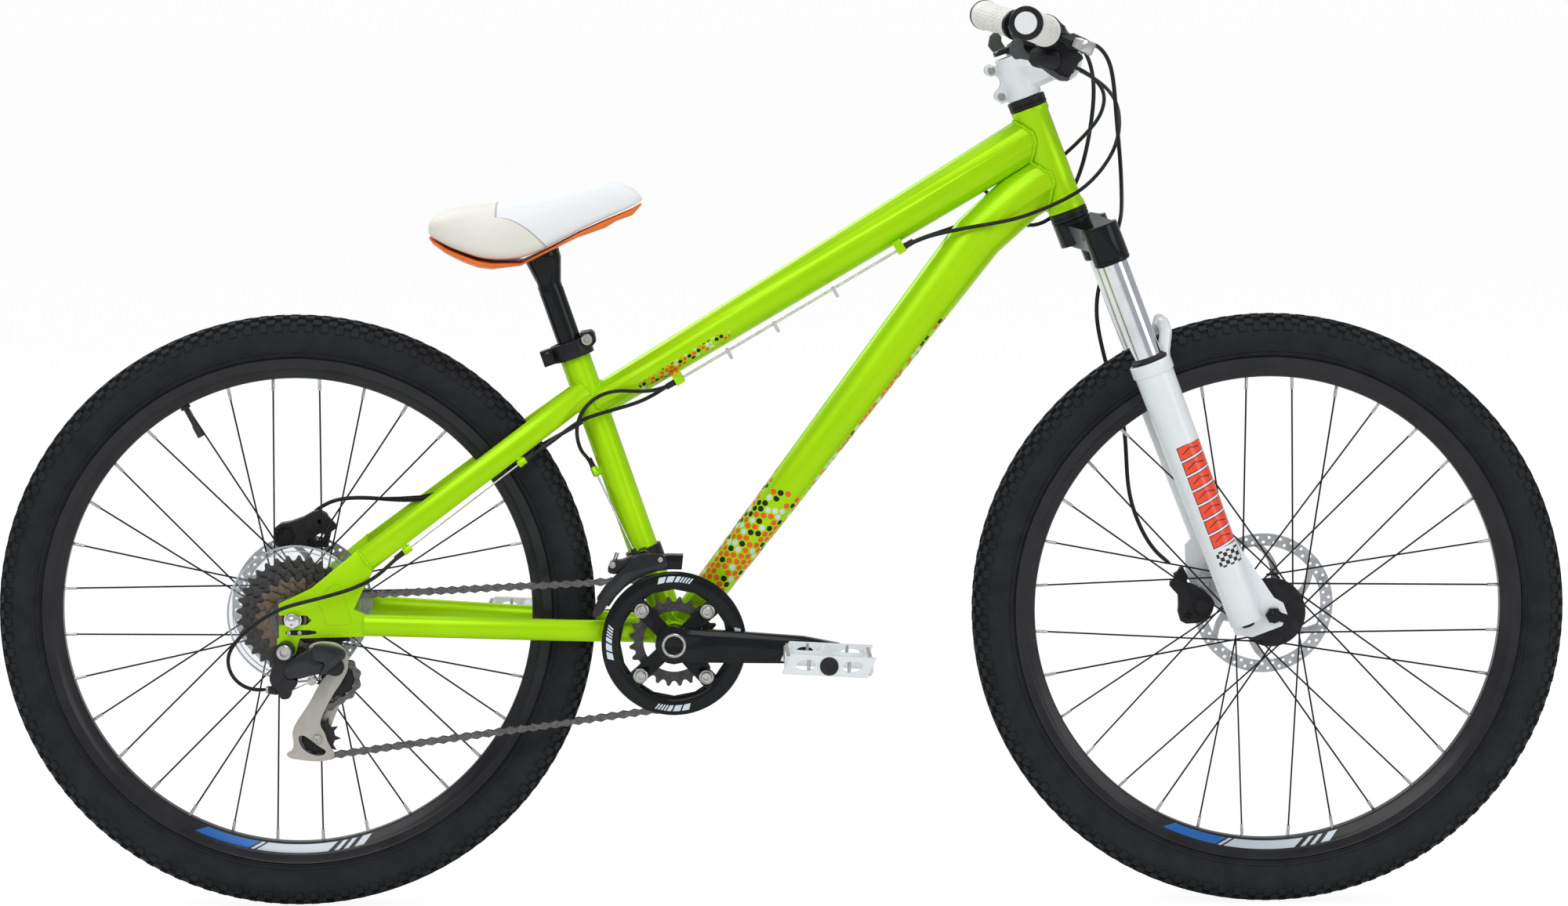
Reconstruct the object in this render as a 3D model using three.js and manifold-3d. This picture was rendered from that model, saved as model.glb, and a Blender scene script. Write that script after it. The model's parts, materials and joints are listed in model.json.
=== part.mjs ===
// A rigid dirt jump bicycle with a telescopic fork, in millimetres.
// X points forwards, Y to the rider's left, Z up. Places are written from the point above the
// bottom bracket on the line through the axles. The whole is then moved, so that its origin lies on the
// ground midway between the axles.

import * as THREE from 'three';
import { mergeVertices } from 'three/addons/utils/BufferGeometryUtils.js';
import Module from 'manifold-3d';

const wasm = await Module();
wasm.setup();

// Layout of the whole bicycle
const rearTyreRoom = 88.5;
const bracketDrop = 30;
const headAngle = THREE.MathUtils.degToRad(69.2);
const seatAngle = THREE.MathUtils.degToRad(70.7);
const headTubeLength = 122.6;
const headBottomX = 442.9;
const forkRoom = 168.8;
const gap = 0.3;
const runningGap = 0.4;
const overrun = 2;

// Wheels
const wheelSides = 32;
const hubSides = 10;
const tyreWidth = 58;
const tyreWall = 4.5;
const treadWidth = 26;
const treadCrown = 5;
const beadRadius = 280.4;
const tyreHeight = 55.6;
const rimWidth = 31;
const rimFlange = 2.6;
const rimFlangeHeight = 6.2;
const rimDepth = 15;
const rimBedWidth = 14;
const axleRadius = 5;
const spokeRadius = 1.1;
const spokeLean = 1.3;
const spokePairs = 16;
const spokeCrossShare = 3;
const flangeThickness = 4;
const freehubRadius = 15;
const frontHubWidth = 92;
const frontFlangeRadius = 34;
const frontShellRadius = 17;
const frontFlangeRight = 34;
const frontFlangeLeft = 24;
const rearHubWidth = 127;
const rearFlangeRadius = 30;
const rearShellRadius = 19;
const rearFlangeRight = 20;
const rearFlangeLeft = 32;
const hubEndRadius = 10;
const rotorRadius = 80;
const rotorBand = 14;
const rotorThickness = 2;
const rotorBossRadius = 22;
const rotorBoreRadius = 17;
const rotorArms = 6;
const frontRotorY = 37;
const rearRotorY = 51;

// Rear triangle and its dropouts
const rearSpacing = 135;
const dropoutThickness = 7;
const dropoutLip = 15;
const dropoutReach = 15.1;
const slotFront = 21;
const slotHeight = 10.8;
const hangerDrop = 32.4;
const hangerForward = -7.3;
const hangerWidth = 20;
const stayEndForward = 80.5;
const chainstayEndDrop = 6;
const chainstayHeight = 25;
const chainstayWidth = 16;
const chainstayStart = 30;
const chainstayRise = 9;
const chainstayInner = 27;
const chainstayBendX = -81;
const chainstayBendY = 37;
const chainstaySecondX = -131;
const chainstaySecondY = 45;
const seatstayTopX = -98;
const seatstayTopDrop = 54.1;
const seatstayTopY = 17;
const seatstayBendX = -167;
const seatstayBendDrop = 51;
const seatstayBendY = 41;
const seatstayEndHeight = 66;
const seatstayDepth = 28;
const seatstayWidth = 14;

// Front triangle
const tubeSides = 14;
const headTubeRadius = 20;
const headTubeFlare = 1.6;
const headTubeLip = 9;
const headTubeBore = 16.8;
const topTubeRearDrop = 71.1;
const topTubeFrontDrop = 28.4;
const topTubeRearDepth = 36;
const topTubeFrontDepth = 52;
const topTubeRearWidth = 34;
const topTubeFrontWidth = 42;
const downTubeMeet = 42;
const downTubeBendBack = 82.9;
const downTubeBendDrop = 6.8;
const downTubeRearDepth = 36;
const downTubeFrontDepth = 58;
const downTubeWidth = 44;
const seatTubeRadius = 17.2;
const seatTubeBore = 14;
const seatTubeTop = 354;
const shellRadius = 20.5;
const shellWidth = 73;

// Headset, fork and cockpit, measured in the steering frame
const cupRadius = 21.4;
const cupHeight = 11.4;
const steererRadius = 14.3;
const steererTop = 184;
const crownTop = 12;
const crownHeight = 27;
const crownRadius = 21.5;
const crownShoulder = 24;
const socketRadius = 20.4;
const socketBottom = 67;
const legSpacing = 128;
const legForward = 23;
const dropoutLead = 30.84;
const stanchionRadius = 16;
const stanchionInsert = 114;
const legTopBelowTyre = 17.2;
const legTopRadius = 23.6;
const legSealHeight = 14;
const legUpperRadius = 21.8;
const legLowerRadius = 19;
const legBoreAboveAxle = 100.8;
const legEndAboveAxle = 4.8;
const legBoreRadius = 16.9;
const archRadius = 7;
const archLead = 31;
const archRoom = 6.8;
const archShoulderY = 40;
const archShoulderDrop = 7;
const archFootDrop = 22;
const frontSpacing = 100;
const forkDropoutThickness = 7;
const forkDropoutRadius = 15;
const forkSlotAngle = THREE.MathUtils.degToRad(-38);
const discTabThickness = 6;
const stemLength = 52;
const stemHeight = 44;
const stemHeightAboveCup = 1;
const stemWall = 5;
const stemBoomWidth = 32;
const stemBoomHeight = 30;
const stemLugDepth = 8;
const stemLugWidth = 18;
const stemBoltRadius = 3.6;
const stemSlot = 2;
const topCapHeight = 5;
const barClampRadius = 15.9;
const barClampWidth = 44;
const barRadius = 11.1;
const barBendY = 95;
const barBendForward = 3;
const barRise = 30;
const barEndY = 330;
const barEndBack = 43;
const barEndRise = 68;

// Grips, brakes and gear controls, placed along each side of the bar from its bend
const gripStart = 112;
const gripRadius = 16.4;
const gripCollar = 18.2;
const gripCollarLength = 8;
const gripCapLength = 5;
const brakeClampStart = 92;
const brakeClampLength = 14;
const brakeClampWall = 4;
const masterRadius = 9;
const masterLength = 62;
const masterForward = 29;
const masterOverlap = 12;
const leverPivotAlong = 84;
const leverPivotForward = 46;
const leverLength = 108;
const leverHook = 12;
const leverWidth = 11;
const leverThickness = 7;
const leverDrop = THREE.MathUtils.degToRad(-42);
const shifterClampStart = 60;
const shifterClampLength = 12;
const podLength = 40;
const podDepth = 34;
const podHeight = 20;
const podDrop = 29;
const podAngle = THREE.MathUtils.degToRad(-122);
const paddleLength = 48;
const paddleWidth = 20;
const paddleThickness = 5;

// Seatpost and saddle
const collarHeight = 20;
const collarWall = 5;
const collarTop = 356;
const collarLugLength = 26;
const collarLugWidth = 16;
const postRadius = 13.6;
const postBottom = 225;
const postTop = 424;
const postHeadX = -153;
const postHeadLength = 44;
const postHeadWidth = 36;
const saddleRear = -273;
const saddleNose = -36;
const saddleBase = 385;
const saddleRise = 98;
const saddleWidth = 134;
const saddleShellDepth = 8;

// Drivetrain
const pitch = 12.7;
const rollerRadius = 3.6;
const rollerRoom = 0.45;
const toothReach = 2.4;
const plateHeight = 7.4;
const plateThickness = 1.1;
const chainInnerWidth = 4.2;
const largeTeeth = 36;
const smallTeeth = 24;
const cogTeeth = [11, 13, 15, 18, 21, 24, 28, 32];
const pulleyTeeth = 11;
const cogThickness = 1.8;
const cogSides = 16;
const cogSpacing = 4.8;
const smallestCogY = -62.5;
const spacerRadius = 17.6;
const ringThickness = 2;
const largeRingY = -50;
const smallRingY = -42;
const ringBand = 9;
const boltCircle = 52;
const innerBoltCircle = 32;
const boltLugRadius = 9;
const guardRadius = 81;
const guardBand = 18;
const guardThickness = 4;
const spiderThickness = 3.6;
const spiderArmWidth = 17;
const spindleRadius = 12;
const spindleBore = 9;
const spindleEndY = 74;
const crankLength = 170;
const crankAngle = THREE.MathUtils.degToRad(-1.8);
const crankBossRadius = 21;
const crankBossInnerY = 45;
const crankRootY = 60;
const crankRootDepth = 14;
const crankRootHeight = 38;
const crankTipY = 70;
const crankTipDepth = 13;
const crankTipHeight = 30;
const pedalAxleRadius = 5;
const pedalInnerY = 92;
const pedalWidth = 94;
const pedalLength = 102;
const pedalThickness = 15;
const pedalBarrelRadius = 10;
const pedalBar = 11;
const pedalTilt = THREE.MathUtils.degToRad(3);

// Derailleurs
const guideForward = 48.7;
const guideHeight = -68;
const pulleySpacing = 69;
const cageAngleStart = THREE.MathUtils.degToRad(-109);
const cageAngleSweep = THREE.MathUtils.degToRad(14);
const cagePlate = 1.5;
const cageInnerWidth = 10.4;
const cageHalfWidth = 8;
const cageGuideRadius = 13;
const pulleyWidth = 2.4;
const pulleyBore = 3;
const knuckleForward = 48.5;
const knuckleHeight = -50;
const knuckleRadius = 10;
const knuckleDepth = 22;
const linkLength = 45;
const linkSwing = THREE.MathUtils.degToRad(25);
const linkTilt = THREE.MathUtils.degToRad(40);
const linkRadius = 7;
const linkThickness = 8;
const linkPin = 2.5;
const linkPinSides = 6;
const lugThickness = 3;
const lugReach = 12;
const bracketDepth = 22;
const bracketBoltRadius = 10;
const mechBandHeight = 18;
const mechBandWall = 3.4;
const mechBandCentre = 98;
const mechLugY = -31;
const mechPinRadius = 4;
const mechPinDepth = 3.5;
const mechBoreDepth = 12.5;
const mechTravel = 8;
const mechPivotHeight = 66;
const mechLugRadius = 8;
const mechCageInner = 84;
const mechCageOuter = 100;
const mechCagePlate = 1.4;
const mechCageWidth = 15;
const mechFrontAngle = THREE.MathUtils.degToRad(84);
const mechWebAngle = THREE.MathUtils.degToRad(121);
const mechRearAngle = THREE.MathUtils.degToRad(150);

// Cables and hoses, and the stops that hold them
const housingRadius = 2.4;
const hoseRadius = 2.6;
const wireRadius = 0.8;
const wireRoom = 1.5;
const stopLength = 10;
const stopRadius = 4.4;
const cableSides = 8;
const guideWidth = 24;
const guideHeightUnder = 11;
const guideY = -11;
const rearShiftBoreY = -6;
const frontShiftBoreY = -16;
const frontGuideShare = 0.66;
const rearGuideShare = 0.169;
const guideBelow = 6.5;
const seatStop = [-88.5, -6, 158];
const upperStayStopShare = 0.08;
const lowerStayStopShare = 0.8;
const stayStopBelow = 19;
const rearShiftLoop = [
  [444, -124, 615], [474, -90, 591], [476, -50, 563], [458, 0, 532], [434, 32, 506],
  [394, 39, 468], [356, 36, 448], [320, 20, 433], [289, 2, 424],
];
const rearShiftElbow = [[-32, -13, 240], [-74, -25, 228], [-104, -31, 219], [-138, -37, 194]];
const rearShiftTail = [
  [-325, -70, 53], [-339, -79, 44], [-362, -85, 35], [-396, -89, 26], [-439, -89, 14],
  [-476, -87, -11], [-497, -85, -40], [-489, -83, -66], [-468, -80, -78],
];
const rearShiftEnd = [-451, -77, -77];
const frontShiftLoop = [
  [454, 118, 612], [492, 78, 589], [502, 10, 557], [492, -30, 520], [462, -38, 482],
  [426, -36, 461], [382, -31, 444], [339, -28, 436], [292, -19, 426],
];
const frontShiftElbow = [
  [-32, -23, 250], [-62, -28, 252], [-84, -37, 247], [-102, -40, 231], [-109, -37, 211], [-105, -25, 185],
];
const frontHoseRoute = [
  [465, -88, 641], [482, -72, 624], [494, -50, 547], [505, 10, 475], [509, 72, 432],
  [500, 94, 399], [488, 92, 361], [484, 84, 329], [494, 72, 274], [514, 66, 207], [523, 60, 114],
  [548, 50, 60],
];
const frontHoseEnd = [568, 40, 44];
const rearHoseLoop = [
  [467, 88, 636], [478, 66, 599], [474, 50, 549], [458, 40, 484], [430, 36, 441], [406, 34, 430],
  [376, 32, 440],
];
const rearHoseTubeShares = [0.86, 0.62, 0.38, 0.14];
const rearHoseStay = [[-104, 30, 210], [-138, 33, 191], [-176, 35, 169], [-221, 41, 144], [-280, 47, 121]];
const rearHoseTail = [[-316, 50, 119], [-352, 53, 122], [-392, 54, 119]];
const rearHoseEnd = [-415, 53, 102];

// Places worked out from the layout
const tyreRadius = beadRadius + tyreHeight;
const steeringUp = new THREE.Vector3(-Math.cos(headAngle), 0, Math.sin(headAngle));
const steeringForward = new THREE.Vector3(Math.sin(headAngle), 0, Math.cos(headAngle));
const axleLocal = new THREE.Vector3(legForward + dropoutLead, 0, -tyreRadius - forkRoom);
const headBottom = new THREE.Vector3(
  headBottomX, 0, -axleLocal.x * steeringForward.z - axleLocal.z * steeringUp.z,
);
const frontAxle = headBottom.clone()
  .addScaledVector(steeringForward, axleLocal.x)
  .addScaledVector(steeringUp, axleLocal.z);
const rearAxle = new THREE.Vector3(-tyreRadius - rearTyreRoom, 0, 0);
const bracket = new THREE.Vector3(0, 0, -bracketDrop);
const seatUp = new THREE.Vector3(-Math.cos(seatAngle), 0, Math.sin(seatAngle));
const headTop = headBottom.clone().addScaledVector(steeringUp, headTubeLength);
const seatTopPoint = bracket.clone().addScaledVector(seatUp, seatTubeTop);
const topTubeRearHeight = seatTopPoint.z - topTubeRearDrop;
const topTubeFrontHeight = headTop.z - topTubeFrontDrop;
const downTubeBendHeight = headBottom.z - downTubeBendDrop;
const seatstayTopHeight = seatTopPoint.z - seatstayTopDrop;
const seatstayBendHeight = seatstayTopHeight - seatstayBendDrop;
const chainstayEndHeight = rearAxle.z - chainstayEndDrop;
const stayEndX = rearAxle.x + stayEndForward;
const guideX = rearAxle.x + guideForward;
const knuckleX = rearAxle.x + knuckleForward;
const downTubeBendX = headBottomX - downTubeBendBack;
const archForward = legForward + archLead;
const legTop = -axleLocal.z - tyreRadius + legTopBelowTyre;
const legBoreEnd = -axleLocal.z - legBoreAboveAxle;
const legEnd = -axleLocal.z - legEndAboveAxle;
const stanchionEnd = legTop + stanchionInsert;

// The whole bicycle, and the frame in which the fork and the bars are straight up
const bicycle = new THREE.Group();
const cockpit = new THREE.Group();
cockpit.position.copy(headBottom);
cockpit.rotation.y = headAngle - Math.PI / 2;
const seatFrame = new THREE.Group();
seatFrame.position.copy(bracket);
seatFrame.rotation.y = seatAngle - Math.PI / 2;
bicycle.add(cockpit, seatFrame);
bicycle.updateMatrixWorld(true);

function vec(x, y, z) {
  return new THREE.Vector3(x, y, z);
}

// A closed mesh of shared vertices whose faces point outwards
function closed(geometry) {
  const bare = geometry.clone();
  bare.deleteAttribute('normal');
  bare.deleteAttribute('uv');
  const merged = mergeVertices(bare);
  const index = merged.index.array;
  const kept = [];
  const [a, b, c] = [new THREE.Vector3(), new THREE.Vector3(), new THREE.Vector3()];
  let volume = 0;
  for (let i = 0; i < index.length; i += 3) {
    const [p, q, r] = [index[i], index[i + 1], index[i + 2]];
    if (p === q || q === r || r === p) continue;
    a.fromBufferAttribute(merged.attributes.position, p);
    b.fromBufferAttribute(merged.attributes.position, q);
    c.fromBufferAttribute(merged.attributes.position, r);
    volume += a.dot(b.cross(c));
    kept.push(p, q, r);
  }
  if (volume < 0) kept.reverse();
  merged.setIndex(kept);
  return merged;
}

function solidOf(geometry) {
  const mesh = closed(geometry);
  return new wasm.Manifold(new wasm.Mesh({
    numProp: 3,
    vertProperties: Float32Array.from(mesh.attributes.position.array),
    triVerts: Uint32Array.from(mesh.index.array),
  }));
}

function geometryOf(solid) {
  const mesh = solid.getMesh();
  const geometry = new THREE.BufferGeometry();
  geometry.setAttribute('position', new THREE.BufferAttribute(mesh.vertProperties, 3));
  geometry.setIndex(new THREE.BufferAttribute(mesh.triVerts, 1));
  return geometry;
}

function join(...pieces) {
  return geometryOf(pieces.map(solidOf).reduce((whole, piece) => whole.add(piece)));
}

function cut(piece, ...tools) {
  return geometryOf(tools.map(solidOf).reduce((whole, tool) => whole.subtract(tool), solidOf(piece)));
}

// A round bar between two points
function rod(from, to, radius, sides = tubeSides, endRadius = radius) {
  const along = to.clone().sub(from);
  const geometry = new THREE.CylinderGeometry(endRadius, radius, along.length(), sides);
  const turn = new THREE.Quaternion().setFromUnitVectors(vec(0, 1, 0), along.clone().normalize());
  geometry.applyQuaternion(turn);
  const middle = from.clone().add(to).multiplyScalar(0.5);
  return geometry.translate(middle.x, middle.y, middle.z);
}

// A body turned about the Y axis, from pairs of radius and Y that close on themselves
function turned(profile, sides) {
  const points = [...profile, profile[0]].map(([radius, y]) => new THREE.Vector2(radius, y));
  return new THREE.LatheGeometry(points, sides, Math.PI / sides);
}

// A flat plate seen from the side, from pairs of X and Z, between two values of Y
function plate(outline, lowY, highY, holes = []) {
  const shape = new THREE.Shape(outline.map(([x, z]) => new THREE.Vector2(x, z)));
  const geometry = new THREE.ExtrudeGeometry(shape, { depth: highY - lowY, bevelEnabled: false });
  geometry.rotateX(Math.PI / 2).translate(0, highY, 0);
  if (holes.length === 0) return geometry;
  return cut(geometry, ...holes.map((hole) => plate(hole, lowY - overrun, highY + overrun)));
}

function circlePoints(x, z, radius, sides, start = 0) {
  return Array.from({ length: sides }, (_, i) => {
    const angle = start + (i * 2 * Math.PI) / sides;
    return [x + radius * Math.cos(angle), z + radius * Math.sin(angle)];
  });
}

// A stretched outline with round ends from one centre to another
function capsule(x0, z0, radius0, x1, z1, radius1, steps = 5) {
  const angle = Math.atan2(z1 - z0, x1 - x0);
  const points = [];
  for (let i = 0; i <= steps; i += 1) {
    const turn = angle + Math.PI / 2 + (i * Math.PI) / steps;
    points.push([x0 + radius0 * Math.cos(turn), z0 + radius0 * Math.sin(turn)]);
  }
  for (let i = 0; i <= steps; i += 1) {
    const turn = angle - Math.PI / 2 + (i * Math.PI) / steps;
    points.push([x1 + radius1 * Math.cos(turn), z1 + radius1 * Math.sin(turn)]);
  }
  return points;
}

// A skin over rings of points, closed at both ends
function loft(rings) {
  const count = rings[0].length;
  const positions = rings.flat().flatMap((p) => [p.x, p.y, p.z]);
  const index = [];
  for (let r = 0; r + 1 < rings.length; r += 1) {
    for (let i = 0; i < count; i += 1) {
      const j = (i + 1) % count;
      const [a, b, c, d] = [r * count + i, r * count + j, (r + 1) * count + j, (r + 1) * count + i];
      index.push(a, b, c, a, c, d);
    }
  }
  for (const [ring, flip] of [[0, true], [rings.length - 1, false]]) {
    const first = ring * count;
    for (let i = 1; i + 1 < count; i += 1) {
      index.push(first, first + (flip ? i + 1 : i), first + (flip ? i : i + 1));
    }
  }
  const geometry = new THREE.BufferGeometry();
  geometry.setAttribute('position', new THREE.Float32BufferAttribute(positions, 3));
  geometry.setIndex(index);
  return geometry;
}

// An oval tube through places that each give a centre, a width along Y and a depth across the tube
function ovalTube(places, sides = tubeSides, grow = 0) {
  const rings = places.map(({ at, width, depth }, i) => {
    const before = places[Math.max(i - 1, 0)].at;
    const after = places[Math.min(i + 1, places.length - 1)].at;
    const along = after.clone().sub(before).normalize();
    const across = vec(0, 1, 0);
    const up = along.clone().cross(across).normalize();
    const side = up.clone().cross(along).normalize();
    return Array.from({ length: sides }, (_, k) => {
      const angle = ((k + 0.5) * 2 * Math.PI) / sides;
      return at.clone()
        .addScaledVector(side, (width / 2 + grow) * Math.cos(angle))
        .addScaledVector(up, (depth / 2 + grow) * Math.sin(angle));
    });
  });
  return loft(rings);
}

// A round tube along a smooth curve through points
function tubeAlong(points, radius, steps, sides = 8) {
  const shape = new THREE.Shape(circlePoints(0, 0, radius, sides).map(([x, y]) => new THREE.Vector2(x, y)));
  const extrudePath = new THREE.CatmullRomCurve3(points, false, 'centripetal');
  return new THREE.ExtrudeGeometry(shape, { steps, extrudePath, bevelEnabled: false });
}

function finish(color, roughness, metalness = 0) {
  return new THREE.MeshStandardMaterial({ color, roughness, metalness });
}

const limePaint = finish(0x8fd400, 0.25);
const whitePaint = finish(0xf2f2ee, 0.3);
const blackPaint = finish(0x0c0c0e, 0.22);
const blackAlloy = finish(0x17181a, 0.38, 0.6);
const blackPlastic = finish(0x1b1c1e, 0.5);
const greyPlastic = finish(0x6d6f72, 0.45);
const silverSteel = finish(0xb9bcc0, 0.3, 0.9);
const chromeSteel = finish(0xd8dade, 0.1, 1);
const chainSteel = finish(0x4a4946, 0.4, 0.9);
const tyreRubber = finish(0x1a1a1b, 0.85);
const gripRubber = finish(0xe9e6d8, 0.7);
const saddleSkin = finish(0xece8dc, 0.5);
const orangeShell = finish(0xff6a1a, 0.4);
const whitePlastic = finish(0xf0f0f0, 0.4);
const hoseBlack = finish(0x151618, 0.45);

function add(group, name, geometry, material) {
  const mesh = new THREE.Mesh(closed(geometry), material.clone());
  mesh.name = name;
  group.add(mesh);
  return mesh;
}

// Wheels: tyre, rim, laced hub and brake rotor, each centred on its axle
function tyre() {
  const half = tyreWidth / 2;
  const clinch = rimWidth / 2 - rimFlange - gap;
  const flangeTop = beadRadius + rimFlangeHeight + gap;
  const widest = (flangeTop + tyreRadius) / 2;
  const vertexRadius = tyreRadius / Math.cos(Math.PI / wheelSides);
  const shoulder = vertexRadius - treadCrown * 2;
  const side = [
    [beadRadius, clinch],
    [flangeTop, clinch],
    [widest, half],
    [shoulder, half - treadCrown],
    [vertexRadius, treadWidth / 2],
  ];
  const inner = [
    [beadRadius, clinch - tyreWall],
    [(widest + shoulder) / 2, half - tyreWall * 2],
  ];
  const outerRing = [...side, ...side.map(([r, y]) => [r, -y]).reverse()];
  const innerRing = [...inner.map(([r, y]) => [r, -y]), ...[...inner].reverse()];
  return turned([...outerRing, ...innerRing], wheelSides);
}

function rim() {
  const half = rimWidth / 2;
  const flangeTop = beadRadius + rimFlangeHeight;
  const bed = beadRadius - gap * 2;
  const side = [
    [bed, half - rimFlange],
    [flangeTop, half - rimFlange],
    [flangeTop, half],
    [bed - rimDepth, rimBedWidth / 2],
  ];
  return turned([...side, ...side.map(([r, y]) => [r, -y]).reverse()], wheelSides);
}

function lacing(flangeRadius, flangeYs) {
  const holeRadius = flangeRadius - flangeThickness;
  const rimHole = beadRadius - gap * 2 - rimDepth - overrun * 0.75;
  const step = (2 * Math.PI) / spokePairs;
  const pieces = [];
  flangeYs.forEach((flangeY, side) => {
    for (let i = 0; i < spokePairs; i += 1) {
      const hole = i * step + (side * step) / 2;
      const sweep = (i % 2 === 0 ? 1 : -1) * spokeCrossShare * step;
      const lean = (i % 2 === 0 ? 1 : -1) * spokeLean;
      const from = vec(holeRadius * Math.cos(hole), flangeY + lean, holeRadius * Math.sin(hole));
      const to = vec(rimHole * Math.cos(hole + sweep), lean, rimHole * Math.sin(hole + sweep));
      pieces.push(rod(from, to, spokeRadius, 3));
    }
  });
  return pieces;
}

function hubShell(width, flangeRadius, shellRound, rightFlange, leftFlange, rotorY, freehubEnd) {
  const bore = (axleRadius + runningGap) / Math.cos(Math.PI / hubSides);
  const rightEnd = -width / 2;
  const bossEnd = rotorY - rotorThickness / 2 - gap;
  const right = freehubEnd
    ? [[freehubRadius, rightEnd], [freehubRadius, -rightFlange - flangeThickness]]
    : [[hubEndRadius, rightEnd], [shellRound, -rightFlange - flangeThickness]];
  return turned([
    [bore, rightEnd],
    ...right,
    [flangeRadius, -rightFlange - flangeThickness / 2],
    [flangeRadius, -rightFlange + flangeThickness / 2],
    [shellRound, -rightFlange + flangeThickness],
    [shellRound, leftFlange - flangeThickness],
    [flangeRadius, leftFlange - flangeThickness / 2],
    [flangeRadius, leftFlange + flangeThickness / 2],
    [rotorBossRadius, leftFlange + flangeThickness],
    [rotorBossRadius, bossEnd],
    [hubEndRadius, bossEnd],
    [hubEndRadius, width / 2],
    [bore, width / 2],
  ], hubSides);
}

function lacedHub(shell, flangeRadius, flangeYs) {
  return join(shell, ...lacing(flangeRadius, flangeYs));
}

function rotor(centreY) {
  const windowStep = (2 * Math.PI) / rotorArms;
  const windowOuter = rotorRadius - rotorBand;
  const holes = [circlePoints(0, 0, rotorBoreRadius, 12)];
  for (let i = 0; i < rotorArms; i += 1) {
    const start = i * windowStep;
    const arc = [0.12, 0.37, 0.62, 0.88].map((share) => start + share * windowStep);
    const outer = arc.map((angle) => [windowOuter * Math.cos(angle), windowOuter * Math.sin(angle)]);
    const lead = windowStep * 0.4;
    const near = rotorBossRadius + rotorBand * 0.3;
    const inner = [arc[3], arc[0]].map(
      (angle) => [near * Math.cos(angle + lead), near * Math.sin(angle + lead)],
    );
    holes.push([...outer, ...inner]);
  }
  const outline = circlePoints(0, 0, rotorRadius, 24);
  return plate(outline, centreY - rotorThickness / 2, centreY + rotorThickness / 2, holes);
}

function axle(spacing, plateThickness, nutRadius) {
  const inside = spacing / 2 - gap;
  const outside = spacing / 2 + plateThickness + gap;
  const nut = plateThickness;
  const parts = [rod(vec(0, -outside - nut, 0), vec(0, outside + nut, 0), axleRadius, 10)];
  for (const side of [-1, 1]) {
    parts.push(rod(vec(0, side * outside, 0), vec(0, side * (outside + nut), 0), nutRadius, 6));
    parts.push(rod(vec(0, side * (inside - overrun), 0), vec(0, side * inside, 0), nutRadius, 8));
  }
  return join(...parts);
}

function cassette() {
  const bore = (freehubRadius + runningGap) / Math.cos(Math.PI / hubSides);
  const hole = [circlePoints(0, 0, bore, hubSides)];
  const parts = cogTeeth.map((teeth, i) => {
    const y = smallestCogY + i * cogSpacing;
    const round = pitch / 2 / Math.sin(Math.PI / teeth) + toothReach;
    const outline = i === 0 ? toothOutline(teeth, cogPhase) : circlePoints(0, 0, round, cogSides);
    return plate(outline, y - cogThickness / 2, y + cogThickness / 2, hole);
  });
  const last = smallestCogY + (cogTeeth.length - 1) * cogSpacing;
  parts.push(plate(circlePoints(0, 0, spacerRadius, hubSides), smallestCogY, last, hole));
  return join(...parts);
}

// Sprocket outlines: each tooth stands between two rollers on the pitch circle
function pitchRadius(teeth) {
  return pitch / 2 / Math.sin(Math.PI / teeth);
}

function toothOutline(teeth, phase) {
  const radius = pitchRadius(teeth);
  const floor = radius - rollerRadius - rollerRoom;
  const tip = radius + toothReach;
  const step = (2 * Math.PI) / teeth;
  const floorHalf = (rollerRadius * 0.72) / floor;
  const points = [];
  for (let i = 0; i < teeth; i += 1) {
    const roller = phase + i * step;
    const tooth = roller + step / 2;
    points.push([floor * Math.cos(roller - floorHalf), floor * Math.sin(roller - floorHalf)]);
    points.push([floor * Math.cos(roller + floorHalf), floor * Math.sin(roller + floorHalf)]);
    points.push([tip * Math.cos(tooth), tip * Math.sin(tooth)]);
  }
  return points;
}

// The chain's loop seen from the side: rear cog, large ring, tension pulley and guide pulley
function chainCircles(cageAngle) {
  const tensionX = guideX + pulleySpacing * Math.cos(cageAngle);
  const tensionHeight = guideHeight + pulleySpacing * Math.sin(cageAngle);
  return [
    { x: rearAxle.x, z: rearAxle.z, radius: pitchRadius(cogTeeth[0]), turn: -1, y: smallestCogY },
    { x: bracket.x, z: bracket.z, radius: pitchRadius(largeTeeth), turn: -1, y: largeRingY },
    { x: tensionX, z: tensionHeight, radius: pitchRadius(pulleyTeeth), turn: -1, y: smallestCogY },
    { x: guideX, z: guideHeight, radius: pitchRadius(pulleyTeeth), turn: 1, y: smallestCogY },
  ];
}

// The straight run that leaves one circle and meets the next; turn is -1 where the chain runs clockwise
function tangent(a, b) {
  const distance = Math.hypot(b.x - a.x, b.z - a.z);
  const heading = Math.atan2(b.z - a.z, b.x - a.x);
  const lean = Math.asin((a.turn * a.radius - b.turn * b.radius) / distance);
  const angle = heading + lean;
  const normal = [Math.sin(angle), -Math.cos(angle)];
  return {
    from: [a.x + a.turn * a.radius * normal[0], a.z + a.turn * a.radius * normal[1]],
    to: [b.x + b.turn * b.radius * normal[0], b.z + b.turn * b.radius * normal[1]],
  };
}

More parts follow.
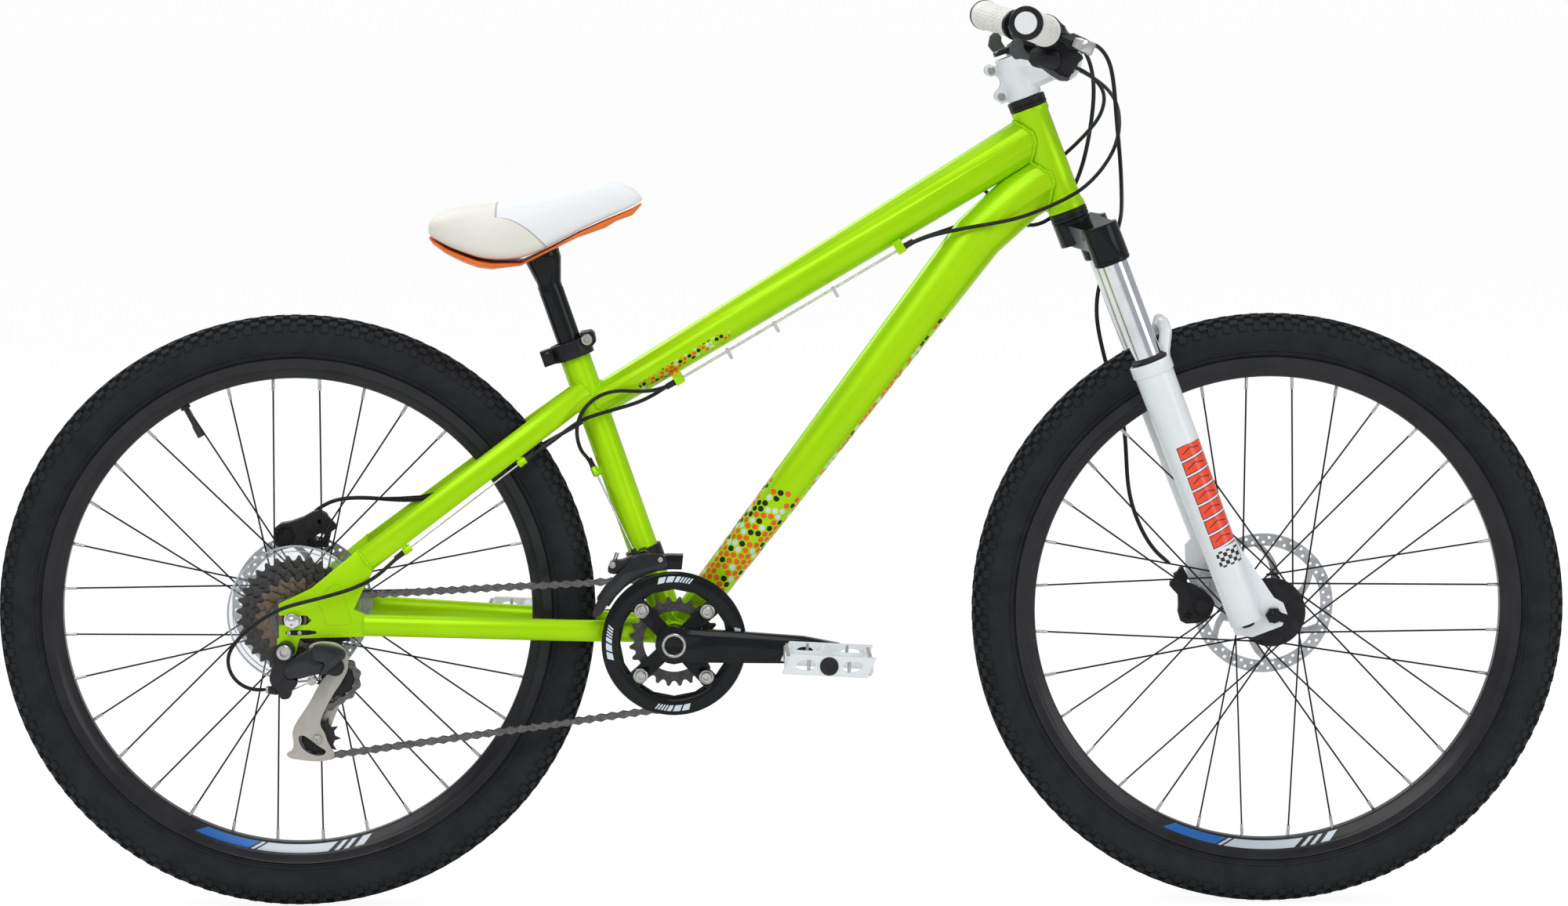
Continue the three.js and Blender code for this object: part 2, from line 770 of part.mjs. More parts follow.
// The loop as runs and arcs, each with its length and a function from distance to place
function chainPath(cageAngle) {
  const circles = chainCircles(cageAngle);
  const runs = circles.map((circle, i) => tangent(circle, circles[(i + 1) % circles.length]));
  const parts = [];
  circles.forEach((circle, i) => {
    const next = circles[(i + 1) % circles.length];
    const { from, to } = runs[i];
    const length = Math.hypot(to[0] - from[0], to[1] - from[1]);
    parts.push({
      length,
      at: (d) => {
        const share = d / length;
        const x = from[0] + (to[0] - from[0]) * share;
        const z = from[1] + (to[1] - from[1]) * share;
        return vec(x, circle.y + (next.y - circle.y) * share, z);
      },
    });
    const [arriveX, arriveZ] = to;
    const [leaveX, leaveZ] = runs[(i + 1) % runs.length].from;
    const start = Math.atan2(arriveZ - next.z, arriveX - next.x);
    const end = Math.atan2(leaveZ - next.z, leaveX - next.x);
    const full = 2 * Math.PI;
    const sweep = next.turn < 0 ? (start - end + 2 * full) % full : (end - start + 2 * full) % full;
    parts.push({
      length: sweep * next.radius,
      centre: next,
      at: (d) => {
        const angle = start + (next.turn * d) / next.radius;
        return vec(next.x + next.radius * Math.cos(angle), next.y, next.z + next.radius * Math.sin(angle));
      },
    });
  });
  return parts;
}

function placeOn(path, distance) {
  let left = distance;
  for (const part of path) {
    if (left <= part.length) return { point: part.at(left), centre: part.centre };
    left -= part.length;
  }
  return { point: path[0].at(left), centre: undefined };
}

// Pins at one pitch from each other, measured straight, seen from the side
function walkChain(path, count) {
  const pins = [];
  let distance = 0;
  for (let i = 0; i < count; i += 1) {
    const here = placeOn(path, distance);
    pins.push(here);
    let [low, high] = [distance + pitch * 0.9, distance + pitch * 1.1];
    for (let k = 0; k < 26; k += 1) {
      const middle = (low + high) / 2;
      const there = placeOn(path, middle).point;
      const reach = Math.hypot(there.x - here.point.x, there.z - here.point.z);
      if (reach < pitch) low = middle;
      else high = middle;
    }
    distance = (low + high) / 2;
  }
  return { pins, distance };
}

// The cage stands at the angle at which a whole and even number of links closes the loop
function solveChain() {
  const lengthAt = (angle) => chainPath(angle).reduce((sum, part) => sum + part.length, 0);
  const middle = cageAngleStart;
  const count = 2 * Math.round(lengthAt(middle) / pitch / 2);
  const spare = (angle) => lengthAt(angle) - walkChain(chainPath(angle), count).distance;
  let [low, high] = [middle - cageAngleSweep, middle + cageAngleSweep];
  const rising = spare(high) > spare(low);
  for (let k = 0; k < 24; k += 1) {
    const angle = (low + high) / 2;
    if (spare(angle) < 0 === rising) low = angle;
    else high = angle;
  }
  const cageAngle = (low + high) / 2;
  return { cageAngle, circles: chainCircles(cageAngle), pins: walkChain(chainPath(cageAngle), count).pins };
}

const chainLoop = solveChain();
const [cogCircle, ringCircle, tensionCircle, guideCircle] = chainLoop.circles;

function phaseOn(circle) {
  const pin = chainLoop.pins.find(({ centre }) => centre && centre.x === circle.x && centre.z === circle.z);
  return Math.atan2(pin.point.z - circle.z, pin.point.x - circle.x);
}

const cogPhase = phaseOn(cogCircle);
const ringPhase = phaseOn(ringCircle);
const tensionPhase = phaseOn(tensionCircle);
const guidePhase = phaseOn(guideCircle);

// The chain: two rows of side plates joined by a roller at every other pin
function chain() {
  const { pins } = chainLoop;
  const count = pins.length;
  const kept = pins.map(({ point, centre }, i) => {
    const before = pins[(i + count - 1) % count];
    const after = pins[(i + 1) % count];
    const along = after.point.clone().sub(before.point).setY(0).normalize();
    return { point, along, bends: Boolean(centre || before.centre || after.centre) };
  }).filter(({ bends }) => bends);
  const sides = [-1, 1].map((side) => plateBand(kept, side));
  const reach = chainInnerWidth / 2 + plateThickness / 2;
  const rollers = pins.filter((_, i) => i % 2 === 0).map(({ point: p }) => (
    rod(vec(p.x, p.y - reach, p.z), vec(p.x, p.y + reach, p.z), rollerRadius, 3)
  ));
  return join(...sides, ...rollers);
}

// One row of side plates as a closed band round the loop
function plateBand(places, side) {
  const half = plateHeight / 2;
  const near = side * (chainInnerWidth / 2);
  const far = side * (chainInnerWidth / 2 + plateThickness);
  const positions = [];
  const index = [];
  places.forEach(({ point, along }, i) => {
    const out = vec(-along.z, 0, along.x);
    for (const [y, reach] of [[near, half], [far, half], [far, -half], [near, -half]]) {
      const p = point.clone().addScaledVector(out, reach);
      positions.push(p.x, p.y + y, p.z);
    }
    const next = ((i + 1) % places.length) * 4;
    for (let k = 0; k < 4; k += 1) {
      const [a, b] = [i * 4 + k, i * 4 + ((k + 1) % 4)];
      const [c, d] = [next + ((k + 1) % 4), next + k];
      index.push(a, b, c, a, c, d);
    }
  });
  const band = new THREE.BufferGeometry();
  band.setAttribute('position', new THREE.Float32BufferAttribute(positions, 3));
  band.setIndex(index);
  return band;
}

// Chainrings, guard and cranks, centred on the bottom bracket
function crankSpot(radius, angle) {
  return [radius * Math.cos(angle + crankAngle), radius * Math.sin(angle + crankAngle)];
}

function boltAngles() {
  return [1, 3, 5, 7].map((odd) => (odd * Math.PI) / 4);
}

function ringPlate(outline, innerRadius, lugCircle, centreY, thickness) {
  const [low, high] = [centreY - thickness / 2, centreY + thickness / 2];
  const ring = plate(outline, low, high, [circlePoints(0, 0, innerRadius, 16)]);
  const lugs = boltAngles().map((angle) => {
    const [x0, z0] = crankSpot(lugCircle, angle);
    const [x1, z1] = crankSpot(innerRadius - overrun, angle);
    return plate(capsule(x0, z0, boltLugRadius, x1, z1, boltLugRadius, 3), low, high);
  });
  return join(ring, ...lugs);
}

function largeChainring() {
  const inner = pitchRadius(largeTeeth) - rollerRadius - ringBand;
  return ringPlate(toothOutline(largeTeeth, ringPhase), inner, boltCircle, largeRingY, ringThickness);
}

function smallChainring() {
  const round = pitchRadius(smallTeeth);
  return ringPlate(
    circlePoints(0, 0, round + toothReach, smallTeeth),
    round - rollerRadius - ringBand / 2,
    innerBoltCircle,
    smallRingY,
    ringThickness,
  );
}

const spiderOuterY = largeRingY - ringThickness / 2 - gap - spiderThickness;

function bashGuard() {
  const outerY = spiderOuterY - gap - guardThickness;
  const outline = circlePoints(0, 0, guardRadius, 36);
  const ring = plate(
    outline, outerY, outerY + guardThickness, [circlePoints(0, 0, guardRadius - guardBand, 24)],
  );
  const lugs = boltAngles().map((angle) => {
    const [x0, z0] = crankSpot(boltCircle, angle);
    const [x1, z1] = crankSpot(guardRadius - guardBand / 2, angle);
    return plate(capsule(x0, z0, boltLugRadius, x1, z1, boltLugRadius, 3), outerY, outerY + guardThickness);
  });
  return join(ring, ...lugs);
}

function crankArm(side) {
  const tip = crankSpot(crankLength, side < 0 ? 0 : Math.PI);
  const direction = vec(tip[0], 0, tip[1]).normalize();
  const across = vec(-direction.z, 0, direction.x);
  const ringAt = (share, y, depth, height) => {
    const centre = direction.clone().multiplyScalar(share * crankLength);
    const inner = side * y;
    const outer = side * (y + depth);
    const corner = [[inner, -0.5], [inner, 0.5], [(inner + outer * 3) / 4, 0.5], [outer, 0.3], [outer, -0.3]];
    const last = [(inner + outer * 3) / 4, -0.5];
    return [...corner, last].map(([atY, part]) => {
      const p = centre.clone().addScaledVector(across, part * height);
      return vec(p.x, atY, p.z);
    });
  };
  const tipShare = 1 + crankTipHeight / 2 / crankLength;
  const arm = loft([
    ringAt(-0.02, crankRootY, crankRootDepth, crankRootHeight),
    ringAt(0.3, crankRootY + (crankTipY - crankRootY) * 0.25, crankRootDepth, crankRootHeight * 0.95),
    ringAt(0.85, crankTipY, crankTipDepth, crankTipHeight),
    ringAt(tipShare, crankTipY, crankTipDepth, crankTipHeight * 0.55),
  ]);
  const axleRoot = side * (crankTipY + crankTipDepth / 2);
  const axleEnd = side * (pedalInnerY + pedalWidth - pedalBar);
  const stub = rod(vec(tip[0], axleRoot, tip[1]), vec(tip[0], axleEnd, tip[1]), pedalAxleRadius, 12);
  const bossOuter = side * (crankRootY + crankRootDepth);
  const boss = rod(vec(0, side * crankBossInnerY, 0), vec(0, bossOuter, 0), crankBossRadius, 16);
  return [arm, stub, boss];
}

function rightCrank() {
  const arms = boltAngles().map((angle) => {
    const [x, z] = crankSpot(boltCircle, angle);
    const shape = capsule(0, 0, spiderArmWidth / 2, x, z, boltLugRadius, 3);
    return plate(shape, spiderOuterY, spiderOuterY + spiderThickness);
  });
  const posts = boltAngles().map((angle) => {
    const [x, z] = crankSpot(innerBoltCircle, angle);
    const postEnd = smallRingY - ringThickness / 2 - gap;
    return rod(vec(x, postEnd, z), vec(x, spiderOuterY + spiderThickness / 2, z), boltLugRadius / 2, 8);
  });
  const spindle = rod(vec(0, -crankRootY, 0), vec(0, spindleEndY, 0), spindleRadius);
  const whole = join(...crankArm(-1), ...arms, ...posts, spindle);
  const bore = rod(
    vec(0, -crankRootY - crankRootDepth - overrun, 0), vec(0, spindleEndY + overrun, 0), spindleBore,
  );
  return cut(whole, bore);
}

function leftCrank() {
  const whole = join(...crankArm(1));
  const boreRadius = (spindleRadius + gap) / Math.cos(Math.PI / tubeSides);
  const end = crankRootY + crankRootDepth + overrun;
  return cut(whole, rod(vec(0, crankBossInnerY - overrun, 0), vec(0, end, 0), boreRadius));
}

function pedal(side) {
  const [x, z] = crankSpot(crankLength, side < 0 ? 0 : Math.PI);
  const half = pedalLength / 2;
  const ends = [side * pedalInnerY, side * (pedalInnerY + pedalWidth)];
  const [low, high] = [Math.min(...ends), Math.max(...ends)];
  const slant = pedalBar;
  const outline = [
    [-half, low + slant], [-half + slant, low], [half - slant, low], [half, low + slant],
    [half, high - slant], [half - slant, high], [-half + slant, high], [-half, high - slant],
  ];
  const holes = [];
  const rail = pedalBarrelRadius + pedalBar / 3;
  const middle = (low + high) / 2;
  for (const end of [-1, 1]) {
    const halves = [[low + pedalBar, middle - pedalBar / 4], [middle + pedalBar / 4, high - pedalBar]];
  for (const [from, to] of halves) {
      holes.push(
        [
          [end * rail, from], [end * (half - pedalBar), from],
          [end * (half - pedalBar), to], [end * rail, to],
        ],
      );
    }
  }
  const deck = plate(outline, -pedalThickness / 2, pedalThickness / 2, holes).rotateX(-Math.PI / 2);
  const barrel = rod(vec(0, low, 0), vec(0, high, 0), pedalBarrelRadius, 12);
  const boreRadius = (pedalAxleRadius + runningGap) / Math.cos(Math.PI / 12);
  const inward = side < 0 ? high + overrun : low - overrun;
  const deep = side < 0 ? low + pedalBar - gap : high - pedalBar + gap;
  const body = cut(join(deck, barrel), rod(vec(0, inward, 0), vec(0, deep, 0), boreRadius, 12));
  return body.rotateY(pedalTilt).translate(x, 0, z);
}

// Rear derailleur
const dropoutOuterY = -(rearSpacing / 2 + dropoutThickness);
const hangerX = rearAxle.x + hangerForward;
const hangerHeight = rearAxle.z - hangerDrop;

function pulley(circle, phase) {
  const outline = toothOutline(pulleyTeeth, phase);
  const bore = circlePoints(0, 0, pulleyBore + runningGap, 8);
  return plate(outline, circle.y - pulleyWidth / 2, circle.y + pulleyWidth / 2, [bore]);
}

function derailleurCage() {
  const { x: tensionX, z: tensionZ } = tensionCircle;
  const half = cageInnerWidth / 2;
  const parts = [-1, 1].map((side) => {
    const inner = smallestCogY + side * half;
    const outer = smallestCogY + side * (half + cagePlate);
    const shape = capsule(guideX, guideHeight, cageGuideRadius, tensionX, tensionZ, cageHalfWidth, 6);
    return plate(shape, Math.min(inner, outer), Math.max(inner, outer));
  });
  const reach = half + cagePlate / 2;
  for (const { x, z } of [guideCircle, tensionCircle]) {
    parts.push(rod(vec(x, smallestCogY - reach, z), vec(x, smallestCogY + reach, z), pulleyBore, 8));
  }
  const neck = smallestCogY - half - cagePlate;
  const arm = capsule(
    knuckleX, knuckleHeight, knuckleRadius * 0.8, guideX, guideHeight, cageGuideRadius, 4,
  );
  parts.push(plate(arm, neck, smallestCogY - half));
  parts.push(
    rod(
      vec(knuckleX, neck, knuckleHeight), vec(knuckleX, neck - overrun, knuckleHeight), knuckleRadius * 0.8,
    ),
  );
  return join(...parts);
}

// The link turns between lugs about pins that lean inwards, so that it carries the cage in and down
const knuckleInnerY = smallestCogY - cageInnerWidth / 2 - cagePlate - overrun - gap;
const linkFront = vec(knuckleX - lugReach, knuckleInnerY - knuckleDepth / 2, knuckleHeight);
const linkAxis = vec(0, Math.cos(Math.PI / 2 - linkTilt), Math.sin(Math.PI / 2 - linkTilt));
const linkInward = vec(0, linkAxis.z, -linkAxis.y);
const linkRear = linkFront.clone()
  .add(vec(-linkLength * Math.cos(linkSwing), 0, 0))
  .addScaledVector(linkInward, linkLength * Math.sin(linkSwing));

// A flat body drawn in the plane that the link turns in, from a pivot, between two heights along the pin
function pivotPlate(origin, outline, low, high) {
  const body = plate(outline, low, high);
  const frame = new THREE.Matrix4().makeBasis(vec(1, 0, 0), linkAxis, linkInward.clone().negate());
  return body.applyMatrix4(frame).translate(origin.x, origin.y, origin.z);
}

function lugs(origin, forward) {
  const half = linkThickness / 2;
  const reach = forward * lugReach;
  const shape = capsule(Math.min(0, reach), 0, linkRadius, Math.max(0, reach), 0, linkRadius, 3);
  return cut(
    pivotPlate(origin, shape, -half - gap - lugThickness, half + gap + lugThickness),
    pivotPlate(origin, circlePoints(0, 0, linkRadius + gap * 3, 8), -half - gap, half + gap),
    pivotPlate(origin, linkRoom(-forward), -half - gap, half + gap),
  );
}

// The room that the link sweeps on its own side of a pivot
function linkRoom(forward) {
  const far = forward * linkRadius * 4;
  const wide = linkRadius * 3;
  return [[0, -linkRadius - gap * 2], [far, -wide], [far, wide], [0, linkRadius + gap * 2]];
}

function linkPinAt(origin) {
  const half = linkThickness / 2 + lugThickness;
  return pivotPlate(origin, circlePoints(0, 0, linkPin, linkPinSides), -half, half);
}

function derailleurKnuckle() {
  const outer = knuckleInnerY - knuckleDepth;
  const barrel = rod(
    vec(knuckleX, knuckleInnerY, knuckleHeight), vec(knuckleX, outer, knuckleHeight), knuckleRadius,
  );
  const half = linkThickness / 2 + gap;
  const room = pivotPlate(linkFront, circlePoints(0, 0, linkRadius + gap * 3, 8), -half, half);
  return join(cut(join(barrel, lugs(linkFront, 1)), room), linkPinAt(linkFront));
}

function derailleurLink() {
  const reach = linkFront.clone().sub(linkRear);
  const u = reach.x;
  const v = -reach.dot(linkInward);
  const half = linkThickness / 2;
  const bore = (linkPin + runningGap) / Math.cos(Math.PI / linkPinSides);
  const holes = [[0, 0], [u, v]].map(([x, z]) => circlePoints(x, z, bore, linkPinSides));
  const shape = capsule(0, 0, linkRadius, u, v, linkRadius, 5);
  const solid = holes.reduce(
    (body, hole) => cut(body, pivotPlate(linkRear, hole, -half - overrun, half + overrun)),
    pivotPlate(linkRear, shape, -half, half),
  );
  return solid;
}

function derailleurBracket() {
  const outer = dropoutOuterY - gap;
  const bolt = rod(
    vec(hangerX, outer, hangerHeight), vec(hangerX, outer - bracketDepth, hangerHeight), bracketBoltRadius,
  );
  const foot = linkRear.clone().add(vec(-lugReach, 0, 0));
  const neckTop = vec(hangerX, outer - bracketDepth / 2 - overrun, hangerHeight);
  const neck = rod(
    foot.clone().addScaledVector(linkAxis, -linkThickness / 2), neckTop, linkRadius * 0.9, 8,
  );
  const half = linkThickness / 2 + gap;
  const room = pivotPlate(linkRear, circlePoints(0, 0, linkRadius + gap * 3, 8), -half, half);
  return join(cut(join(bolt, neck, lugs(linkRear, -1)), room), linkPinAt(linkRear));
}

// Front derailleur
function mechBand() {
  const centre = bracket.clone().addScaledVector(seatUp, mechBandCentre);
  const reach = seatUp.clone().multiplyScalar(mechBandHeight / 2);
  const outerRadius = seatTubeRadius + gap + mechBandWall;
  const [from, to] = [centre.clone().sub(reach), centre.clone().add(reach)];
  const pivotX = seatAxisAt(mechPivotHeight).x;
  const lug = rod(
    vec(pivotX, 0, mechPivotHeight), vec(pivotX, mechLugY, mechPivotHeight), mechLugRadius, 10,
  );
  const boreRadius = (seatTubeRadius + gap) / Math.cos(Math.PI / 16);
  const far = seatUp.clone().multiplyScalar(mechBandHeight * 2);
  const bore = rod(centre.clone().sub(far), centre.clone().add(far), boreRadius, 16);
  const pinBore = rod(
    vec(pivotX, mechLugY + mechBoreDepth, mechPivotHeight), vec(
      pivotX, mechLugY - overrun, mechPivotHeight,
    ),
    mechPinRadius + runningGap, 10,
  );
  return cut(join(rod(from, to, outerRadius, 16), lug), bore, pinBore);
}

function mechCage() {
  const sector = (inner, outer, front, rear, steps) => {
    const points = [];
    for (let i = 0; i <= steps; i += 1) {
      const angle = front + ((rear - front) * i) / steps;
      points.push([bracket.x + outer * Math.cos(angle), bracket.z + outer * Math.sin(angle)]);
    }
    for (let i = steps; i >= 0; i -= 1) {
      const angle = front + ((rear - front) * i) / steps;
      points.push([bracket.x + inner * Math.cos(angle), bracket.z + inner * Math.sin(angle)]);
    }
    return points;
  };
  const outerY = largeRingY - mechCageWidth / 2;
  const innerY = largeRingY + mechCageWidth / 2;
  const side = sector(mechCageInner, mechCageOuter, mechFrontAngle, mechRearAngle, 7);
  const top = sector(mechCageOuter - mechCagePlate * 2, mechCageOuter, mechFrontAngle, mechWebAngle, 4);
  const rootAngle = (mechFrontAngle + mechWebAngle) / 2;
  const rootX = bracket.x + mechCageOuter * Math.cos(rootAngle);
  const rootZ = bracket.z + mechCageOuter * Math.sin(rootAngle) - mechCagePlate * 3;
  const pivotX = seatAxisAt(mechPivotHeight).x;
  const arm = capsule(pivotX, mechPivotHeight, mechLugRadius, rootX, rootZ, mechLugRadius / 2, 4);
  return join(
    plate(side, outerY - mechCagePlate, outerY),
    plate(side, innerY, innerY + mechCagePlate),
    plate(top, outerY - mechCagePlate / 2, innerY + mechCagePlate / 2),
    plate(arm, largeRingY, mechLugY - gap - mechTravel),
    rod(
      vec(pivotX, largeRingY + overrun, mechPivotHeight), vec(
        pivotX, mechLugY + mechPinDepth, mechPivotHeight,
      ),
      mechPinRadius, 10,
    ),
  );
}

// Frame tubes
function headTube() {
  const flare = headTubeRadius + headTubeFlare;
  const top = headTubeLength;
  const profile = [
    [headTubeBore, 0], [flare, 0], [flare, headTubeLip * 0.6], [headTubeRadius, headTubeLip],
    [headTubeRadius, top - headTubeLip], [flare, top - headTubeLip * 0.6], [flare, top], [headTubeBore, top],
  ];
  return turned(profile, 16).rotateX(Math.PI / 2);
}

function headClearance() {
  const far = steeringUp.clone().multiplyScalar(overrun * 4);
  return rod(
    headBottom.clone().sub(far), headTop.clone().add(far), headTubeRadius + headTubeFlare + gap, 24,
  );
}

function seatClearance() {
  const from = bracket.clone();
  return rod(from, seatTopPoint.clone().addScaledVector(seatUp, overrun), seatTubeRadius + gap, 24);
}

function shellClearance() {
  const half = shellWidth / 2 + overrun;
  return rod(vec(bracket.x, -half, bracket.z), vec(bracket.x, half, bracket.z), shellRadius + gap, 28);
}

function seatAxisAt(height) {
  return bracket.clone().addScaledVector(seatUp, (height - bracket.z) / seatUp.z);
}

function headAxisAt(height) {
  return headBottom.clone().addScaledVector(steeringUp, (height - headBottom.z) / steeringUp.z);
}

function topTubePlaces() {
  const rear = seatAxisAt(topTubeRearHeight);
  const front = headAxisAt(topTubeFrontHeight);
  return [0, 0.3, 0.65, 1].map((share) => ({
    at: rear.clone().lerp(front, share),
    width: topTubeRearWidth + (topTubeFrontWidth - topTubeRearWidth) * share,
    depth: topTubeRearDepth + (topTubeFrontDepth - topTubeRearDepth) * share,
  }));
}

function topTube() {
  const body = join(ovalTube(topTubePlaces()), cableGuide(frontGuideShare), cableGuide(rearGuideShare));
  return cut(
    body, headClearance(), seatClearance(), ...guideBores(frontGuideShare), ...guideBores(rearGuideShare),
  );
}

function downTube() {
  const bend = vec(downTubeBendX, 0, downTubeBendHeight);
  const end = headBottom.clone().addScaledVector(steeringUp, downTubeMeet);
  const along = bend.clone().sub(bracket).normalize();
  const beforeBend = bend.clone().addScaledVector(along, -downTubeFrontDepth / 2);
  const afterBend = bend.clone().lerp(end, 0.45);
  const places = [
    { at: bracket.clone(), width: downTubeWidth, depth: downTubeRearDepth },
    {
      at: bracket.clone().lerp(beforeBend, 0.5),
      width: downTubeWidth,
      depth: (downTubeRearDepth + downTubeFrontDepth) / 2,
    },
    { at: beforeBend, width: downTubeWidth, depth: downTubeFrontDepth },
    { at: afterBend, width: downTubeWidth, depth: downTubeFrontDepth },
    { at: end, width: downTubeWidth, depth: downTubeFrontDepth },
  ];
  return cut(
    ovalTube(places), headClearance(), shellClearance(), seatClearance(), ovalTube(
      topTubePlaces(), tubeSides, gap,
    ),
  );
}

function seatTube() {
  const half = shellWidth / 2;
  const tube = rod(bracket, seatTopPoint, seatTubeRadius, 16);
  const shell = rod(vec(bracket.x, -half, bracket.z), vec(bracket.x, half, bracket.z), shellRadius, 24);
  const spindleRoom = (spindleRadius + runningGap) / Math.cos(Math.PI / tubeSides);
  const past = half + overrun;
  const spindleHole = rod(vec(bracket.x, -past, bracket.z), vec(bracket.x, past, bracket.z), spindleRoom);
  const boreFrom = bracket.clone().addScaledVector(seatUp, shellRadius * 2);
  const bore = rod(
    boreFrom,
    seatTopPoint.clone().addScaledVector(seatUp, overrun),
    seatTubeBore / Math.cos(Math.PI / 16),
    16,
  );
  const stop = vec(...seatStop);
  const down = seatStopAlong();
  return cut(
    join(tube, shell, stopBody(seatAxisAt(stop.z), stop, down)), spindleHole, bore, stopBore(stop, down),
  );
}

function seatstayPlaces(side) {
  const top = vec(seatstayTopX, side * seatstayTopY, seatstayTopHeight);
  const bend = vec(seatstayBendX, side * seatstayBendY, seatstayBendHeight);
  const end = vec(stayEndX, side * (rearSpacing / 2), seatstayEndHeight);
  return [top, bend.clone().lerp(top, 0.3), bend, bend.clone().lerp(end, 0.3), end]
    .map((at) => ({ at, width: seatstayWidth, depth: seatstayDepth }));
}

function seatstay(side) {
  const stay = ovalTube(seatstayPlaces(side), 12);
  if (side > 0) return cut(stay, seatClearance());
  const stops = [upperStayStopShare, lowerStayStopShare].map(stayStop);
  return cut(
    join(stay, ...stops.map(({ root, centre, along }) => stopBody(root, centre, along))),
    seatClearance(), ...stops.map(({ centre, along }) => stopBore(centre, along)),
  );
}

// The plate that holds the axle in a slot open to the rear, with arms to both stays
function dropout(side) {
  const { x: axleX, z: axleZ } = rearAxle;
  const slotHalf = slotHeight / 2;
  const rearEdge = axleX - dropoutReach;
  const slotEnd = axleX + slotFront;
  const bend = vec(seatstayBendX, 0, seatstayBendHeight);
  const end = vec(stayEndX, 0, seatstayEndHeight);
  const along = end.clone().sub(bend).normalize();
  const across = vec(-along.z, 0, along.x);
  const armEnd = end.clone().addScaledVector(along, gap);
  const armHigh = armEnd.clone().addScaledVector(across, -seatstayDepth / 2);
  const armLow = armEnd.clone().addScaledVector(across, seatstayDepth / 2);
  const stayHalf = chainstayHeight / 2;
  const stayHigh = chainstayEndHeight + stayHalf;
  const outline = [
    [rearEdge, axleZ - slotHalf], [rearEdge, axleZ - dropoutLip - slotHalf * 0.8],
  ];
  if (side < 0) {
    outline.push([hangerX - hangerWidth / 2, axleZ - dropoutLip - slotHalf]);
    outline.push([hangerX - hangerWidth / 2, hangerHeight - hangerWidth / 3]);
    outline.push([hangerX, hangerHeight - hangerWidth / 2]);
    outline.push([hangerX + hangerWidth / 2, hangerHeight - hangerWidth / 3]);
    outline.push([hangerX + hangerWidth / 2 + slotHalf, axleZ - dropoutLip - slotHalf]);
  }
  outline.push(
    [stayEndX, chainstayEndHeight - stayHalf],
    [stayEndX, stayHigh],
    [stayEndX - stayHalf, stayHigh + slotHalf],
    [armLow.x, armLow.z],
    [armHigh.x, armHigh.z],
    [axleX + slotFront, axleZ + slotHalf + dropoutLip * 2],
    [rearEdge, axleZ + dropoutLip + slotHalf * 0.6],
    [rearEdge, axleZ + slotHalf],
    [slotEnd - slotHalf, axleZ + slotHalf],
    [slotEnd, axleZ],
    [slotEnd - slotHalf, axleZ - slotHalf],
  );
  const inner = side * (rearSpacing / 2);
  const outer = side * (rearSpacing / 2 + dropoutThickness);
  return plate(outline, Math.min(inner, outer), Math.max(inner, outer));
}

function chainstay(side) {
  const startX = bracket.x - chainstayStart;
  const riseAt = (x) => bracket.z + chainstayRise
    + ((chainstayEndHeight - bracket.z - chainstayRise) * (startX - x)) / (startX - stayEndX);
  const at = (x, y) => ({ at: vec(x, side * y, riseAt(x)), width: chainstayWidth, depth: chainstayHeight });
  const endY = rearSpacing / 2 + dropoutThickness / 2;
  const stay = ovalTube([
    at(bracket.x, chainstayInner * 0.8),
    at(startX, chainstayInner),
    at(chainstayBendX, chainstayBendY),
    at(chainstaySecondX, chainstaySecondY),
    at((chainstaySecondX + stayEndX) / 2, (chainstaySecondY + endY) / 2),
    at(stayEndX - overrun, endY),
  ], 12);
  return cut(join(stay, dropout(side)), shellClearance(), seatClearance());
}

// Headset, fork and cockpit, in the steering frame
function cup(low, high) {
  const bore = (steererRadius + gap) / Math.cos(Math.PI / hubSides);
  const profile = [[bore, low], [cupRadius, low], [cupRadius, high], [bore, high]];
  return turned(profile, hubSides).rotateX(Math.PI / 2);
}

function forkCrown() {
  const low = -crownTop - crownHeight;
  const parts = [
    rod(vec(0, 0, low), vec(0, 0, -crownTop), crownRadius, 16),
    rod(vec(0, 0, low), vec(0, 0, steererTop), steererRadius),
  ];
  for (const side of [-1, 1]) {
    const y = (side * legSpacing) / 2;
    parts.push(
      rod(vec(legForward, y, -socketBottom), vec(legForward, y, -crownShoulder), socketRadius, 16),
    );
    parts.push(
      rod(vec(legForward, y, -stanchionEnd), vec(legForward, y, -socketBottom + overrun), stanchionRadius),
    );
    const ringAt = (forward, across, width, top, bottom) => [
      vec(forward - width / 2, across, bottom), vec(forward + width / 2, across, bottom),
      vec(forward + width / 2, across, top), vec(forward - width / 2, across, top),
    ];
    parts.push(loft([
      ringAt(crownRadius / 4, 0, crownRadius * 1.7, -crownTop, low),
      ringAt(legForward, y, socketRadius * 1.6, -crownShoulder, -crownShoulder - crownHeight),
    ]));
  }
  return join(...parts);
}

function forkLeg(side) {
  const y = (side * legSpacing) / 2;
  const at = (s) => vec(legForward, y, -s);
  const seal = rod(at(legTop + legSealHeight), at(legTop), legTopRadius, 12);
  const upper = rod(
    at(legBoreEnd), at(legTop + legSealHeight - overrun), legLowerRadius, 12, legUpperRadius,
  );
  const lower = rod(at(legEnd), at(legBoreEnd), legLowerRadius, 12);
  return [seal, upper, lower];
}

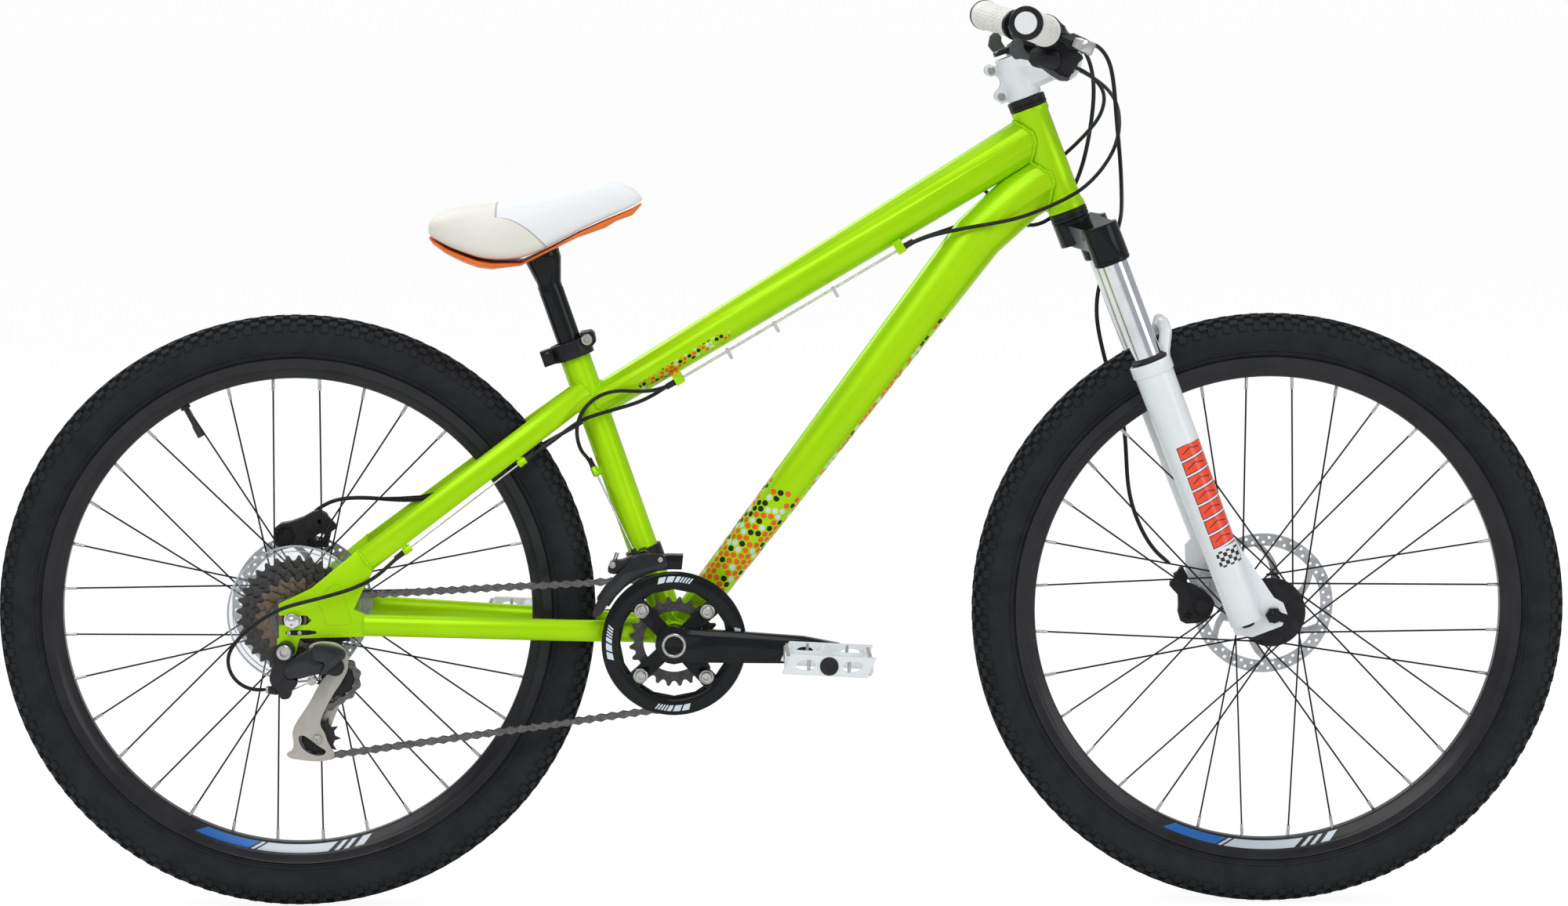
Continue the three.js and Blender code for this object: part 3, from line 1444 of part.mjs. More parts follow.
function forkDropout(side) {
  const inner = side * (frontSpacing / 2);
  const outer = side * (frontSpacing / 2 + forkDropoutThickness);
  const { x, z } = axleLocal;
  const round = forkDropoutRadius;
  const outline = [
    [legForward - legLowerRadius * 0.8, -legBoreEnd],
    [legForward - legLowerRadius * 0.9, z - round * 0.4],
    [legForward, z - round],
    [x + round * 0.3, z - round],
    [x + round, z - round * 0.4],
    [x + round, z + round * 0.6],
    [x + round * 0.5, z + round * 1.2],
    [legForward + legLowerRadius, -legBoreEnd],
  ];
  const slab = plate(outline, Math.min(inner, outer), Math.max(inner, outer));
  const slot = capsule(
    x, z, axleRadius + gap,
    x + round * 3 * Math.cos(forkSlotAngle), z + round * 3 * Math.sin(forkSlotAngle), axleRadius + gap, 6,
  );
  return cut(slab, plate(slot, Math.min(inner, outer) - overrun, Math.max(inner, outer) + overrun));
}

function forkLowers() {
  const parts = [];
  const tools = [];
  for (const side of [-1, 1]) {
    const y = (side * legSpacing) / 2;
    parts.push(...forkLeg(side), forkDropout(side));
    tools.push(
      rod(
        vec(legForward, y, -legBoreEnd),
        vec(legForward, y, -legTop + overrun),
        legBoreRadius / Math.cos(Math.PI / 12),
        12,
      ),
    );
  }
  const legY = legSpacing / 2;
  const foot = -legTop - legSealHeight - archFootDrop;
  const top = axleLocal.z + tyreRadius + archRoom + archRadius;
  const shoulder = top - archShoulderDrop;
  parts.push(tubeAlong([
    vec(legForward + legUpperRadius * 0.5, -legY, foot),
    vec((legForward + archForward) / 2, -(legY + archShoulderY) / 2, (foot + shoulder) / 2),
    vec(archForward, -archShoulderY, shoulder),
    vec(archForward, 0, top),
    vec(archForward, archShoulderY, shoulder),
    vec((legForward + archForward) / 2, (legY + archShoulderY) / 2, (foot + shoulder) / 2),
    vec(legForward + legUpperRadius * 0.5, legY, foot),
  ], archRadius, 10));
  const tabOuter = legSpacing / 2 - legLowerRadius / 3;
  const rear = legForward - legLowerRadius;
  const { z } = axleLocal;
  parts.push(plate([
    [rear + legLowerRadius / 2, -legBoreEnd], [rear - legLowerRadius / 2, -legBoreEnd - legLowerRadius / 2],
    [rear - legLowerRadius, -legBoreEnd - legLowerRadius * 2], [rear - legLowerRadius, z + legLowerRadius],
    [rear + legLowerRadius / 2, z + legLowerRadius / 2],
  ], tabOuter - discTabThickness, tabOuter));
  return cut(join(...parts), ...tools);
}

function frontCaliper() {
  const { x, z } = axleLocal;
  const inner = frontRotorY - rotorThickness / 2 - runningGap;
  const outer = legSpacing / 2 - legLowerRadius / 3 - discTabThickness - gap;
  return caliper(x, z, Math.PI * 0.88, inner, frontRotorY + rotorThickness / 2 + runningGap, outer);
}

function rearCaliper() {
  const slotLow = rearRotorY - rotorThickness / 2 - runningGap;
  const slotHigh = rearRotorY + rotorThickness / 2 + runningGap;
  return caliper(rearAxle.x, rearAxle.z, Math.PI * 0.45, slotLow, slotHigh, rearSpacing / 2 - gap * 4);
}

// A brake caliper that straddles the rotor's edge, at an angle round the axle
function caliper(x, z, angle, slotLow, slotHigh, outerY) {
  const reach = rotorRadius - rotorBand * 0.8;
  const body = rotorBand * 1.5;
  const centre = [x + (reach + body / 3) * Math.cos(angle), z + (reach + body / 3) * Math.sin(angle)];
  const along = [-Math.sin(angle), Math.cos(angle)];
  const ends = [-1, 1].map((end) => [centre[0] + end * body * along[0], centre[1] + end * body * along[1]]);
  const shape = capsule(ends[0][0], ends[0][1], body * 0.75, ends[1][0], ends[1][1], body, 5);
  const block = plate(shape, slotLow - body * 0.55, outerY);
  const disc = circlePoints(x, z, rotorRadius + runningGap * 2, 36);
  return cut(block, plate(disc, slotLow, slotHigh));
}

// Stem and handlebar
const stemBase = headTubeLength + gap * 2 + cupHeight + stemHeightAboveCup;
const barHeight = stemBase + stemHeight / 2;

function stem() {
  const clampOuter = steererRadius + gap + stemWall;
  const top = stemBase + stemHeight;
  const barOuter = barClampRadius + gap + stemWall;
  const half = barClampWidth / 2;
  const boom = loft([
    boomRing(clampOuter * 0.4, stemBoomWidth, stemHeight * 0.8),
    boomRing(stemLength, stemBoomWidth * 1.1, stemBoomHeight),
  ]);
  const lug = new THREE.BoxGeometry(clampOuter + stemLugDepth, stemLugWidth, stemHeight * 0.9);
  lug.translate(-(clampOuter + stemLugDepth) / 2, 0, barHeight);
  const bolts = [-1, 1].map((end) => {
    const at = vec(-clampOuter - stemLugDepth / 3, 0, barHeight + (end * stemHeight) / 3.2);
    return rod(
      at.clone().setY(-stemLugWidth / 2 - overrun),
      at.clone().setY(stemLugWidth / 2 + overrun),
      stemBoltRadius,
      10,
    );
  });
  const cap = rod(vec(0, 0, top - overrun), vec(0, 0, top + topCapHeight), clampOuter - overrun, 16);
  const whole = join(
    rod(vec(0, 0, stemBase), vec(0, 0, top), clampOuter, 16),
    boom, lug, cap,
    rod(vec(stemLength, -half, barHeight), vec(stemLength, half, barHeight), barOuter, 16),
  );
  const slit = new THREE.BoxGeometry(clampOuter + stemLugDepth, stemSlot, stemHeight + overrun);
  slit.translate(-(clampOuter + stemLugDepth), 0, barHeight - overrun);
  const bore = rod(
    vec(0, 0, stemBase - overrun),
    vec(0, 0, steererTop + gap),
    (steererRadius + gap) / Math.cos(Math.PI / 16),
  );
  const barBore = rod(
    vec(stemLength, -half - overrun, barHeight), vec(stemLength, half + overrun, barHeight),
    (barClampRadius + gap) / Math.cos(Math.PI / 16),
  );
  return join(cut(whole, slit, bore, barBore), ...bolts);
}

function boomRing(forward, width, height) {
  const [halfWidth, halfHeight] = [width / 2, height / 2];
  return circlePoints(0, 0, 1, 8, Math.PI / 8).map(([a, b]) => vec(
    forward,
    halfWidth * Math.sign(a) * Math.sqrt(Math.abs(a)),
    barHeight + halfHeight * Math.sign(b) * Math.sqrt(Math.abs(b)),
  ));
}

function barFrame(side) {
  const bend = vec(stemLength + barBendForward, side * barBendY, barHeight + barRise);
  const end = vec(stemLength - barEndBack, side * barEndY, barHeight + barEndRise);
  const along = end.clone().sub(bend).normalize();
  return { bend, end, along, length: end.distanceTo(bend) };
}

function handlebar() {
  const half = barClampWidth / 2 + overrun;
  const sideRings = (side) => {
    const { bend, end, along } = barFrame(side);
    const reach = barBendY - half;
    return [
      { at: vec(stemLength, side * half, barHeight), radius: barClampRadius },
      {
        at: vec(stemLength, side * (half + reach * 0.35), barHeight + barRise * 0.12),
        radius: barRadius * 1.1,
      },
      {
        at: vec(stemLength + barBendForward * 0.6, side * (half + reach * 0.7), barHeight + barRise * 0.6),
        radius: barRadius,
      },
      { at: bend.clone().addScaledVector(along, barRadius), radius: barRadius },
      { at: end, radius: barRadius },
    ];
  };
  return roundLoft([...sideRings(-1).reverse(), ...sideRings(1)], 12);
}

// A round bar of changing radius that runs mostly along Y
function roundLoft(places, sides) {
  return loft(places.map(({ at, radius }, i) => {
    const before = places[Math.max(i - 1, 0)].at;
    const after = places[Math.min(i + 1, places.length - 1)].at;
    const along = after.clone().sub(before).normalize();
    const up = vec(0, 0, 1).addScaledVector(along, -along.z).normalize();
    const across = up.clone().cross(along);
    return Array.from({ length: sides }, (_, k) => {
      const angle = (k * 2 * Math.PI) / sides;
      return at.clone()
        .addScaledVector(across, radius * Math.cos(angle))
        .addScaledVector(up, radius * Math.sin(angle));
    });
  }));
}

function alongBar(side, distance, forward = 0, angle = leverDrop) {
  const { bend, along } = barFrame(side);
  const out = vec(Math.cos(angle), 0, Math.sin(angle));
  out.addScaledVector(along, -out.dot(along)).normalize();
  return bend.clone().addScaledVector(along, distance).addScaledVector(out, forward);
}

function grip(side) {
  const { length } = barFrame(side);
  const bore = (barRadius + gap) / Math.cos(Math.PI / tubeSides);
  const from = alongBar(side, gripStart);
  const end = alongBar(side, length + gripCapLength);
  const whole = join(
    rod(from, end, gripRadius, 12),
    rod(from, alongBar(side, gripStart + gripCollarLength), gripCollar, 12),
    rod(alongBar(side, length - gripCapLength), end, gripCollar, 12),
  );
  return cut(whole, rod(alongBar(side, gripStart - overrun), alongBar(side, length + gap), bore));
}

function clampRing(side, start, length, wall) {
  const bore = (barRadius + gap) / Math.cos(Math.PI / tubeSides);
  const [from, to] = [alongBar(side, start), alongBar(side, start + length)];
  const before = alongBar(side, start - overrun * 4);
  const after = alongBar(side, start + length + overrun * 4);
  return { body: rod(from, to, bore + wall, 10), bore: rod(before, after, bore) };
}

function brakeBody(side) {
  const { body, bore } = clampRing(side, brakeClampStart, brakeClampLength, brakeClampWall);
  const middle = brakeClampStart + brakeClampLength / 2;
  const neck = rod(
    alongBar(side, middle, barRadius), alongBar(side, middle, masterForward), brakeClampLength / 2, 8,
  );
  const masterEnd = leverPivotAlong - leverThickness - gap;
  const master = rod(
    alongBar(side, masterEnd - masterLength, masterForward),
    alongBar(side, middle + masterOverlap / 2, masterForward),
    masterRadius, 8,
  );
  const pivotRoot = alongBar(side, leverPivotAlong, masterForward);
  const pivotEnd = alongBar(side, leverPivotAlong, leverPivotForward - leverThickness / 2 - gap);
  return cut(join(body, neck, master, rod(pivotRoot, pivotEnd, masterRadius * 0.8, 8)), bore);
}

// On the left one long clamp carries both the brake body and the gear pod
function leftControls() {
  const sleeveEnd = brakeClampStart + brakeClampLength;
  const sleeve = rod(
    alongBar(1, shifterClampStart), alongBar(1, sleeveEnd), barRadius + gap + brakeClampWall * 0.7, 8,
  );
  const boreRadius = (barRadius + gap) / Math.cos(Math.PI / tubeSides);
  const bore = rod(alongBar(1, shifterClampStart - overrun), alongBar(1, sleeveEnd + overrun), boreRadius);
  return cut(join(brakeBody(1), shifterPod(1), sleeve), bore);
}

function brakeLever(side) {
  const at = (along, forward) => alongBar(side, leverPivotAlong + along, leverPivotForward + forward);
  const { along } = barFrame(side);
  const out = at(0, 1).sub(at(0, 0)).normalize();
  const flat = out.clone().cross(along).normalize();
  const ringAt = (distance, forward, width) => {
    const centre = at(distance, forward);
    return [[-1, -1], [1, -1], [1, 1], [-1, 1]].map(([a, b]) => centre.clone()
      .addScaledVector(flat, (a * width) / 2)
      .addScaledVector(out, (b * leverThickness) / 2));
  };
  return loft([
    ringAt(-leverThickness, 0, leverWidth * 1.4),
    ringAt(leverLength * 0.15, leverHook * 0.4, leverWidth * 1.2),
    ringAt(leverLength * 0.35, leverHook * 0.2, leverWidth),
    ringAt(leverLength * 0.85, 0, leverWidth),
    ringAt(leverLength, leverHook, leverWidth * 1.2),
  ]);
}

function shifterPod(side) {
  const { body, bore } = clampRing(side, shifterClampStart, shifterClampLength, brakeClampWall);
  const middle = shifterClampStart + shifterClampLength / 2;
  const { along } = barFrame(side);
  const centre = alongBar(side, middle, podDrop, podAngle);
  const out = alongBar(side, middle, podDrop + 1, podAngle).sub(centre).normalize();
  const flat = out.clone().cross(along).normalize();
  const corners = [[-1, -1], [1, -1], [1, 1], [-1, 1]];
  const ringAt = (distance, shareAlong, shareFlat) => corners.map(([a, b]) => centre.clone()
    .addScaledVector(out, distance)
    .addScaledVector(along, (a * podLength * shareAlong) / 2)
    .addScaledVector(flat, (b * podDepth * shareFlat) / 2));
  const pod = loft([
    ringAt(-podHeight / 2, 0.8, 0.8), ringAt(-podHeight / 4, 1, 1),
    ringAt(podHeight / 4, 1, 1), ringAt(podHeight / 2, 0.7, 0.7),
  ]);
  const neck = rod(alongBar(side, middle, barRadius, podAngle), centre, shifterClampLength / 2, 8);
  return cut(join(body, neck, pod), bore);
}

// The thumb paddle turns on the foot of the pod and reaches back under the grip
function thumbLever(side) {
  const middle = shifterClampStart + shifterClampLength / 2;
  const { along } = barFrame(side);
  const centre = alongBar(side, middle, podDrop + podHeight / 2 + gap, podAngle);
  const out = alongBar(side, middle, podDrop + podHeight, podAngle).sub(centre).normalize();
  const flat = out.clone().cross(along).normalize();
  const back = flat.x < 0 ? flat : flat.clone().negate();
  const ringAt = (distance, width, drop) => {
    const low = centre.clone().addScaledVector(back, distance).addScaledVector(out, drop);
    return [[-1, 0], [1, 0], [1, 1], [-1, 1]].map(([a, b]) => low.clone()
      .addScaledVector(along, (a * width) / 2)
      .addScaledVector(out, b * paddleThickness));
  };
  return loft([
    ringAt(-podDepth * 0.3, paddleWidth, 0),
    ringAt(podDepth * 0.3, paddleWidth, 0),
    ringAt(paddleLength, paddleWidth * 1.2, 0),
  ]);
}

// Seatpost, collar and saddle
function seatCollar() {
  const bore = (seatTubeRadius + gap) / Math.cos(Math.PI / 16);
  const from = collarTop - collarHeight;
  const ring = rod(vec(0, 0, from), vec(0, 0, collarTop - gap), bore + collarWall, 16);
  const lugEnd = -bore - collarWall - collarLugLength / 2;
  const lug = new THREE.BoxGeometry(collarLugLength, collarLugWidth, collarHeight - overrun);
  lug.translate(lugEnd + collarLugLength / 2 + gap, 0, collarTop - gap - collarHeight / 2);
  const bolt = rod(
    vec(lugEnd + collarLugLength / 3, -collarLugWidth, collarTop - collarHeight / 2),
    vec(lugEnd + collarLugLength / 3, collarLugWidth, collarTop - collarHeight / 2), collarHeight * 0.3, 10,
  );
  const hole = rod(vec(0, 0, from - overrun), vec(0, 0, collarTop + overrun), bore, 16);
  return cut(join(ring, lug, bolt), hole);
}

function seatpost() {
  const at = (s) => bracket.clone().addScaledVector(seatUp, s);
  const shaft = rod(at(postBottom), at(postTop), postRadius);
  const ringAt = (centre, halfX, halfY) => Array.from({ length: 12 }, (_, i) => {
    const angle = (i * Math.PI) / 6;
    return vec(centre.x + halfX * Math.cos(angle), halfY * Math.sin(angle), centre.z);
  });
  const headTop = vec(postHeadX, 0, saddleBase + saddleRise / 3);
  const neck = at(postTop);
  const head = loft([
    ringAt(at(postTop - overrun * 3), postRadius, postRadius * 0.94),
    ringAt(neck, postRadius, postRadius),
    ringAt(neck.clone().lerp(headTop, 0.45), postHeadLength * 0.44, postHeadWidth * 0.4),
    ringAt(neck.clone().lerp(headTop, 0.65), postHeadLength / 2, postHeadWidth / 2),
    ringAt(headTop, postHeadLength / 2, postHeadWidth / 2),
  ]);
  return cut(join(shaft, head), saddleLoft(saddleSections(0, 0)), saddleShell(gap));
}

// Saddle: shares of its length, rise and half width at each station from the rear
const saddleStationShares = [0, 0.021, 0.089, 0.165, 0.236, 0.3, 0.435, 0.565, 0.7, 0.831, 0.882, 0.958, 1];
const saddleTopShares = [0.54, 0.61, 0.685, 0.715, 0.735, 0.755, 0.796, 0.837, 0.908, 0.969, 1, 0.944, 0.82];
const saddleEdgeShares = [
  0.4, 0.367, 0.276, 0.204, 0.143, 0.117, 0.112, 0.265, 0.439, 0.582, 0.633, 0.714, 0.776,
];
const saddleHalfShares = [0.38, 0.64, 0.87, 0.97, 1, 0.98, 0.82, 0.58, 0.42, 0.34, 0.32, 0.24, 0.1];
const saddleShellShares = [0.35, 0.6, 0.8, 1, 1, 0.9, 0.4, 0.4, 0.6, 1, 0.7, 0.9, 0.3];
const saddleSideShares = [[0.3, 0], [0.68, 0.06], [0.93, 0.24], [1, 0.45], [0.95, 0.75], [0.87, 1]];

function saddleSections(topDrop, edgeDrop) {
  return saddleStationShares.map((share, i) => {
    const x = saddleRear + (saddleNose - saddleRear) * share;
    const top = saddleBase + saddleTopShares[i] * saddleRise - topDrop;
    const edge = saddleBase + saddleEdgeShares[i] * saddleRise + edgeDrop;
    return { x, top, edge, half: (saddleHalfShares[i] * saddleWidth) / 2 };
  });
}

function saddleLoft(sections) {
  return loft(sections.map(({ x, top, edge, half }) => {
    const right = saddleSideShares.map(
      ([across, down]) => vec(x, half * across, top - (top - edge) * down),
    );
    const left = [...saddleSideShares].reverse().map(
      ([across, down]) => vec(x, -half * across, top - (top - edge) * down),
    );
    return [...right, ...left];
  }));
}

function saddleCover() {
  return saddleLoft(saddleSections(0, 0));
}

// The base closes the cushion from below, deeper under the rear and under the nose
function saddleShell(room = 0) {
  const rings = saddleSections(0, 0).map(({ x, edge, half }, i) => {
    const width = half * saddleSideShares[saddleSideShares.length - 1][0];
    const high = edge - gap + room * 2;
    const low = edge - gap - saddleShellDepth * saddleShellShares[i] - room;
    return [
      vec(x, -width * 0.98, high), vec(x, width * 0.98, high),
      vec(x, width * 0.94, (high + low) / 2), vec(x, width * 0.7, low),
      vec(x, -width * 0.7, low), vec(x, -width * 0.94, (high + low) / 2),
    ];
  });
  return loft(rings);
}

// Cables: housings along their routes, joined by bare wire between the stops
function points(route) {
  return route.map(([x, y, z]) => vec(x, y, z));
}

function housing(route, steps, radius = housingRadius) {
  return tubeAlong(route, radius, steps, cableSides);
}

function wire(from, to) {
  const along = to.clone().sub(from).setLength(overrun);
  return rod(from.clone().sub(along), to.clone().add(along), wireRadius, 6);
}

// The ends of a stop: where the housing before it finishes and where the next one begins
function stopEnds(centre, along) {
  const reach = along.clone().normalize().multiplyScalar(stopLength / 2 + gap);
  return [centre.clone().sub(reach), centre.clone().add(reach)];
}

// A point below the top tube, at a share of its length and at a distance across
function guideCentre(share, y) {
  const rear = seatAxisAt(topTubeRearHeight);
  const front = headAxisAt(topTubeFrontHeight);
  const along = front.clone().sub(rear).normalize();
  const depth = topTubeRearDepth + (topTubeFrontDepth - topTubeRearDepth) * share;
  const under = vec(along.z, 0, -along.x);
  return rear.lerp(front, share).addScaledVector(under, depth / 2 + guideBelow).add(vec(0, y, 0));
}

function guideAlong() {
  return guideCentre(rearGuideShare, 0).sub(guideCentre(frontGuideShare, 0)).normalize();
}

// A block under the top tube with a bore for each bare wire
function cableGuide(share) {
  const along = guideAlong();
  const up = vec(-along.z, 0, along.x).negate();
  const centre = guideCentre(share, guideY);
  const [low, high] = [-stopRadius, guideHeightUnder];
  const ringAt = (d) => [[-1, low], [1, low], [1, high], [-1, high]].map(([side, lift]) => centre.clone()
    .addScaledVector(along, d)
    .addScaledVector(up, lift)
    .add(vec(0, (side * guideWidth) / 2, 0)));
  return loft([ringAt(-stopLength / 2), ringAt(stopLength / 2)]);
}

function guideBores(share) {
  const along = guideAlong().multiplyScalar(stopLength);
  return [rearShiftBoreY, frontShiftBoreY].map((y) => {
    const centre = guideCentre(share, y);
    return rod(centre.clone().sub(along), centre.clone().add(along), wireRoom, 6);
  });
}

// A stop under the right seatstay, at a share of the way from its bend to its end
function stayStop(share) {
  const bend = vec(seatstayBendX, -seatstayBendY, seatstayBendHeight);
  const end = vec(stayEndX, -rearSpacing / 2, seatstayEndHeight);
  const along = end.clone().sub(bend).normalize();
  const below = vec(-along.z, 0, along.x).normalize();
  const root = bend.clone().lerp(end, share);
  return { root, along, centre: root.clone().addScaledVector(below, stayStopBelow) };
}

function stopBody(root, centre, along) {
  const reach = along.clone().normalize().multiplyScalar(stopLength / 2);
  return join(
    rod(centre.clone().sub(reach), centre.clone().add(reach), stopRadius, 8),
    rod(root, centre, stopRadius * 0.7, 6),
  );
}

function stopBore(centre, along) {
  const reach = along.clone().normalize().multiplyScalar(stopLength);
  return rod(centre.clone().sub(reach), centre.clone().add(reach), wireRoom, 6);
}

function seatStopAlong() {
  return vec(...mechAnchor()).sub(vec(...seatStop)).normalize();
}

function mechAnchor() {
  const pivotX = seatAxisAt(mechPivotHeight).x;
  return [pivotX - mechLugRadius * 1.5, mechLugY - mechLugRadius * 1.4, mechPivotHeight + mechLugRadius];
}

function rearShiftCable() {
  const along = guideAlong();
  const [frontStop] = stopEnds(guideCentre(frontGuideShare, rearShiftBoreY), along);
  const [, rearStart] = stopEnds(guideCentre(rearGuideShare, rearShiftBoreY), along);
  const upper = stayStop(upperStayStopShare);
  const lower = stayStop(lowerStayStopShare);
  const [upperIn] = stopEnds(upper.centre, upper.along);
  const [, lowerOut] = stopEnds(lower.centre, lower.along);
  const start = cockpit.localToWorld(alongBar(-1, shifterClampStart - podLength * 0.45, podDrop, podAngle));
  const lead = (from, d, way) => from.clone().addScaledVector(way, d);
  return join(
    housing([start, ...points(rearShiftLoop), lead(frontStop, -stopLength, along), frontStop], 22),
    wire(frontStop, rearStart),
    housing([rearStart, lead(rearStart, stopLength, along), ...points(rearShiftElbow), upperIn], 10),
    wire(upperIn, lowerOut),
    housing(
      [lowerOut, lead(lowerOut, stopLength, lower.along), ...points([...rearShiftTail, rearShiftEnd])], 17,
    ),
  );
}

function frontShiftCable() {
  const along = guideAlong();
  const [frontStop] = stopEnds(guideCentre(frontGuideShare, frontShiftBoreY), along);
  const [, rearStart] = stopEnds(guideCentre(rearGuideShare, frontShiftBoreY), along);
  const down = seatStopAlong();
  const [seatIn, seatOut] = stopEnds(vec(...seatStop), down);
  const start = cockpit.localToWorld(alongBar(1, shifterClampStart - podLength * 0.45, podDrop, podAngle));
  const lead = (from, d, way) => from.clone().addScaledVector(way, d);
  return join(
    housing([start, ...points(frontShiftLoop), lead(frontStop, -stopLength, along), frontStop], 24),
    wire(frontStop, rearStart),
    housing(
      [
        rearStart, lead(rearStart, stopLength, along), ...points(frontShiftElbow),
        lead(seatIn, -stopLength, down), seatIn,
      ],
      13,
    ),
    wire(seatIn, vec(...mechAnchor())),
    wire(seatOut, vec(...mechAnchor())),
  );
}

function masterPort(side) {
  const inner = leverPivotAlong - leverThickness - gap - masterLength;
  return cockpit.localToWorld(alongBar(side, inner - gap * 4, masterForward));
}

function frontBrakeHose() {
  return housing([masterPort(-1), ...points([...frontHoseRoute, frontHoseEnd])], 36, hoseRadius);
}

// The rear hose lies along the left side of the top tube and down the inside of the left seatstay
function rearBrakeHose() {
  const rear = seatAxisAt(topTubeRearHeight);
  const front = headAxisAt(topTubeFrontHeight);
  const beside = rearHoseTubeShares.map((share) => {
    const at = rear.clone().lerp(front, share);
    const half = (topTubeRearWidth + (topTubeFrontWidth - topTubeRearWidth) * share) / 2;
    return vec(at.x, half + hoseRadius + gap * 2, at.z - hoseRadius * 4);
  });
  const route = [...points(rearHoseLoop), ...beside, ...points(
    [...rearHoseStay, ...rearHoseTail, rearHoseEnd],
  )];
  return housing([masterPort(1), ...route], 46, hoseRadius);
}

// Assembly
function mountWheels() {
  const rearFlanges = [-rearFlangeRight, rearFlangeLeft];
  const frontFlanges = [-frontFlangeRight, frontFlangeLeft];
  const rearShell = hubShell(
    rearHubWidth, rearFlangeRadius, rearShellRadius, rearFlangeRight, rearFlangeLeft, rearRotorY, true,
  );
  const frontShell = hubShell(
    frontHubWidth, frontFlangeRadius, frontShellRadius, frontFlangeRight, frontFlangeLeft, frontRotorY, false,
  );
  const rearWheel = new THREE.Group();
  rearWheel.position.copy(rearAxle);
  const frontWheel = new THREE.Group();
  frontWheel.position.copy(frontAxle);
  bicycle.add(rearWheel, frontWheel);
  add(rearWheel, 'rear_tyre', tyre(), tyreRubber);
  add(rearWheel, 'rear_rim', rim(), blackAlloy);
  add(rearWheel, 'rear_spoked_hub', lacedHub(rearShell, rearFlangeRadius, rearFlanges), blackAlloy);
  add(rearWheel, 'rear_rotor', rotor(rearRotorY), silverSteel);
  add(rearWheel, 'rear_axle', axle(rearSpacing, dropoutThickness, axleRadius * 1.75), silverSteel);
  add(rearWheel, 'cassette', cassette(), chainSteel);
  add(frontWheel, 'front_tyre', tyre(), tyreRubber);
  add(frontWheel, 'front_rim', rim(), blackAlloy);
  add(frontWheel, 'front_spoked_hub', lacedHub(frontShell, frontFlangeRadius, frontFlanges), blackAlloy);
  add(frontWheel, 'front_rotor', rotor(frontRotorY), silverSteel);
  add(frontWheel, 'front_axle', axle(frontSpacing, forkDropoutThickness, axleRadius * 1.75), silverSteel);
}

function mountFrame() {
  add(cockpit, 'head_tube', headTube(), limePaint);
  add(bicycle, 'top_tube', topTube(), limePaint);
  add(bicycle, 'down_tube', downTube(), limePaint);
  add(bicycle, 'seat_tube', seatTube(), limePaint);
  add(bicycle, 'right_chainstay', chainstay(-1), limePaint);
  add(bicycle, 'left_chainstay', chainstay(1), limePaint);
  add(bicycle, 'right_seatstay', seatstay(-1), limePaint);
  add(bicycle, 'left_seatstay', seatstay(1), limePaint);
  add(bicycle, 'rear_brake_caliper', rearCaliper(), blackPlastic);
  add(bicycle, 'rear_brake_hose', rearBrakeHose(), hoseBlack);
  add(bicycle, 'rear_shift_cable', rearShiftCable(), hoseBlack);
  add(bicycle, 'front_shift_cable', frontShiftCable(), hoseBlack);
  add(bicycle, 'front_brake_hose', frontBrakeHose(), hoseBlack);
}

function mountSeat() {
  add(seatFrame, 'seat_clamp', seatCollar(), blackAlloy);
  add(bicycle, 'seatpost', seatpost(), blackPaint);
  add(bicycle, 'saddle_shell', saddleShell(), orangeShell);
  add(bicycle, 'saddle_cover', saddleCover(), saddleSkin);
}

function mountFork() {
  const upperCup = headTubeLength + gap;
  add(cockpit, 'headset_lower_cup', cup(-crownTop + gap, -gap), blackAlloy);
  add(cockpit, 'headset_upper_cup', cup(upperCup, upperCup + cupHeight), blackAlloy);
  add(cockpit, 'fork_crown', forkCrown(), chromeSteel);
  add(cockpit, 'fork_lowers', forkLowers(), whitePaint);
  add(cockpit, 'front_brake_caliper', frontCaliper(), blackPlastic);
}

function mountCockpit() {
  add(cockpit, 'stem', stem(), whitePaint);
  add(cockpit, 'handlebar', handlebar(), blackPaint);
  add(cockpit, 'right_shifter', shifterPod(-1), blackPlastic);
  for (const [side, word] of [[-1, 'right'], [1, 'left']]) {
    add(cockpit, `${word}_grip`, grip(side), gripRubber);
    add(cockpit, `${word}_brake_body`, side < 0 ? brakeBody(side) : leftControls(), blackPaint);
    add(cockpit, `${word}_brake_lever`, brakeLever(side), silverSteel);
    add(cockpit, `${word}_thumb_lever`, thumbLever(side), greyPlastic);
  }
}

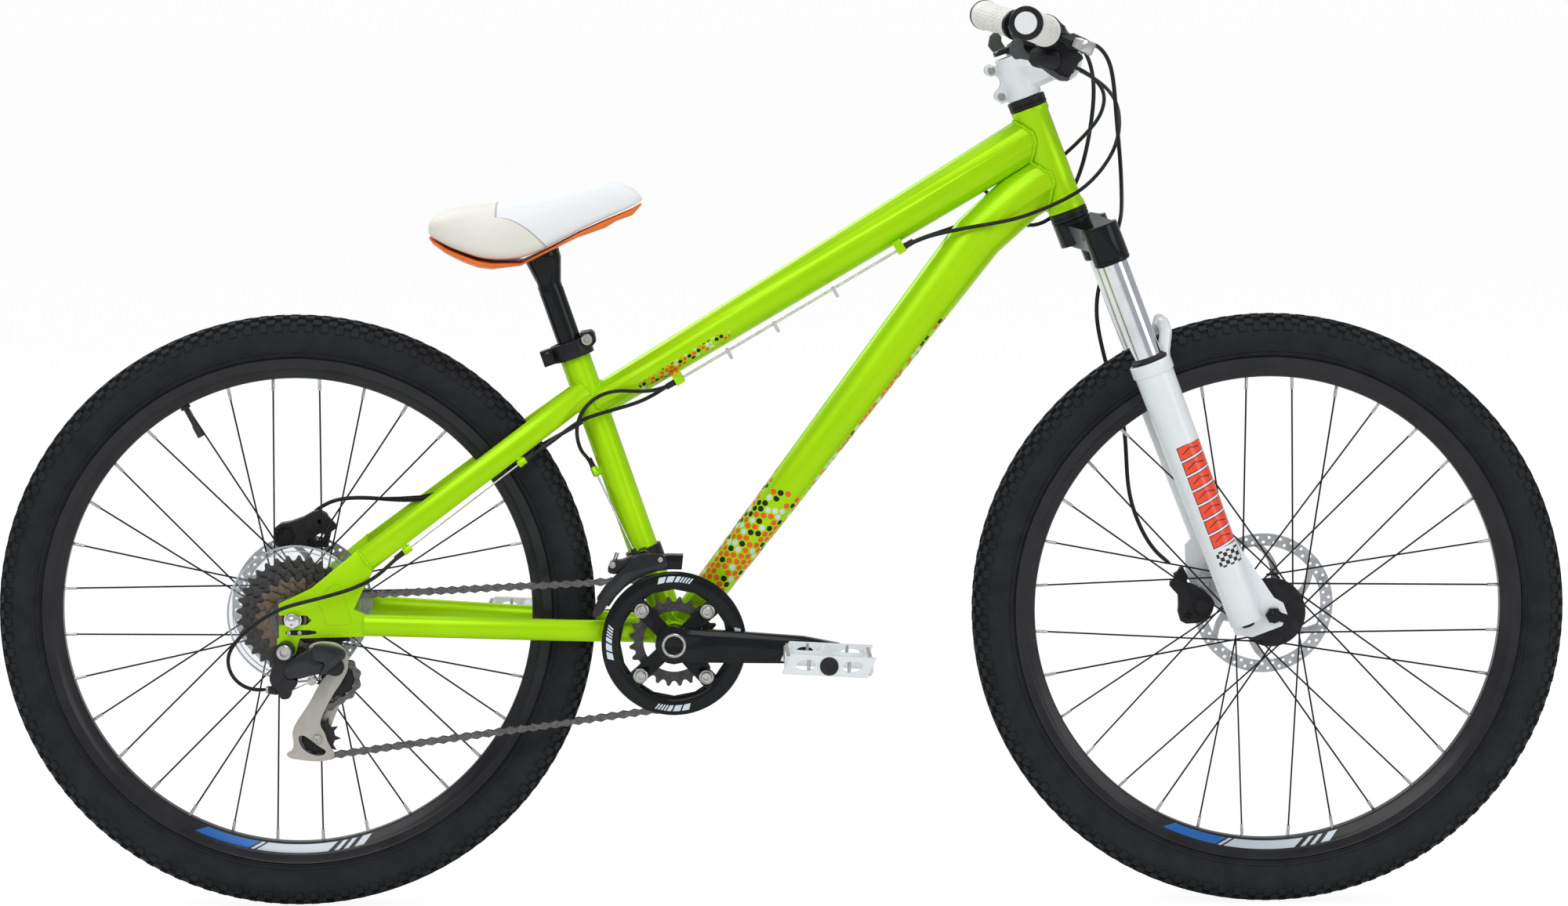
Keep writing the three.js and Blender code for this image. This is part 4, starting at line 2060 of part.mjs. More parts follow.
function mountDrivetrain() {
  const cranks = new THREE.Group();
  cranks.position.copy(bracket);
  bicycle.add(cranks);
  add(cranks, 'right_crank_arm', rightCrank(), blackPaint);
  add(cranks, 'left_crank_arm', leftCrank(), blackPaint);
  add(cranks, 'bash_guard', bashGuard(), blackPlastic);
  add(cranks, 'large_chainring', largeChainring(), blackAlloy);
  add(cranks, 'small_chainring', smallChainring(), greyPlastic);
  add(cranks, 'right_pedal', pedal(-1), whitePlastic);
  add(cranks, 'left_pedal', pedal(1), whitePlastic);
  add(bicycle, 'chain', chain(), chainSteel);
  add(bicycle, 'derailleur_bracket', derailleurBracket(), blackPlastic);
  add(bicycle, 'derailleur_link', derailleurLink(), blackPlastic);
  add(bicycle, 'derailleur_knuckle', derailleurKnuckle(), greyPlastic);
  add(bicycle, 'derailleur_cage', derailleurCage(), silverSteel);
  add(
    bicycle,
    'guide_pulley',
    pulley(guideCircle, guidePhase).translate(guideCircle.x, 0, guideCircle.z),
    blackPlastic,
  );
  add(
    bicycle,
    'tension_pulley',
    pulley(tensionCircle, tensionPhase).translate(tensionCircle.x, 0, tensionCircle.z),
    blackPlastic,
  );
  add(bicycle, 'front_derailleur_band', mechBand(), blackPlastic);
  add(bicycle, 'front_derailleur_cage', mechCage(), blackPlastic);
}

mountFrame();
mountWheels();
mountSeat();
mountFork();
mountCockpit();
mountDrivetrain();
bicycle.position.set(-(rearAxle.x + frontAxle.x) / 2, 0, tyreRadius);

export default bicycle;
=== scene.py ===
# The looks of a dirt jump bicycle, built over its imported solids.
# Metres; X points forwards, Y to the rider's left, Z up, and the ground is at zero.

import json
import math
from contextlib import contextmanager

import bpy
from mathutils import Matrix, Vector
from mathutils.bvhtree import BVHTree

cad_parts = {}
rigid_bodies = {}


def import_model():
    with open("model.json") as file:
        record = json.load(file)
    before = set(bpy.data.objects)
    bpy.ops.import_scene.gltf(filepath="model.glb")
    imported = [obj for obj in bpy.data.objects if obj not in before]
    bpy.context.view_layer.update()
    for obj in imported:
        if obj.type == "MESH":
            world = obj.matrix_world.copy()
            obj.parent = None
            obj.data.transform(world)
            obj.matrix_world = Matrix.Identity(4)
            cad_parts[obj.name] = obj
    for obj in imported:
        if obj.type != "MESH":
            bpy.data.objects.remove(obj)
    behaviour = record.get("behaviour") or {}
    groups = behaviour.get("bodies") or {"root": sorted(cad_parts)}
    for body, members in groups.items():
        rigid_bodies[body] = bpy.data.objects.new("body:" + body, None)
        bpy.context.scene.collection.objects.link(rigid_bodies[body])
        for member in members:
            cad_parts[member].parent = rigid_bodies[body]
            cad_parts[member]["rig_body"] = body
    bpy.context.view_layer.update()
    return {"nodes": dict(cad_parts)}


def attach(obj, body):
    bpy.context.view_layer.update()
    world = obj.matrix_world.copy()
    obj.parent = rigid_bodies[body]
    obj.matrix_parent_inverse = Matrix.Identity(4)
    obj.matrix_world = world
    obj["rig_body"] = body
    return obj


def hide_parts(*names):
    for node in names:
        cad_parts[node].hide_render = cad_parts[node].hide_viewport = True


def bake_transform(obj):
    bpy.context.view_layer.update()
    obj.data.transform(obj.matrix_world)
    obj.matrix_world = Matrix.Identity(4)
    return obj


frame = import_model()

# Camera
# It stands level with the bars on the chain's side, nearly square to the wheels, on a long lens.
# A small downward shift keeps the tubes upright in the picture.


def shown(name, data):
    thing = bpy.data.objects.new(name, data)
    bpy.context.scene.collection.objects.link(thing)
    return thing


camera_lens = bpy.data.cameras.new("camera")
camera_lens.sensor_width = 36
camera_lens.lens = 100.1
camera_lens.shift_y = -0.08
camera_lens.clip_end = 200
camera = shown("camera", camera_lens)
camera.location = (-0.0978, -4.8925, 1.0693)
camera.rotation_euler = (math.radians(85.172), 0, math.radians(-1.148))
bpy.context.scene.camera = camera

# Studio
# A wide pale floor under a white sky, with one large soft lamp high on the near side, a weaker one
# beside it and two behind that draw bright lines along the tubes.
studio_white = (1, 1, 1)
sky_tint = (0.93, 0.96, 1)
sky_strength = 0.5
sky_seen_strength = 0.985
floor_grey = (0.9, 0.9, 0.9)
floor_shadow_share = 0.14
floor_glow_strength = 1.07
lamp_aim = Vector((0, 0, 0.5))
lamps = {  # place, width and height, power
    "lamp_key": ((-1.8, -4.6, 4.4), (4.5, 3.0), 130),
    "lamp_side": ((4.6, -3.2, 2.2), (2.5, 3.0), 50),
    "lamp_back": ((-2.5, 4.2, 3.6), (3.5, 2.0), 90),
    "lamp_top": ((0.6, 0.4, 4.8), (4.5, 1.6), 60),
}


def wired(tree, kind, inputs=None, **settings):
    """Adds a node and returns its outputs; each input is a value or another node's output."""
    node = tree.nodes.new(kind if kind.startswith("NodeGroup") else "ShaderNode" + kind)
    for name, value in settings.items():
        setattr(node, name, value)
    for key, value in (inputs or {}).items():
        socket, value = node.inputs[key], getattr(value, "socket", value)
        if isinstance(value, bpy.types.NodeSocket):
            tree.links.new(value, socket)
        else:
            socket.default_value = (*value, 1) if socket.type == "RGBA" else value
    return node.outputs


def lit(owner, kind, operation, second, plain, bright):
    """Gives a world or a material a plain shader, and a bright one where the camera sees it."""
    owner.use_nodes = True
    tree = owner.node_tree
    tree.nodes.clear()
    path = wired(tree, "LightPath")
    inputs = {0: path["Is Camera Ray"], 1: path[second] if isinstance(second, str) else second}
    share = wired(tree, "Math", inputs, operation=operation)[0]
    mix = wired(tree, "MixShader", {0: share, 1: wired(tree, *plain)[0], 2: wired(tree, *bright)[0]})
    wired(tree, kind, {"Surface": mix[0]})


def added(primitive, **settings):
    """A new mesh from one of the modelling operators, with nothing else selected."""
    bpy.ops.object.select_all(action="DESELECT")
    primitive(**settings)
    return bpy.context.object


world = bpy.data.worlds.new("studio")
bpy.context.scene.world = world
lit(world, "OutputWorld", "MAXIMUM", "Is Transmission Ray",
    ("Background", {"Color": sky_tint, "Strength": sky_strength}),
    ("Background", {"Color": studio_white, "Strength": sky_seen_strength}))
floor = added(bpy.ops.mesh.primitive_circle_add, vertices=64, radius=60, fill_type="NGON")
floor.name = "studio_floor"
floor_finish = bpy.data.materials.new("studio_floor")
lit(floor_finish, "OutputMaterial", "MULTIPLY", 1 - floor_shadow_share, ("BsdfDiffuse", {"Color": floor_grey}),
    ("Emission", {"Color": studio_white, "Strength": floor_glow_strength}))
floor.data.materials.append(floor_finish)

for name, (place, size, power) in lamps.items():
    light = bpy.data.lights.new(name, "AREA")
    light.shape = "RECTANGLE"
    light.size, light.size_y = size
    light.energy = power
    lamp = shown(name, light)
    lamp.location = place
    lamp.rotation_euler = (lamp_aim - Vector(place)).to_track_quat("-Z", "Y").to_euler()
bpy.context.scene.view_settings.view_transform = "Standard"

# Frame
# Hydroformed alloy tubes welded into two triangles, under a lime green pearl coat with clear lacquer.
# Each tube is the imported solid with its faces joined, its sharp edges eased and its sides smoothed.
lime_green, lime_flake = (0.375, 0.72, 0.001), (0.43, 0.79, 0.003)
dot_red, dot_dark, dot_pale = (0.87, 0.14, 0.02, 1), (0.02, 0.025, 0.01, 1), (0.70, 0.78, 0.66, 1)
dot_radius = 0.41  # of the pitch between dots
row_share = 0.87  # the pitch between rows over the pitch between dots


def operator(operation):
    return lambda value, other: value.maths(operation, other)


class Value:
    """A value in a node tree. Sums and comparisons with it make nodes, and | takes the larger."""

    __add__, __sub__, __mul__ = operator("ADD"), operator("SUBTRACT"), operator("MULTIPLY")
    __truediv__, __mod__, __or__ = operator("DIVIDE"), operator("FLOORED_MODULO"), operator("MAXIMUM")
    __lt__, __gt__ = operator("LESS_THAN"), operator("GREATER_THAN")

    def __init__(self, tree, socket):
        self.tree, self.socket = tree, socket

    def maths(self, operation, other=None, clamp=False):
        inputs = {0: self} if other is None else {0: self, 1: other}
        return Value(self.tree, wired(self.tree, "Math", inputs, operation=operation, use_clamp=clamp)[0])

    def between(self, low, high):
        return (self > low) * (self < high)


def grouped(name, taken, given):
    """A node group with sockets named with their kinds, and what it takes in."""
    group = bpy.data.node_groups.new(name, "ShaderNodeTree")
    for way, sockets in (("INPUT", taken), ("OUTPUT", given)):
        for label, kind in sockets.items():
            group.interface.new_socket(label, in_out=way, socket_type="NodeSocket" + kind)
    return group, wired(group, "NodeGroupInput")


def placed(tree, origin=(0, 0, 0), ways=()):
    """The place on a piece from an origin: its X, Y and Z, and how far it reaches along other ways."""
    inputs = {0: wired(tree, "TexCoord")["Object"], 1: origin}
    place = wired(tree, "VectorMath", inputs, operation="SUBTRACT")["Vector"]
    reaches = [wired(tree, "VectorMath", {0: place, 1: way}, operation="DOT_PRODUCT")["Value"] for way in ways]
    return [Value(tree, socket) for socket in (*wired(tree, "SeparateXYZ", {0: place}), *reaches)]


def surface_group():
    """Cloudy colour, uneven polish and a fine grain, worked out from the place on the piece."""
    group, taken = grouped("surface_variation", {
        "Colour": "Color", "Second Colour": "Color", "Cloud Scale": "Float", "Grain Scale": "Float",
        "Roughness": "Float", "Unevenness": "Float"}, {"Colour": "Color", "Roughness": "Float", "Height": "Float"})
    place = wired(group, "TexCoord")["Object"]
    cloud, grain = [wired(group, "TexNoise", {"Vector": place, "Scale": taken[scale], "Detail": detail})["Fac"]
                    for scale, detail in (("Cloud Scale", 4), ("Grain Scale", 2))]
    contrast = wired(group, "MapRange", {"Value": cloud, "From Min": 0.3, "From Max": 0.7})["Result"]
    colour = wired(group, "Mix", {"Factor": contrast, "A": taken["Colour"], "B": taken["Second Colour"]},
                   data_type="RGBA")["Result"]
    roughness = Value(group, contrast) * taken["Unevenness"] + taken["Roughness"]
    wired(group, "NodeGroupOutput", {"Colour": colour, "Roughness": roughness, "Height": grain})
    return group


def dots_group():
    """Staggered round dots in three colours, wrapped about a tube on a strip along its side."""
    group, taken = grouped("tube_dots", {
        "Start": "Vector", "Along": "Vector", "Under": "Vector", "Length": "Float", "Low": "Float", "High": "Float",
        "Tube Radius": "Float", "Pitch": "Float"}, {"Colour": "Color", "Mask": "Float"})
    _, side, _, along, under = placed(group, taken["Start"], (taken["Along"], taken["Under"]))
    around = under.maths("ARCTAN2", side.maths("ABSOLUTE")) * taken["Tube Radius"]
    rows = around / (Value(group, taken["Pitch"]) * row_share)
    row = rows.maths("FLOOR")
    columns = along / taken["Pitch"] + row % 2 * 0.5
    across_cell = columns.maths("FRACT") - 0.5
    up_cell = (rows.maths("FRACT") - 0.5) * row_share
    distance = (across_cell * across_cell + up_cell * up_cell).maths("SQRT")
    cell = wired(group, "CombineXYZ", {"X": columns.maths("FLOOR"), "Y": row})["Vector"]
    draws = wired(group, "TexWhiteNoise", {"Vector": cell}, noise_dimensions="2D")
    shades = wired(group, "ValToRGB", {"Fac": draws["Value"]})
    ramp = shades[0].node.color_ramp
    ramp.interpolation = "CONSTANT"
    ramp.elements[0].color = dot_red
    ramp.elements[1].position = 0.58
    ramp.elements[1].color = dot_dark
    ramp.elements.new(0.76).color = dot_pale
    second_draw = Value(group, wired(group, "SeparateColor", {"Color": draws["Color"]})["Green"])
    share = along / taken["Length"]
    fade = (share - 0.72).maths("MULTIPLY", 3.6, True)
    mask = (distance < dot_radius) * (Value(group, draws["Value"]) < 0.93) * (along > 0) * (share < 1)
    mask = mask * around.between(taken["Low"], taken["High"]) * (second_draw > fade)
    wired(group, "NodeGroupOutput", {"Colour": shades["Color"], "Mask": mask})
    return group


surface_variation, tube_dots = surface_group(), dots_group()


def finish(name, colour, second, roughness, **settings):
    """A material whose colour, polish and grain vary over the piece; settings name shader sockets."""
    material = bpy.data.materials.new(name)
    material.use_nodes = True
    tree = material.node_tree
    shader = tree.nodes["Principled BSDF"]
    variation = wired(tree, "Group", {
        "Colour": colour, "Second Colour": second, "Roughness": roughness,
        "Cloud Scale": settings.pop("cloud_scale", 14), "Grain Scale": settings.pop("grain_scale", 1200),
        "Unevenness": settings.pop("unevenness", 0.05)}, node_tree=surface_variation)
    bump = wired(tree, "Bump", {"Height": variation["Height"], "Strength": settings.pop("grain_height", 0.02),
                                "Distance": 0.001})
    for output, socket in ((variation["Colour"], "Base Color"), (variation["Roughness"], "Roughness"),
                           (bump["Normal"], "Normal")):
        tree.links.new(output, shader.inputs[socket])
    for socket, value in {"specular_ior_level": 0.2, **settings}.items():
        shader.inputs[socket.replace("_", " ").title().replace("Ior", "IOR")].default_value = value
    return material


def twinned(material, name):
    """A second material like the first, for marks of its own."""
    twin = material.copy()
    twin.name = name
    return twin


def marked(material, colour, mask):
    """Lays a colour over a material's own wherever a mask is one."""
    tree = material.node_tree
    base = tree.nodes["Principled BSDF"].inputs["Base Color"]
    inputs = {"Factor": mask, "A": base.links[0].from_socket, "B": colour}
    tree.links.new(wired(tree, "Mix", inputs, data_type="RGBA")["Result"], base)


def dotted(material, start, along, length, low, high, radius, pitch):
    along = Vector(along).normalized()
    dots = wired(material.node_tree, "Group", {
        "Start": start, "Along": along, "Under": Vector((along.z, 0, -along.x)), "Length": length, "Low": low,
        "High": high, "Tube Radius": radius, "Pitch": pitch}, node_tree=tube_dots)
    marked(material, dots["Colour"], dots["Mask"])


def activated(piece):
    bpy.ops.object.select_all(action="DESELECT")
    piece.select_set(True)
    bpy.context.view_layer.objects.active = piece


@contextmanager
def editing(piece):
    """Edit mode on one piece with all of it selected."""
    activated(piece)
    bpy.ops.object.mode_set(mode="EDIT")
    bpy.ops.mesh.select_all(action="SELECT")
    yield
    bpy.ops.object.mode_set(mode="OBJECT")


def apply_modifier(piece, kind, **settings):
    activated(piece)
    modifier = piece.modifiers.new(kind.lower(), kind)
    for name, value in settings.items():
        setattr(modifier, name, value)
    bpy.ops.object.modifier_apply(modifier=modifier.name)
    return piece


def bevelled(piece, width, degrees):
    return apply_modifier(piece, "BEVEL", width=width, segments=2, limit_method="ANGLE",
                          angle_limit=math.radians(degrees))


def joined(name, parts):
    """One piece from one part or a list of parts."""
    parts = parts if isinstance(parts, list) else [parts]
    activated(parts[0])
    for part in parts:
        part.select_set(True)
    if len(parts) > 1:
        bpy.ops.object.join()
    parts[0].name = name
    return parts[0]


def fitted(name, parts, body, slot, material, degrees=30, replaced=()):
    """Joins a piece's parts and gives it its material, smooth sides, body and the solids it stands for."""
    piece = joined(name, parts)
    piece.data.materials.clear()
    piece.data.materials.append(material)
    for face in piece.data.polygons:
        face.material_index = 0
    activated(piece)
    bpy.ops.object.shade_smooth_by_angle(angle=math.radians(degrees))
    if body:
        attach(piece, body)
    if replaced:
        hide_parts(*replaced)
    return piece


def cleaned(node):
    """A copy of a solid with its flat faces joined, in the solid's own place."""
    piece = shown("copy", frame["nodes"][node].data.copy())
    activated(piece)
    bpy.ops.mesh.customdata_custom_splitnormals_clear()
    with editing(piece):
        bpy.ops.mesh.remove_doubles(threshold=0.00001)
        bpy.ops.mesh.dissolve_limited(angle_limit=math.radians(0.5))
    return piece


def dressed(node, slot, material, degrees, edge, rides=True):
    """A solid's clean copy with its sharp edges eased, which stands for the solid."""
    piece = cleaned(node)
    if edge:
        bevelled(piece, edge, max(degrees, 38))
    body = frame["nodes"][node]["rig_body"] if rides else None
    return fitted(node + "_finished", piece, body, slot, material, degrees, [node])


lime_paint = finish("lime_pearl", lime_green, lime_flake, 0.36, metallic=0.35, specular_ior_level=0.1,
                    coat_weight=0.12, coat_roughness=0.04, cloud_scale=9, grain_height=0.0, unevenness=0.03)
tube_paints = {tube: twinned(lime_paint, tube + "_lime") for tube in ("down_tube", "top_tube")}
for tube, *strip in (  # the strip's start, direction and length, its edges round the tube, radius and pitch
        ("down_tube", (-0.0878, 0, 0.3539), (0.6032, 0, 0.7976), 0.166, -1, 1, 0.0200, 0.0080),
        ("down_tube", (0.0123, 0, 0.4862), (0.6032, 0, 0.7976), 0.250, 0.0225, 1, 0.0220, 0.0080),
        ("top_tube", (-0.1613, 0, 0.5890), (0.8517, 0, 0.5240), 0.130, -0.0066, 0.0062, 0.0190, 0.0060)):
    dotted(tube_paints[tube], *strip)
for tube in ("head_tube", "top_tube", "down_tube", "seat_tube", "right_chainstay", "left_chainstay",
             "right_seatstay", "left_seatstay"):
    dressed(tube, "lime", tube_paints.get(tube, lime_paint), 32, 0.0006)

# Welds
# Rippled beads of filler along the lines where the tubes meet, under the same paint.
weld_pairs = [
    ("top_tube", "head_tube"), ("down_tube", "head_tube"), ("down_tube", "top_tube"), ("top_tube", "seat_tube"),
    ("down_tube", "seat_tube"), ("right_seatstay", "seat_tube"), ("left_seatstay", "seat_tube"),
    ("right_seatstay", "right_chainstay"), ("left_seatstay", "left_chainstay"), ("right_chainstay", "seat_tube"),
    ("left_chainstay", "seat_tube"),
]
bead_radius = 0.0023
bead_pitch = 0.0026
weld_reach = 0.0014
head_tube_reach = 0.0042


def meeting_edges(tube, other):
    """The ends of each sharp edge of one tube that lies against another."""
    target = frame["nodes"][other].data
    target = BVHTree.FromPolygons([v.co for v in target.vertices], [p.vertices for p in target.polygons])
    reach = head_tube_reach if other == "head_tube" else weld_reach
    copy = cleaned(tube)
    with editing(copy):
        bpy.ops.mesh.select_all(action="DESELECT")
        bpy.ops.mesh.select_mode(type="EDGE")
        bpy.ops.mesh.edges_select_sharp(sharpness=math.radians(38))
    found = []
    for edge in copy.data.edges:
        ends = [copy.data.vertices[index].co.copy() for index in edge.vertices]
        if edge.select and all(target.find_nearest(p)[3] < reach for p in (*ends, (ends[0] + ends[1]) / 2)):
            found.append(ends)
    bpy.data.objects.remove(copy, do_unlink=True)
    return found


weld_bead = added(bpy.ops.mesh.primitive_ico_sphere_add, subdivisions=1, radius=bead_radius)
beads = []
for tube, other in weld_pairs:
    for start, end in meeting_edges(tube, other):
        count = max(1, round((end - start).length / bead_pitch))
        for index in range(count):
            beads.append(shown("bead", weld_bead.data.copy()))
            beads[-1].data.transform(Matrix.Translation(start.lerp(end, (index + 0.5) / count)))
bpy.data.objects.remove(weld_bead, do_unlink=True)
fitted("weld_beads", beads, "frame", "lime", lime_paint, 80)

# Tyres
# Wide black rubber on a thin carcass: smooth side walls, and rows of square blocks that alternate
# over the crown and lean outwards at the shoulders.
wheel_axles = {"rear": Vector((-0.5485, 0, 0.336)), "front": Vector((0.5485, 0, 0.336))}
across = Vector((0, 1, 0))
mm = 0.001
carcass_half = [12.8, 281.5, 13.5, 287.2, 16.5, 290.5, 21.5, 295.5, 26.2, 302.5, 28.5, 310, 28.4, 317, 26.2, 322.5,
                21.8, 327, 15, 330, 7.5, 331.3]
bead_line = [16.8, 290.3, 18.6, 290.8, 20, 293.2, 18, 292.8]
block_rows = [
    # place across, turn outwards, length round the tyre, width across, radius of the block's middle, start
    (0.0045, 0.05, 0.0105, 0.0070, 0.3332, 0.0),
    (0.0128, 0.16, 0.0100, 0.0072, 0.3320, 0.5),
    (0.0205, 0.55, 0.0098, 0.0082, 0.3282, 0.0),
    (0.0262, 1.05, 0.0092, 0.0080, 0.3222, 0.5),
]
blocks_round = 118
block_height = 0.0044


def pairs(numbers, unit=mm):
    return [(a * unit, b * unit) for a, b in zip(numbers[::2], numbers[1::2])]


def mirrored(profile):
    """A flat profile in reverse, on the other side of the middle."""
    return [number for distance, radius in pairs(profile, 1)[::-1] for number in (-distance, radius)]


def aimed(piece, place, way):
    """Turns a piece from the Z axis to another way and moves it to a place."""
    turn = Vector(way).to_track_quat("Z", "Y").to_matrix().to_4x4()
    piece.data.transform(Matrix.Translation(Vector(place)) @ turn)
    return piece


def turned(start, way, profile, steps=64):
    """A part turned about a line. Its profile is a flat row of millimetres: along the line, then the radius."""
    points = pairs(profile)
    piece = added(bpy.ops.mesh.primitive_circle_add, vertices=len(points), radius=1)
    for vertex, (distance, radius) in zip(piece.data.vertices, points):
        vertex.co = (radius, 0, distance)
    with editing(piece):
        bpy.ops.mesh.spin(steps=steps, angle=2 * math.pi, center=(0, 0, 0), axis=(0, 0, 1))
        bpy.ops.mesh.select_all(action="SELECT")
        bpy.ops.mesh.remove_doubles(threshold=0.000002)
        bpy.ops.mesh.normals_make_consistent(inside=False)
    return aimed(piece, start, way)


def ringed(piece, count, centre, axis=across):
    """Repeats a piece evenly round an axis."""
    with editing(piece):
        bpy.ops.mesh.spin(steps=count - 1, angle=2 * math.pi * (count - 1) / count, dupli=True,
                          center=centre, axis=axis)
    return piece


def block(centre, size, edge, turn=(0, 0, 0)):
    """A small block with eased edges."""
    piece = added(bpy.ops.mesh.primitive_cube_add, size=1, location=centre, rotation=turn)
    piece.scale = size
    bpy.ops.object.transform_apply(location=True, rotation=True, scale=True)
    return apply_modifier(piece, "BEVEL", width=edge, segments=1)


tyre_rubber = finish("tyre_rubber", (0.012, 0.013, 0.015), (0.021, 0.022, 0.024), 0.62, cloud_scale=45,
                     grain_scale=1500, grain_height=0.25, unevenness=0.12, specular_ior_level=0.15)
for wheel, axle in wheel_axles.items():
    parts = [turned(axle, across, carcass_half + [0, 331.6] + mirrored(carcass_half) + [-9, 283.2, 9, 283.2], 160)]
    parts += [turned(axle, across, line, 120) for line in (bead_line, mirrored(bead_line))]
    for place, lean, length, width, radius, start in block_rows:
        for side in (-1, 1):
            first = math.pi * 2 / blocks_round * (start + (0.5 if side < 0 else 0))
            knob = block((0, 0, 0), (length, width, block_height), 0.0007)
            stand = Matrix.Rotation(first, 4, "Y") @ Matrix.Translation((0, side * place, radius))
            knob.data.transform(Matrix.Translation(axle) @ stand @ Matrix.Rotation(-side * lean, 4, "X"))
            parts.append(ringed(knob, blocks_round, axle))
    fitted(wheel + "_tyre_rubber", parts, wheel + "_wheel", "tyre_rubber", tyre_rubber, 34, [wheel + "_tyre"])

# Rims
# Black anodised box rims with a polished joint line where the tyre sits. Plain bars of blue and silver
# stand on the lower side walls where a transfer would be.
rim_half = [6, 264.3, 7.8, 265.5, 10, 270, 12.8, 275.2, 14, 276.5, 14.6, 278.5, 15, 286, 15.5, 286.8, 15, 287.6,
            13.2, 287.4, 12.9, 280, 11, 279]
transfer_middle = -math.pi / 2
transfer_blue = (0.02, 0.13, 0.42)
transfer_silver = (0.52, 0.56, 0.60)
silver_bars = [(-0.155, 0.14), (0.165, 0.185), (0.205, 0.225), (-0.18, -0.165), (0.25, 0.29)]


def rim_finish(name, axle):
    """Satin black with bars of blue and silver between two angles and two radii round the axle."""
    material = finish(name, (0.012, 0.012, 0.013), (0.02, 0.02, 0.021), 0.33, metallic=0.25, cloud_scale=30,
                      grain_height=0.03, coat_weight=0.25, coat_roughness=0.2)
    x, y, z = placed(material.node_tree, axle)
    radius = (x * x + z * z).maths("SQRT")
    slant = z.maths("ARCTAN2", x) + (radius - 0.2705) * 5
    band = radius.between(0.2663, 0.2752) * (y.maths("ABSOLUTE") > 0.0074)
    blue, silver, *others = [slant.between(transfer_middle + low, transfer_middle + high) * band
                             for low, high in ((-0.42, -0.19), *silver_bars)]
    for bar in others:
        silver = silver | bar
    marked(material, transfer_blue, blue)
    marked(material, transfer_silver, silver)
    return material


def swung(piece, axle, angle):
    """Turns a piece round a wheel's axle."""
    piece.data.transform(Matrix.Translation(axle) @ Matrix.Rotation(angle, 4, "Y") @ Matrix.Translation(-axle))
    return piece


for wheel, axle in wheel_axles.items():
    hoop = turned(axle, across, [0, 264] + rim_half + mirrored(rim_half), 160)
    fitted(wheel + "_rim_hoop", hoop, wheel + "_wheel", "black_alloy", rim_finish(wheel + "_rim_black", axle), 30,
           [wheel + "_rim"])
    valve_foot, valve_tip = (axle + Vector(end) for end in ((-0.0013, 0, 0.262), (-0.0012, 0, 0.225)))
    valve = [
        turned(valve_foot, valve_tip - valve_foot, [0, 0.1, 0, 3.2, 22, 3.2, 23, 4.2, 37, 4.2, 37.2, 0.1], 16),
        turned(axle + Vector((-0.0013, 0, 0.264)), (0, 0, -1), [0, 0.1, 0, 5.8, 3.5, 5.8, 3.5, 0.1], 6),
    ]
    valve_finish = finish(wheel + "_valve_black", (0.02, 0.02, 0.02), (0.05, 0.05, 0.05), 0.5)
    fitted(wheel + "_valve", [swung(part, axle, math.radians(-28.1)) for part in valve], wheel + "_wheel",
           "hose_black", valve_finish, 40)

# Hubs and spokes
# Two rings of sixteen black spokes cross three times from the flanges to the rim. Each ends in a
# nickel nipple, and the rear hub carries the splined body for the sprockets.
spoke_pairs = 16
spoke_turn = math.radians(5.625)
spoke_radius = 0.0010
nipple_radius = 0.0018
nipple_length = 0.0135
hubs = {  # millimetres: right flange's radius and place, left flange's place, shell's radius, width, rotor's place
    "rear": (30, 20, 32, 19, 127, 51),
    "front": (39, 34, 24, 17, 92, 37),
}
black_anodised = finish("black_anodised", (0.012, 0.012, 0.013), (0.024, 0.024, 0.026), 0.34, metallic=0.3,
                        cloud_scale=60, grain_height=0.05)
black_spoke = finish("black_spoke", (0.010, 0.010, 0.011), (0.022, 0.022, 0.022), 0.3, metallic=0.4, cloud_scale=80)
nickel = finish("nickel_plate", (0.62, 0.61, 0.58), (0.42, 0.41, 0.38), 0.24, metallic=1, cloud_scale=160,
                grain_height=0.06)


def rod(start, end, radius, sides=12):
    """A round bar between two points with closed ends."""
    start, end = Vector(start), Vector(end)
    bar = added(bpy.ops.mesh.primitive_cylinder_add, vertices=sides, radius=radius, depth=(end - start).length)
    return aimed(bar, (start + end) / 2, end - start)


def wheel_point(axle, radius, angle, y):
    return axle + Vector((radius * math.cos(angle), y, radius * math.sin(angle)))


